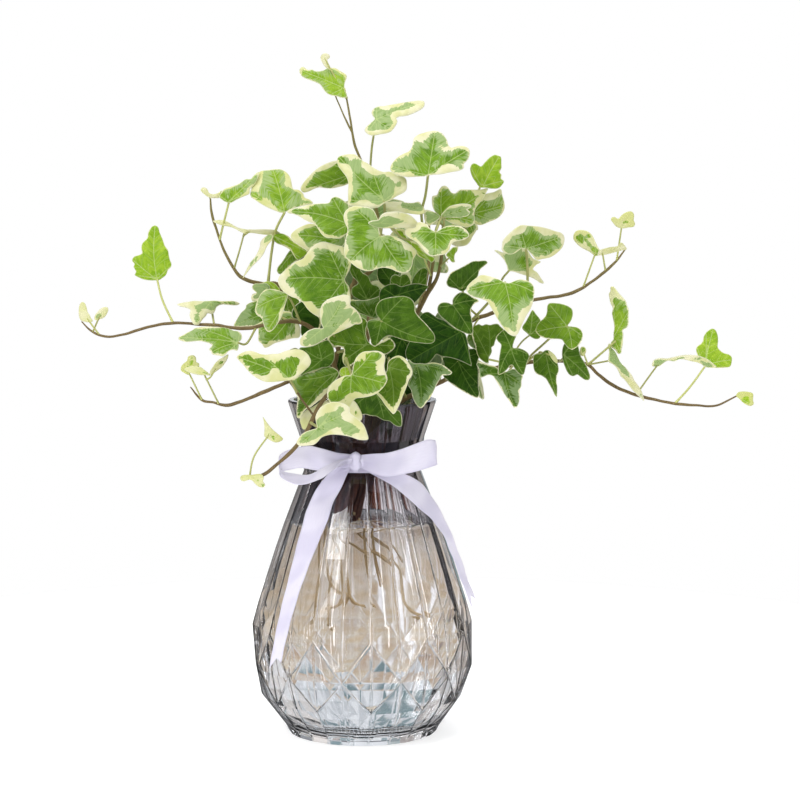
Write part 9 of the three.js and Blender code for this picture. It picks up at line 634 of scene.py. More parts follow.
def water_material():
    t = Tree("clear_water")
    p = t.coords("Object")
    n = t.noise(p, 25, 2, 0.5)
    t.put(t.bsdf.inputs["Base Color"], t.mix(n, (0.955, 0.968, 0.965), (0.975, 0.982, 0.98)))
    t.bsdf.inputs["Transmission Weight"].default_value = 1.0
    t.bsdf.inputs["IOR"].default_value = 1.33
    t.bsdf.inputs["Roughness"].default_value = 0.0
    t.bump(n, 0.03, 0.001)
    return t.mat


LEAF = leaf_material()
STEM = stem_material()
PETIOLE = petiole_material()
WOODY = root_material("old_stem_bundle", (0.070, 0.024, 0.014), (0.300, 0.125, 0.075))
ROOT = root_material("water_root", (0.480, 0.310, 0.130), (0.860, 0.660, 0.380))
SATIN = satin_material()
GLASS = glass_material()
WATER = water_material()

# margin (of 10 mm), grey streaks, young, dark; dark is a deeper green that is partly painted shade, for leaves lying in
# the shade inside the plant
SORTS = {
    "V": (0.20, 0.42, 0.03, 0.02), "V2": (0.34, 0.42, 0.06, 0.0), "P": (0.18, 0.86, 0.02, 0.0), "P2": (0.13, 0.95, 0.0, 0.0), "P3": (0.15, 0.72, 0.10, 0.0),
    "G": (0.012, 0.03, 0.02, 0.76), "G2": (0.010, 0.05, 0.05, 0.78), "G3": (0.015, 0.08, 0.10, 0.40), "D": (0.020, 0.08, 0.0, 0.85), "D2": (0.040, 0.30, 0.0, 0.60),
    "D3": (0.006, 0.02, 0.0, 1.0), "D4": (0.090, 0.18, 0.0, 0.62), "M": (0.060, 0.06, 0.10, 0.62), "M2": (0.050, 0.04, 0.08, 0.62),
    "Y": (0.020, 0.02, 0.85, 0.0), "Y2": (0.130, 0.30, 0.42, 0.0), "Y3": (0.040, 0.03, 0.55, 0.25), "C": (0.55, 0.28, 0.35, 0.0), "C2": (0.28, 0.38, 0.50, 0.0), "C3": (0.95, 0.15, 0.05, 0.0),
}


# ------------------------------------------------------------------ leaves
def seg_dist(p, a, b):
    dx, dy = b[0] - a[0], b[1] - a[1]
    L = dx * dx + dy * dy
    t = 0 if L < 1e-12 else max(0, min(1, ((p[0] - a[0]) * dx + (p[1] - a[1]) * dy) / L))
    return math.hypot(p[0] - a[0] - t * dx, p[1] - a[1] - t * dy), t


def inside(p, poly):
    c = False
    j = len(poly) - 1
    for i in range(len(poly)):
        a, b = poly[i], poly[j]
        if (a[1] > p[1]) != (b[1] > p[1]) and p[0] < (b[0] - a[0]) * (p[1] - a[1]) / (b[1] - a[1]) + a[0]:
            c = not c
        j = i
    return c


# per-leaf margin, grey streaks, young and dark, as in SORTS; the dark value is partly painted shade
LOOKS = {
    "13": (0.11, 0.30, 0.10, 0.05), "6": (0.10, 0.25, 0.15, 0.05), "16": (0.10, 0.34, 0.08, 0.0), "39": (0.20, 0.85, 0.02, 0.0), "15b": (0.42, 0.90, 0.0, 0.0),
    "44": (0.06, 0.50, 0.08, 0.05), "33b": (0.03, 0.02, 0.10, 0.78), "64": (0.04, 0.05, 0.60, 0.05), "21": (0.09, 0.40, 0.20, 0.10), "41": (0.34, 0.22, 0.10, 0.05),
    "62": (0.26, 0.60, 0.0, 0.05), "61": (0.03, 0.60, 0.0, 0.40), "61b": (0.05, 0.70, 0.0, 0.25), "66": (0.05, 0.15, 0.0, 0.85), "67": (0.02, 0.05, 0.10, 0.62),
    "78": (0.06, 0.05, 0.80, 0.0), "18": (0.19, 0.45, 0.0, 0.08), "38": (0.16, 0.25, 0.12, 0.02), "71": (0.05, 0.03, 0.55, 0.22), "61c": (0.04, 0.03, 0.75, 0.10),
    "27": (0.42, 0.35, 0.35, 0.0), "27b": (0.70, 0.35, 0.10, 0.0), "28": (0.60, 0.25, 0.60, 0.0), "47": (0.75, 0.25, 0.22, 0.0), "53": (0.62, 0.12, 0.90, 0.0),
    "55b": (0.80, 0.25, 0.15, 0.0), "56": (0.64, 0.30, 0.45, 0.0), "57": (0.72, 0.25, 0.40, 0.0), "60": (0.85, 0.25, 0.08, 0.0), "54": (0.66, 0.12, 0.75, 0.0),
    "2": (0.85, 0.25, 0.08, 0.0), "14": (0.16, 0.52, 0.05, 0.0), "5": (0.20, 0.58, 0.03, 0.0), "24": (0.18, 0.52, 0.02, 0.0), "25": (0.21, 0.62, 0.03, 0.0),
    "17": (0.20, 0.50, 0.12, 0.0), "11": (0.20, 0.45, 0.12, 0.0), "10": (0.13, 0.38, 0.36, 0.0), "7": (0.15, 0.42, 0.42, 0.0),
    "29": (0.02, 0.06, 0.16, 0.24), "30": (0.02, 0.05, 0.10, 0.34), "31": (0.02, 0.02, 0.05, 0.58), "23": (0.02, 0.03, 0.02, 0.70), "36": (0.03, 0.60, 0.0, 0.72),
    "34b": (0.05, 0.42, 0.0, 0.82), "42": (0.10, 0.28, 0.08, 0.48), "37": (0.08, 0.03, 0.15, 0.74), "70": (0.07, 0.12, 0.42, 0.12), "65": (0.09, 0.32, 0.08, 0.18),
    "1": (0.06, 0.30, 0.50, 0.0), "8": (0.08, 0.42, 0.45, 0.0), "14b": (0.16, 0.52, 0.05, 0.0), "3": (0.24, 0.98, 0.0, 0.0), "59": (0.34, 0.98, 0.0, 0.0), "48": (0.36, 0.95, 0.05, 0.0), "26": (0.24, 0.78, 0.05, 0.0), "12b": (0.24, 0.85, 0.0, 0.0),
}


def build_leaf(row, number):
    ident, sort, vine, own, O, X, N, tip, h, lobes, flat, petiole = row
    rng = random.Random(4100 + number)
    O, X, N = Vector(O), Vector(X).normalized(), Vector(N).normalized()
    Y = N.cross(X).normalized()
    poly = [[flat[i], flat[i + 1]] for i in range(0, len(flat), 2)]
    rim = catmull(poly, 0.75, closed=True)
    # even out
    pts = [rim[0]]
    for q in rim[1:]:
        if math.hypot(q[0] - pts[-1][0], q[1] - pts[-1][1]) > 0.42:
            pts.append(q)
    if math.hypot(pts[0][0] - pts[-1][0], pts[0][1] - pts[-1][1]) < 0.3:
        pts.pop()
    rim = pts
    size = math.hypot(*tip)
    ends = [tuple(tip)] + [(lobes[i], lobes[i + 1]) for i in range(0, len(lobes), 2)]
    veins = []
    for e in ends:
        L = math.hypot(*e)
        if L < 2.5:
            continue
        off = rng.uniform(-0.05, 0.05) * L
        line = []
        k = max(3, int(L / 0.9))
        for i in range(k + 1):
            s = i / k
            bow = off * math.sin(math.pi * s)
            line.append((e[0] * s * 0.97 - e[1] / L * bow, e[1] * s * 0.97 + e[0] / L * bow))
        veins.append(line)
    coords = [Vector(p) for p in rim]
    nb = len(coords)
    edges = []
    for line in veins:
        last = None
        for p in line:
            if not inside(p, rim):
                last = None
                continue
            if min(math.hypot(p[0] - q[0], p[1] - q[1]) for q in rim) < 0.35:
                last = None
                continue
            coords.append(Vector(p))
            if last is not None:
                edges.append((last, len(coords) - 1))
            last = len(coords) - 1
    xs, ys = [p[0] for p in rim], [p[1] for p in rim]
    step = 0.85 if size > 12 else 0.65
    j = 0
    y = min(ys)
    while y < max(ys):
        x = min(xs) + (0.5 * step if j % 2 else 0)
        while x < max(xs):
            if inside((x, y), rim) and min((x - q[0]) ** 2 + (y - q[1]) ** 2 for q in rim) > 0.2:
                if all(min((x - q[0]) ** 2 + (y - q[1]) ** 2 for q in line) > 0.12 for line in veins):
                    coords.append(Vector((x, y)))
            x += step
        y += step * 0.87
        j += 1
    res = geometry.delaunay_2d_cdt(coords, edges, [list(range(nb))], 1, 1e-5)
    V2, _, F2 = res[0], res[1], res[2]
    n = len(V2)
    ph = [rng.uniform(0, 6.283) for _ in range(4)]
    top, bot, A_off, A_run, A_edge, uvs = [], [], [], [], [], []
    amp = min(0.45, size * 0.016)
    su, sv = rng.uniform(0, 40), rng.uniform(0, 40)
    nr = len(rim)
    for p in V2:
        a, b = p.x, p.y
        best, run = 1e9, 0
        for line in veins:
            for i in range(len(line) - 1):
                d, s = seg_dist((a, b), line[i], line[i + 1])
                if d < best:
                    best, run = d, (i + s) * math.hypot(*line[-1]) / (len(line) - 1)
        if not veins:
            best, run = abs(b), abs(a)
        ed = min(seg_dist((a, b), rim[i], rim[(i + 1) % nr])[0] for i in range(nr))
        z = h[0] * (math.sqrt(b * b + 0.5) - 0.707) + h[1] * a * a + h[2] * a * b + h[3] * b * b
        # blade swells between its veins and waves a little at the rim
        z += amp * (1 - math.exp(-best * 0.8)) * min(1, ed * 0.6) * 0.9
        z += amp * 0.8 * math.sin(a * 0.42 + ph[0]) * math.sin(b * 0.37 + ph[1]) * math.exp(-ed * 0.25)
        th = 0.17 if ed > 0.3 else 0.10
        q = O + X * a + Y * b + N * z
        top.append((q + N * th) * MM)
        bot.append((q - N * th) * MM)
        A_off.append(best)
        A_run.append(run)
        A_edge.append(ed)
        uvs.append((a / 30 + su, b / 30 + sv))
    faces = []
    border = {}
    for f in F2:
        f = list(f)
        ar = sum(V2[f[i]].x * V2[f[(i + 1) % len(f)]].y - V2[f[(i + 1) % len(f)]].x * V2[f[i]].y for i in range(len(f)))
        if ar < 0:
            f.reverse()
        faces.append(tuple(f))
        faces.append(tuple(n + i for i in reversed(f)))
        for i in range(len(f)):
            e = (f[i], f[(i + 1) % len(f)])
            if (e[1], e[0]) in border:
                del border[(e[1], e[0])]
            else:
                border[e] = 1
    for a, b in border:
        faces.append((b, a, a + n, b + n))
    m, pale, young, dark = SORTS.get(sort, SORTS["V"])
    jit = lambda v, s: max(0.0, min(1.0, v * (1 + rng.uniform(-s, s))))
    m, pale, young, dark = LOOKS.get(ident, (m, pale, young, dark))
    s4 = (jit(m, 0.18), jit(pale, 0.15), jit(young, 0.12), jit(dark, 0.15))
    seed = rng.random()
    ob = make_object("ivy_leaf_" + ident, top + bot, faces, [LEAF], True, None, uvs + uvs,
                     {"vein_off": ("FLOAT", A_off + A_off), "vein_run": ("FLOAT", A_run + A_run), "edge": ("FLOAT", A_edge + A_edge), "sort": ("FLOAT_COLOR", [s4] * (2 * n)),
                      "seed": ("FLOAT", [seed] * (2 * n)), "under": ("FLOAT", [0.0] * n + [1.0] * n)})
    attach(ob, "root")
    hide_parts(("leaf_" + ident.zfill(2)) if own else VINES[vine])
    return ob


for number, row in enumerate(LEAVES):
    build_leaf(row, number)

# ------------------------------------------------------------------ stems and petioles
for key, name in VINES.items():
    verts, faces, uv, slots, young = [], [], [], [], []
    rng = random.Random(sum(map(ord, name)))
    for v, flat in STEMS:
        if v != key:
            continue
        path = catmull([flat[i:i + 4] for i in range(0, len(flat), 4)], 1.1)
        ph = rng.uniform(0, 6)
        f0 = len(faces)
        tube(path, 9, verts, faces, uv, wobble=lambda i, k, run: 1 + 0.07 * math.sin(run * 0.9 + ph) * math.cos(2 * math.pi * k / 9 + ph) + 0.05 * math.sin(run * 0.35))
        slots += [0] * (len(faces) - f0)
        young += [0.0] * (len(verts) - len(young))
    for row in LEAVES:
        if row[2] != key:
            continue
        flat = row[11]
        path = catmull([flat[i:i + 4] for i in range(0, len(flat), 4)], 1.0)
        # thicker where it leaves the stem
        m = len(path)
        for i, p in enumerate(path):
            p[3] = p[3] * (1.0 + 0.1 * (i / max(1, m - 1)) + (0.35 * max(0, (i / max(1, m - 1) - 0.85) / 0.15)))
        f0 = len(faces)
        tube(path, 7, verts, faces, uv)
        slots += [1] * (len(faces) - f0)
        s = SORTS.get(row[1], SORTS["V"])
        young += [min(1.0, s[2] + 0.25)] * (len(verts) - len(young))
    ob = make_object("ivy_" + name, verts, faces, [STEM, PETIOLE], True, slots, uv, {"young": ("FLOAT", young)})
    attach(ob, "root")
    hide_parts(name)

# ------------------------------------------------------------------ vase
OUTER = [
    (0, 36, 36), (2.5, 37, 37), (17.8, 48.7, 47.6), (33, 51.6, 53), (52, 53, 51.4), (63, 50, 49.6),
    (89, 41.6, 41.2), (100, 37.8, 37.4), (126, 28, 27.8), (142, 29.8, 29.6), (159, 35.6, 35.4), (160, 35.4, 35.2),
]
INNER = [(160, 33), (159.2, 32.4), (151, 29.2), (142, 26.4), (134, 25.0), (126, 24.5), (113, 28.6), (100, 33.6), (89, 37.8), (76, 42.4), (63, 46), (50, 47.6), (40, 47.6), (30, 46.2), (20, 43.6), (12, 39.5), (8.5, 35), (7, 31)]


RIDGE = [(0.0, 0.22), (0.24, 0.17), (0.48, 0.05), (0.78, 0.0)]


def build_vase():
    """Flat facets framed by raised lines on every upright and slanting edge; the level rings between facets carry no line."""
    import bmesh
    first = math.radians(5.4)
    n = len(OUTER)

    def point(m, k):
        z, ra, rs = OUTER[k]
        a = first + (m % 24) * math.radians(15)
        r = rs if m % 2 else ra
        return Vector((r * math.sin(a), -r * math.cos(a), z))

    facets = []
    for m in range(24):
        for k in range(n - 1):
            a, b, c, d = (m, k), (m + 1, k), (m + 1, k + 1), (m, k + 1)
            z = OUTER[k][0]
            if abs(z - 17.8) < 1 or abs(z - 33) < 1:
                up = (m % 2 == 0) == (abs(z - 17.8) < 1)
                facets += [(a, b, c), (a, c, d)] if up else [(a, b, d), (b, c, d)]
            else:
                facets.append((a, b, c, d))

    def ridged(p, q):
        return p[1] != q[1]

    def height(p):
        z = OUTER[p[1]][0]
        far = 0.45 if math.cos(first + p[0] * math.radians(15)) < 0 else 1.0
        return 0.0 if z < 1 or z > 150 else far * (0.55 if z < 3 or z > 120 else 1.0 if p[1] < 6 else 0.8)

    bm = bmesh.new()
    cache = {}

    def vert(v):
        key = (round(v.x, 4), round(v.y, 4), round(v.z, 4))
        if key not in cache:
            cache[key] = bm.verts.new(v * MM)
        return cache[key]

    for f in facets:
        P = [point(*p) for p in f]
        c = len(P)
        normal = (P[1] - P[0]).cross(P[-1] - P[0]).normalized()
        rings = []
        for off, lift in RIDGE:
            ring = []
            for i in range(c):
                prev, nxt = P[i - 1], P[(i + 1) % c]
                e0, e1 = ridged(f[i - 1], f[i]), ridged(f[i], f[(i + 1) % c])
                u, w = (prev - P[i]).normalized(), (nxt - P[i]).normalized()
                if off == 0:
                    q = P[i].copy()
                elif e0 and e1:
                    half = math.acos(max(-1, min(1, u.dot(w)))) / 2
                    q = P[i] + (u + w).normalized() * min(off / max(0.2, math.sin(half)), 3.2)
                elif e0:
                    q = P[i] + w * off
                else:
                    q = P[i] + u * off
                out = Vector((P[i].x, P[i].y, 0)).normalized()
                q = q + out * lift * height(f[i])
                ring.append(vert(q))
            rings.append(ring)
        for r0, r1 in zip(rings, rings[1:]):
            for i in range(c):
                j = (i + 1) % c
                quad = [r0[i], r0[j], r1[j], r1[i]]
                if ridged(f[i], f[j]):
                    clean = []
                    for v in quad:
                        if v not in clean:
                            clean.append(v)
                    if len(clean) > 2:
                        try:
                            bm.faces.new(clean)
                        except ValueError:
                            pass
        # level edges: the strip ends meet along the ring, so the middle face takes their points too
        middle = []
        for i in range(c):
            j = (i + 1) % c
            middle.append(rings[-1][i])
        try:
            bm.faces.new(middle)
        except ValueError:
            pass
    # bottom
    base = [cache[(round(q.x, 4), round(q.y, 4), round(q.z, 4))] for q in (point(m, 0) for m in range(24))]
    bottom_loop = [e for e in bm.edges if len(e.link_faces) == 1 and all(abs(v.co.z) < 1e-6 for v in e.verts)]
    top_loop = [e for e in bm.edges if len(e.link_faces) == 1 and all(abs(v.co.z - 0.160) < 1e-6 for v in e.verts)]
    bmesh.ops.edgeloop_fill(bm, edges=bottom_loop)
    # smooth inner wall
    S = 96
    prof = catmull([[r, 0.0, z] for z, r in INNER], 2)
    rows = []
    for k in range(S):
        a = first + k * 2 * math.pi / S
        rows.append([bm.verts.new((r * math.sin(a) * MM, -r * math.cos(a) * MM, z * MM)) for r, _, z in prof])
    inner_faces = []
    for k in range(S):
        k2 = (k + 1) % S
        for i in range(len(prof) - 1):
            inner_faces.append(bm.faces.new((rows[k][i], rows[k2][i], rows[k2][i + 1], rows[k][i + 1])))
    centre = bm.verts.new((0, 0, 7 * MM))
    for k in range(S):
        inner_faces.append(bm.faces.new((rows[k][-1], rows[(k + 1) % S][-1], centre)))
    for f in inner_faces:
        f.smooth = True
    # rim: join the outer ring to the inner one
    inner_loop = [bm.edges.get((rows[k][0], rows[(k + 1) % S][0])) for k in range(S)]
    made = bmesh.ops.bridge_loops(bm, edges=top_loop + inner_loop)
    bmesh.ops.recalc_face_normals(bm, faces=bm.faces)
    loose = [e for e in bm.edges if len(e.link_faces) != 2]
    print("vase open edges", len(loose), "faces", len(bm.faces))
    me = bpy.data.meshes.new("cut_glass_vase")
    bm.to_mesh(me)
    bm.free()
    me.materials.append(GLASS)
    ob = bpy.data.objects.new("cut_glass_vase", me)
    scene.collection.objects.link(ob)
    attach(ob, "root")
    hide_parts("glass_vase")
    return ob


build_vase()


def build_water():
    S = 96
    prof = [(0.0, 7.02)]
    inner = [(r, z) for z, r in reversed(INNER)]
    fine = catmull([[r, 0.0, z] for r, z in inner], 2)
    prof += [(r + 0.05, z + 0.02) for r, _, z in fine if z < 101]
    prof += [(33.2, 102.35), (32.6, 102.05), (31.5, 102.0)]
    verts, faces = [], []
    for k in range(S):
        a = k * 2 * math.pi / S
        for r, z in prof[1:]:
            verts.append((r * math.sin(a) * MM, -r * math.cos(a) * MM, z * MM))
    p = len(prof) - 1
    lo, hi = len(verts), len(verts) + 1
    verts += [(0, 0, prof[0][1] * MM), (0, 0, 102 * MM)]
    for k in range(S):
        k2 = (k + 1) % S
        for i in range(p - 1):
            a, b = k * p + i, k2 * p + i
            faces.append((a, b, b + 1, a + 1))
        faces.append((k2 * p, k * p, lo))
        faces.append((k * p + p - 1, k2 * p + p - 1, hi))
    ob = make_object("vase_water", verts, faces, [WATER])
    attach(ob, "root")
    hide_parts("water")


build_water()


def build_roots():
    verts, faces, slots, uv = [], [], [], []
    rng = random.Random(77)
    for flat in BUNDLE:
        base = [flat[i:i + 4] for i in range(0, len(flat), 4)]
        for s in range(4):
            ox, oy = rng.uniform(-1, 1), rng.uniform(-1, 1)
            line = [[q[0] + ox * (q[3] - 1.3) * 0.8 + rng.uniform(-0.4, 0.4), q[1] + oy * (q[3] - 1.3) * 0.8 + rng.uniform(-0.4, 0.4), q[2], rng.uniform(0.9, 1.5)] for q in base]
            line[-1][3] = 0.5
            f0 = len(faces)
            ph = rng.uniform(0, 6)
            tube(catmull(line, 1.6), 8, verts, faces, uv, wobble=lambda i, k, run: 1 + 0.12 * math.sin(run * 1.1 + ph + k))
            slots += [0] * (len(faces) - f0)
    for line in ROOTS:
        path = catmull([[*q, 1.05 if i == 0 else 0.68 if i < len(line) - 1 else 0.30] for i, q in enumerate(line)], 1.0)
        f0 = len(faces)
        tube(path, 7, verts, faces, uv, wobble=lambda i, k, run: 1 + 0.1 * math.sin(run * 1.7))
        slots += [1] * (len(faces) - f0)
        # finer roots that run beside it
        for s in range(2):
            a, b = len(line) // 3, len(line)
            off = [rng.uniform(-2.2, 2.2), rng.uniform(-1.6, 1.6)]
            side = [[q[0] + off[0] * j / (b - a), q[1] + off[1] * j / (b - a), q[2] + rng.uniform(-1.0, 1.0), 0.42 - 0.18 * j / (b - a)] for j, q in enumerate(line[a:b])]
            if len(side) > 2:
                f0 = len(faces)
                tube(catmull(side, 1.2), 6, verts, faces, uv)
                slots += [1] * (len(faces) - f0)
        # hair roots
        for s in range(5):
            i = rng.randrange(len(path) // 3, len(path))
            q = path[i]
            d = Vector((rng.uniform(-1, 1), rng.uniform(-1, 1), rng.uniform(-0.9, 0.1))).normalized() * rng.uniform(2.5, 5)
            hair = [[q[0], q[1], q[2], 0.16], [q[0] + d.x * 0.5, q[1] + d.y * 0.5, q[2] + d.z * 0.5 - 0.2, 0.13], [q[0] + d.x, q[1] + d.y, q[2] + d.z - 0.8, 0.07]]
            f0 = len(faces)
            tube(catmull(hair, 4), 5, verts, faces, uv)
            slots += [1] * (len(faces) - f0)
    ob = make_object("root_bundle", verts, faces, [WOODY, ROOT], True, slots, uv)
    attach(ob, "root")
    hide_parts("roots")


build_roots()


# ------------------------------------------------------------------ ribbon
def ribbon_strip(name, node, rows, ripple=0.25, notch=False, seed=1, pinch=()):
    rng = random.Random(seed)
    A = catmull([r[:3] for r in rows], 8)
    B = catmull([r[3:] for r in rows], 8)
    n = len(A)
    across = 16
    # keep both edges in step
    ph = rng.uniform(0, 6)
    verts, faces, uv, acr = [], [], [], []
    mids = [Vector([(a + b) / 2 for a, b in zip(p, q)]) for p, q in zip(A, B)]
    run = [0.0]
    for i in range(1, n):
        run.append(run[-1] + (mids[i] - mids[i - 1]).length)
    total = run[-1]
    width = sum((Vector(p) - Vector(q)).length for p, q in zip(A, B)) / n
    centre = []
    for i in range(n):
        a, b = Vector(A[i]), Vector(B[i])
        du = (mids[min(n - 1, i + 1)] - mids[max(0, i - 1)])
        nn = du.cross(b - a)
        nn = nn.normalized() if nn.length > 1e-9 else Vector((0, -1, 0))
        for k in range(across + 1):
            v = k / across
            env = min(1.0, run[i] / 6, (total - run[i]) / 3 + 0.2)
            lift = ripple * (math.sin(v * 3.1416 * 2 + run[i] * 0.14 + ph) * 0.6 + math.sin(run[i] * 0.45 + v * 2.2 + ph)) * env
            # gathers where the ribbon is pinched at the knot
            w = (b - a).length
            if w < 9.5:
                near = max(math.exp(-(run[i] / 9.0) ** 2) if "start" in pinch else 0.0, math.exp(-((total - run[i]) / 9.0) ** 2) if "end" in pinch else 0.0)
                lift += min(0.9, w / 18.8 * math.sqrt(2 * max(0.0, (10.5 / w) ** 2 - 1))) * math.sin(2 * math.pi * (1.5 * v + 0.12)) * near
            p = a.lerp(b, v) + nn * lift
            if notch:
                # swallow-tail end
                back = (abs(v - 0.5) * 2)
                f = max(0.0, 1 - (total - run[i]) / 5.0)
                p -= (mids[-1] - mids[-4]).normalized() * (1 - back) * 4.0 * f
            centre.append((p, nn))
            uv.append((run[i], v * width))
            acr.append(v)
    t = 0.11
    N1 = n * (across + 1)
    verts = [(p + nn * t) * MM for p, nn in centre] + [(p - nn * t) * MM for p, nn in centre]
    W = across + 1
    for i in range(n - 1):
        for k in range(across):
            a = i * W + k
            q = (a, a + 1, a + W + 1, a + W)
            faces.append(q)
            faces.append(tuple(N1 + x for x in reversed(q)))
    for i in range(n - 1):
        for k in (0, across):
            a, b = i * W + k, (i + 1) * W + k
            faces.append((a, b, b + N1, a + N1) if k == 0 else (b, a, a + N1, b + N1))
    for i in (0, n - 1):
        for k in range(across):
            a, b = i * W + k, i * W + k + 1
            faces.append((b, a, a + N1, b + N1) if i == 0 else (a, b, b + N1, a + N1))
    ob = make_object(name, verts, faces, [SATIN], True, None, uv + uv, {"across": ("FLOAT", acr + acr)})
    area = 0.0
    for i in range(n - 1):
        for k in range(across):
            p0, p1, p2, p3 = (centre[j][0] for j in (i * W + k, i * W + k + 1, (i + 1) * W + k + 1, (i + 1) * W + k))
            area += ((p1 - p0).cross(p2 - p0).length + (p2 - p0).cross(p3 - p0).length) / 2
    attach(ob, "root")
    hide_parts(node)
    RIBBON[name] = (total * MM, area / total * MM)
    print(name, "length", round(total, 1), "mean width", round(area / total, 2))
    return ob


RIBBON = {}
ribbon_strip("bow_loop_left", "ribbon_loop_left", LOOP_LEFT, 0.22, seed=3, pinch=("start", "end"))
ribbon_strip("bow_loop_right", "ribbon_loop_right", LOOP_RIGHT, 0.35, seed=5, pinch=("start", "end"))
ribbon_strip("bow_tail_left", "ribbon_tail_left", TAIL_LEFT, 0.12, True, seed=7, pinch=("start",))
ribbon_strip("bow_tail_right", "ribbon_tail_right", TAIL_RIGHT, 0.18, True, seed=9, pinch=("start",))


def ribbon_band():
    S, W = 144, 12
    def outer(z, m):
        for (z0, a0, s0), (z1, a1, s1) in zip(OUTER, OUTER[1:]):
            if z <= z1:
                f = (z - z0) / (z1 - z0)
                return (a0 + (a1 - a0) * f), (s0 + (s1 - s0) * f)
    verts, faces, uv, acr = [], [], [], []
    lo, hi = 127.9, 135.9
    for side in (0.16, -0.16):
        for k in range(S):
            a = math.radians(5.4) + 2 * math.pi * k / S
            for j in range(W + 1):
                v = j / W
                z = lo + (hi - lo) * v
                r = max(outer(z, 0)) + 0.62 + side + 0.22 * math.sin(a * 9 + 3 * v) * math.sin(v * 9.4) + 0.15 * math.sin(v * 18.8 + a * 2)
                verts.append((r * math.sin(a) * MM, -r * math.cos(a) * MM, z * MM))
                uv.append((a * 29, z - lo))
                acr.append(v)
    n = S * (W + 1)
    for k in range(S):
        k2 = (k + 1) % S
        for j in range(W):
            a, b = k * (W + 1) + j, k2 * (W + 1) + j
            faces.append((a, b, b + 1, a + 1))
            faces.append((a + n + 1, b + n + 1, b + n, a + n))
        for j in (0, W):
            a, b = k * (W + 1) + j, k2 * (W + 1) + j
            faces.append((b, a, a + n, b + n) if j == 0 else (a, b, b + n, a + n))
    ob = make_object("bow_band", verts, faces, [SATIN], True, None, uv, {"across": ("FLOAT", acr)})
    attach(ob, "root")
    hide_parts("ribbon_band")


ribbon_band()


def ribbon_knot():
    """The centre of the bow: ribbon pinched and wrapped over itself."""
    cx, cy, cz = -2.6, -33.6, 133.7
    hx, hy, hz = 3.3, 3.1, 4.5
    U, V = 48, 28
    verts, faces, uv, acr = [], [], [], []
    for i in range(V + 1):
        v = i / V
        ph = math.pi * (v - 0.5)
        for k in range(U):
            a = 2 * math.pi * k / U
            fold = 1 + 0.07 * math.sin(9.5 * math.sin(ph) + 1.2 * math.cos(a)) * abs(math.cos(a)) - 0.05 * math.cos(3 * a)
            r = math.cos(ph) ** 0.55 if abs(math.cos(ph)) > 1e-6 else 0
            x = cx + hx * 0.96 * r * math.cos(a) * fold
            y = cy + hy * 0.93 * r * math.sin(a) * fold
            z = cz + hz * 0.97 * math.sin(ph) * (1 - 0.08 * math.cos(a * 2))
            verts.append((x * MM, y * MM, z * MM))
            uv.append((a * 3.2, v * 12))
            acr.append(v)
    for i in range(V):
        for k in range(U):
            a, b = i * U + k, i * U + (k + 1) % U
            faces.append((a, b, b + U, a + U))
    faces.append(tuple(reversed(range(U))))
    faces.append(tuple(V * U + k for k in range(U)))
    ob = make_object("bow_knot", verts, faces, [SATIN], True, None, uv, {"across": ("FLOAT", acr)})
    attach(ob, "root")
    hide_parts("ribbon_knot")


ribbon_knot()

# ------------------------------------------------------------------ stage and light
# Pale floor: a glow (emission) of its own keeps it white and lightens the shadow on it. Rays that come through the
# glass see a painted room here instead, standing in for the surroundings the water bends into view: warm and grey-blue
# patches, light and dark streaks, dark to the sides, near-white in the middle. Mirror rays see it dark, a painted dark
# reflection.
t = Tree("pale_floor")
n = t.noise(t.coords("Object"), 3, 3)
fx, fy = t.separate(t.coords("Object"))[:2]
turn = t.math("ARCTAN2", fx, t.math("ADD", fy, 0.05))
room_patches = t.noise(t.coords("Object"), 13.0, 2.0, 0.5)
room_through_glass = t.ramp(room_patches, [(0.30, (0.34, 0.23, 0.16)), (0.42, (0.50, 0.395, 0.265)), (0.52, (0.54, 0.49, 0.43)), (0.60, (0.52, 0.43, 0.30)), (0.68, (0.22, 0.31, 0.34)), (0.76, (0.66, 0.65, 0.68))])
room_streaks = t.noise(t.combine(t.math("MULTIPLY", turn, 9.0), t.math("MULTIPLY", fy, 3.0)), 1.0, 2.0, 0.5)
room_through_glass = t.mix(t.smoothstep(room_streaks, 0.58, 0.66), room_through_glass, (0.90, 0.89, 0.92))
room_through_glass = t.mix(t.smoothstep(room_streaks, 0.40, 0.33), room_through_glass, (0.16, 0.15, 0.16))
room_through_glass = t.mix(t.smoothstep(t.math("ABSOLUTE", turn), 0.62, 0.95), room_through_glass, (0.06, 0.06, 0.066))
off = t.math("SQRT", t.math("ADD", t.math("MULTIPLY", fx, fx), t.math("MULTIPLY", fy, fy)))
room_through_glass = t.mix(t.math("MULTIPLY", t.smoothstep(off, 0.16, 0.30), 0.70), room_through_glass, t.mix(t.smoothstep(room_streaks, 0.45, 0.55), (0.34, 0.22, 0.13), (0.42, 0.38, 0.36)))
room_through_glass = t.mix(t.smoothstep(off, 0.085, 0.055), room_through_glass, t.mix(t.smoothstep(room_streaks, 0.42, 0.58), (0.60, 0.63, 0.68), (1.00, 1.00, 1.00)))
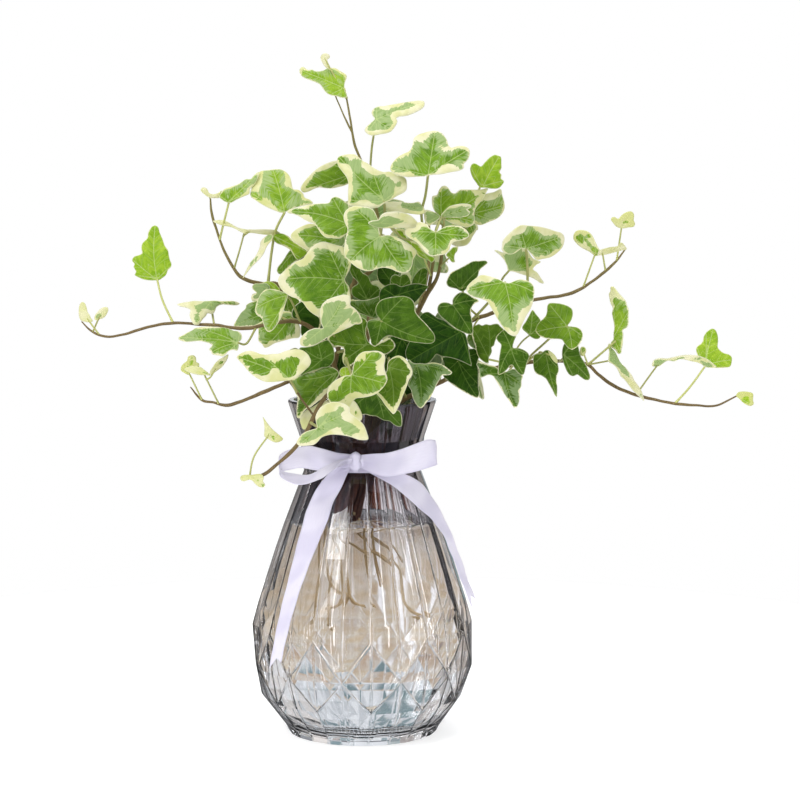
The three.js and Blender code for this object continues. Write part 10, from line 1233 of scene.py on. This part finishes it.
# painted reflection: transmission rays get the painted room, glossy rays a dark floor, camera rays the plain white
# floor
rays = t.nt.nodes.new("ShaderNodeLightPath")
seen = rays.outputs["Is Transmission Ray"]
mirrored = t.math("MULTIPLY", rays.outputs["Is Glossy Ray"], t.math("SUBTRACT", 1.0, seen))
t.put(t.bsdf.inputs["Base Color"], t.mix(mirrored, t.mix(seen, t.mix(n, (0.86, 0.86, 0.86), (0.88, 0.88, 0.88)), room_through_glass), (0.10, 0.10, 0.11)))
t.bsdf.inputs["Roughness"].default_value = 0.6
t.put(t.bsdf.inputs["Emission Color"], t.mix(mirrored, t.mix(seen, (1.0, 1.0, 1.0), room_through_glass), (0.05, 0.05, 0.055)))
t.bsdf.inputs["Emission Strength"].default_value = 0.42
verts = [(0.42 * math.cos(2 * math.pi * k / 96), 0.42 * math.sin(2 * math.pi * k / 96), -0.0002) for k in range(96)]
floor = make_object("floor", verts, [tuple(range(96))], [t.mat], False)

# White behind the object; round about, a studio with soft panels, grey gaps between them and a warm wall, which the glass bends into view.
world = bpy.data.worlds.new("studio")
scene.world = world
world.use_nodes = True
wt = world.node_tree
wt.nodes.clear()


class Sky(Tree):
    def __init__(self):
        self.nt = wt


w = Sky()
geo = wt.nodes.new("ShaderNodeTexCoord").outputs["Generated"]
x, y, z = w.separate(geo)[:3]
az = w.math("ARCTAN2", x, y)
elev = w.math("ARCSINE", z)
bars = w.noise(w.combine(w.math("MULTIPLY", az, 3.6), w.math("MULTIPLY", elev, 0.45)), 1.0, 1.5, 0.45)
fine = w.noise(w.combine(w.math("MULTIPLY", az, 24.0), w.math("MULTIPLY", elev, 2.0)), 1.0, 2.0, 0.5)
strips = w.smoothstep(bars, 0.545, 0.60)
stone = w.noise(geo, 5.0, 2.0, 0.5)
warm = w.ramp(stone, [(0.30, (0.45, 0.34, 0.27)), (0.45, (0.62, 0.53, 0.46)), (0.55, (0.68, 0.66, 0.67)), (0.68, (0.32, 0.42, 0.47))])
sash = w.math("ABSOLUTE", w.math("SUBTRACT", w.math("FRACT", w.math("MULTIPLY", w.math("ADD", az, 0.35), 1.15)), 0.5))
front = w.mix(strips, (0.040, 0.040, 0.050), (1.25, 1.25, 1.28))
front = w.mix(w.smoothstep(sash, 0.034, 0.020), front, (11.0, 11.0, 11.3))
rear = w.mix(w.smoothstep(bars, 0.34, 0.56), w.mix(0.75, warm, (0.10, 0.10, 0.12)), w.mix(0.45, warm, (1.25, 1.23, 1.24)))
low = w.mix(w.smoothstep(fine, 0.40, 0.60), (0.680, 0.710, 0.760), (0.980, 1.000, 1.040))
low = w.mix(w.smoothstep(w.noise(w.combine(w.math("MULTIPLY", az, 3.0), w.math("MULTIPLY", elev, 3.0)), 1.0, 1.0, 0.4), 0.50, 0.56), low, (0.240, 0.340, 0.370))
rear = w.mix(w.smoothstep(w.math("ABSOLUTE", az), 0.34, 0.26), rear, low)
rear = w.mix(w.smoothstep(w.math("ABSOLUTE", az), 0.70, 1.00), rear, w.mix(strips, (0.035, 0.035, 0.042), (0.26, 0.26, 0.28)))
path = wt.nodes.new("ShaderNodeLightPath")
# through the empty neck: shade on one side, the brown of old stems in the middle, window streaks on the other
plug = w.mix(w.smoothstep(fine, 0.40, 0.60), (0.200, 0.070, 0.042), (0.460, 0.200, 0.140))
streaks = w.mix(w.smoothstep(fine, 0.44, 0.56), (0.170, 0.150, 0.160), (1.900, 1.860, 1.900))
neck = w.mix(w.smoothstep(az, 0.02, 0.06), plug, streaks)
shade = w.mix(w.smoothstep(fine, 0.50, 0.66), (0.045, 0.042, 0.056), (0.420, 0.410, 0.440))
neck = w.mix(w.smoothstep(az, -0.11, -0.06), shade, neck)
neck = w.mix(w.smoothstep(path.outputs["Transmission Depth"], 2.4, 3.4), shade, neck)
level = w.smoothstep(w.math("ABSOLUTE", w.math("ADD", elev, 0.06)), 0.26, 0.20)
rear = w.mix(w.math("MULTIPLY", w.math("MULTIPLY", w.smoothstep(path.outputs["Transmission Depth"], 5.5, 4.5), w.smoothstep(path.outputs["Transmission Depth"], 0.4, 1.4)), level), rear, neck)
behind = w.smoothstep(y, -0.10, 0.30)
room = w.mix(behind, front, rear)
room = w.mix(w.smoothstep(elev, 0.55, 0.95), room, (0.9, 0.9, 0.9))
room = w.mix(w.smoothstep(w.math("MULTIPLY", elev, -1.0), 0.30, 0.60), room, (0.60, 0.58, 0.57))
lit = w.smoothstep(path.outputs["Diffuse Depth"], 0.4, 0.6)
glassy = w.math("MAXIMUM", path.outputs["Is Glossy Ray"], path.outputs["Is Transmission Ray"])
open_sky = w.mix(lit, (1.0, 1.0, 1.0), (0.70, 0.70, 0.71))
through = w.mix(lit, room, (2.6, 2.6, 2.6))
back = wt.nodes.new("ShaderNodeBackground")
wt.links.new(w.mix(glassy, open_sky, through), back.inputs[0])
back.inputs[1].default_value = 1.0
wt.links.new(back.outputs[0], wt.nodes.new("ShaderNodeOutputWorld").inputs[0])


def area(name, loc, target, size, power, color=(1, 1, 1)):
    L = bpy.data.lights.new(name, "AREA")
    L.shape = "RECTANGLE"
    L.size, L.size_y = size
    L.energy = power
    L.color = color
    ob = bpy.data.objects.new(name, L)
    ob.location = loc
    ob.rotation_euler = (Vector(target) - Vector(loc)).to_track_quat("-Z", "Y").to_euler()
    scene.collection.objects.link(ob)


area("key", (-0.9, -1.0, 1.1), (0, 0, 0.18), (0.7, 0.7), 9.5)
area("fill", (1.1, -0.9, 0.7), (0, 0, 0.18), (0.8, 0.8), 3)
area("top", (0.1, 0.1, 1.4), (0, 0, 0.2), (0.9, 0.9), 6)
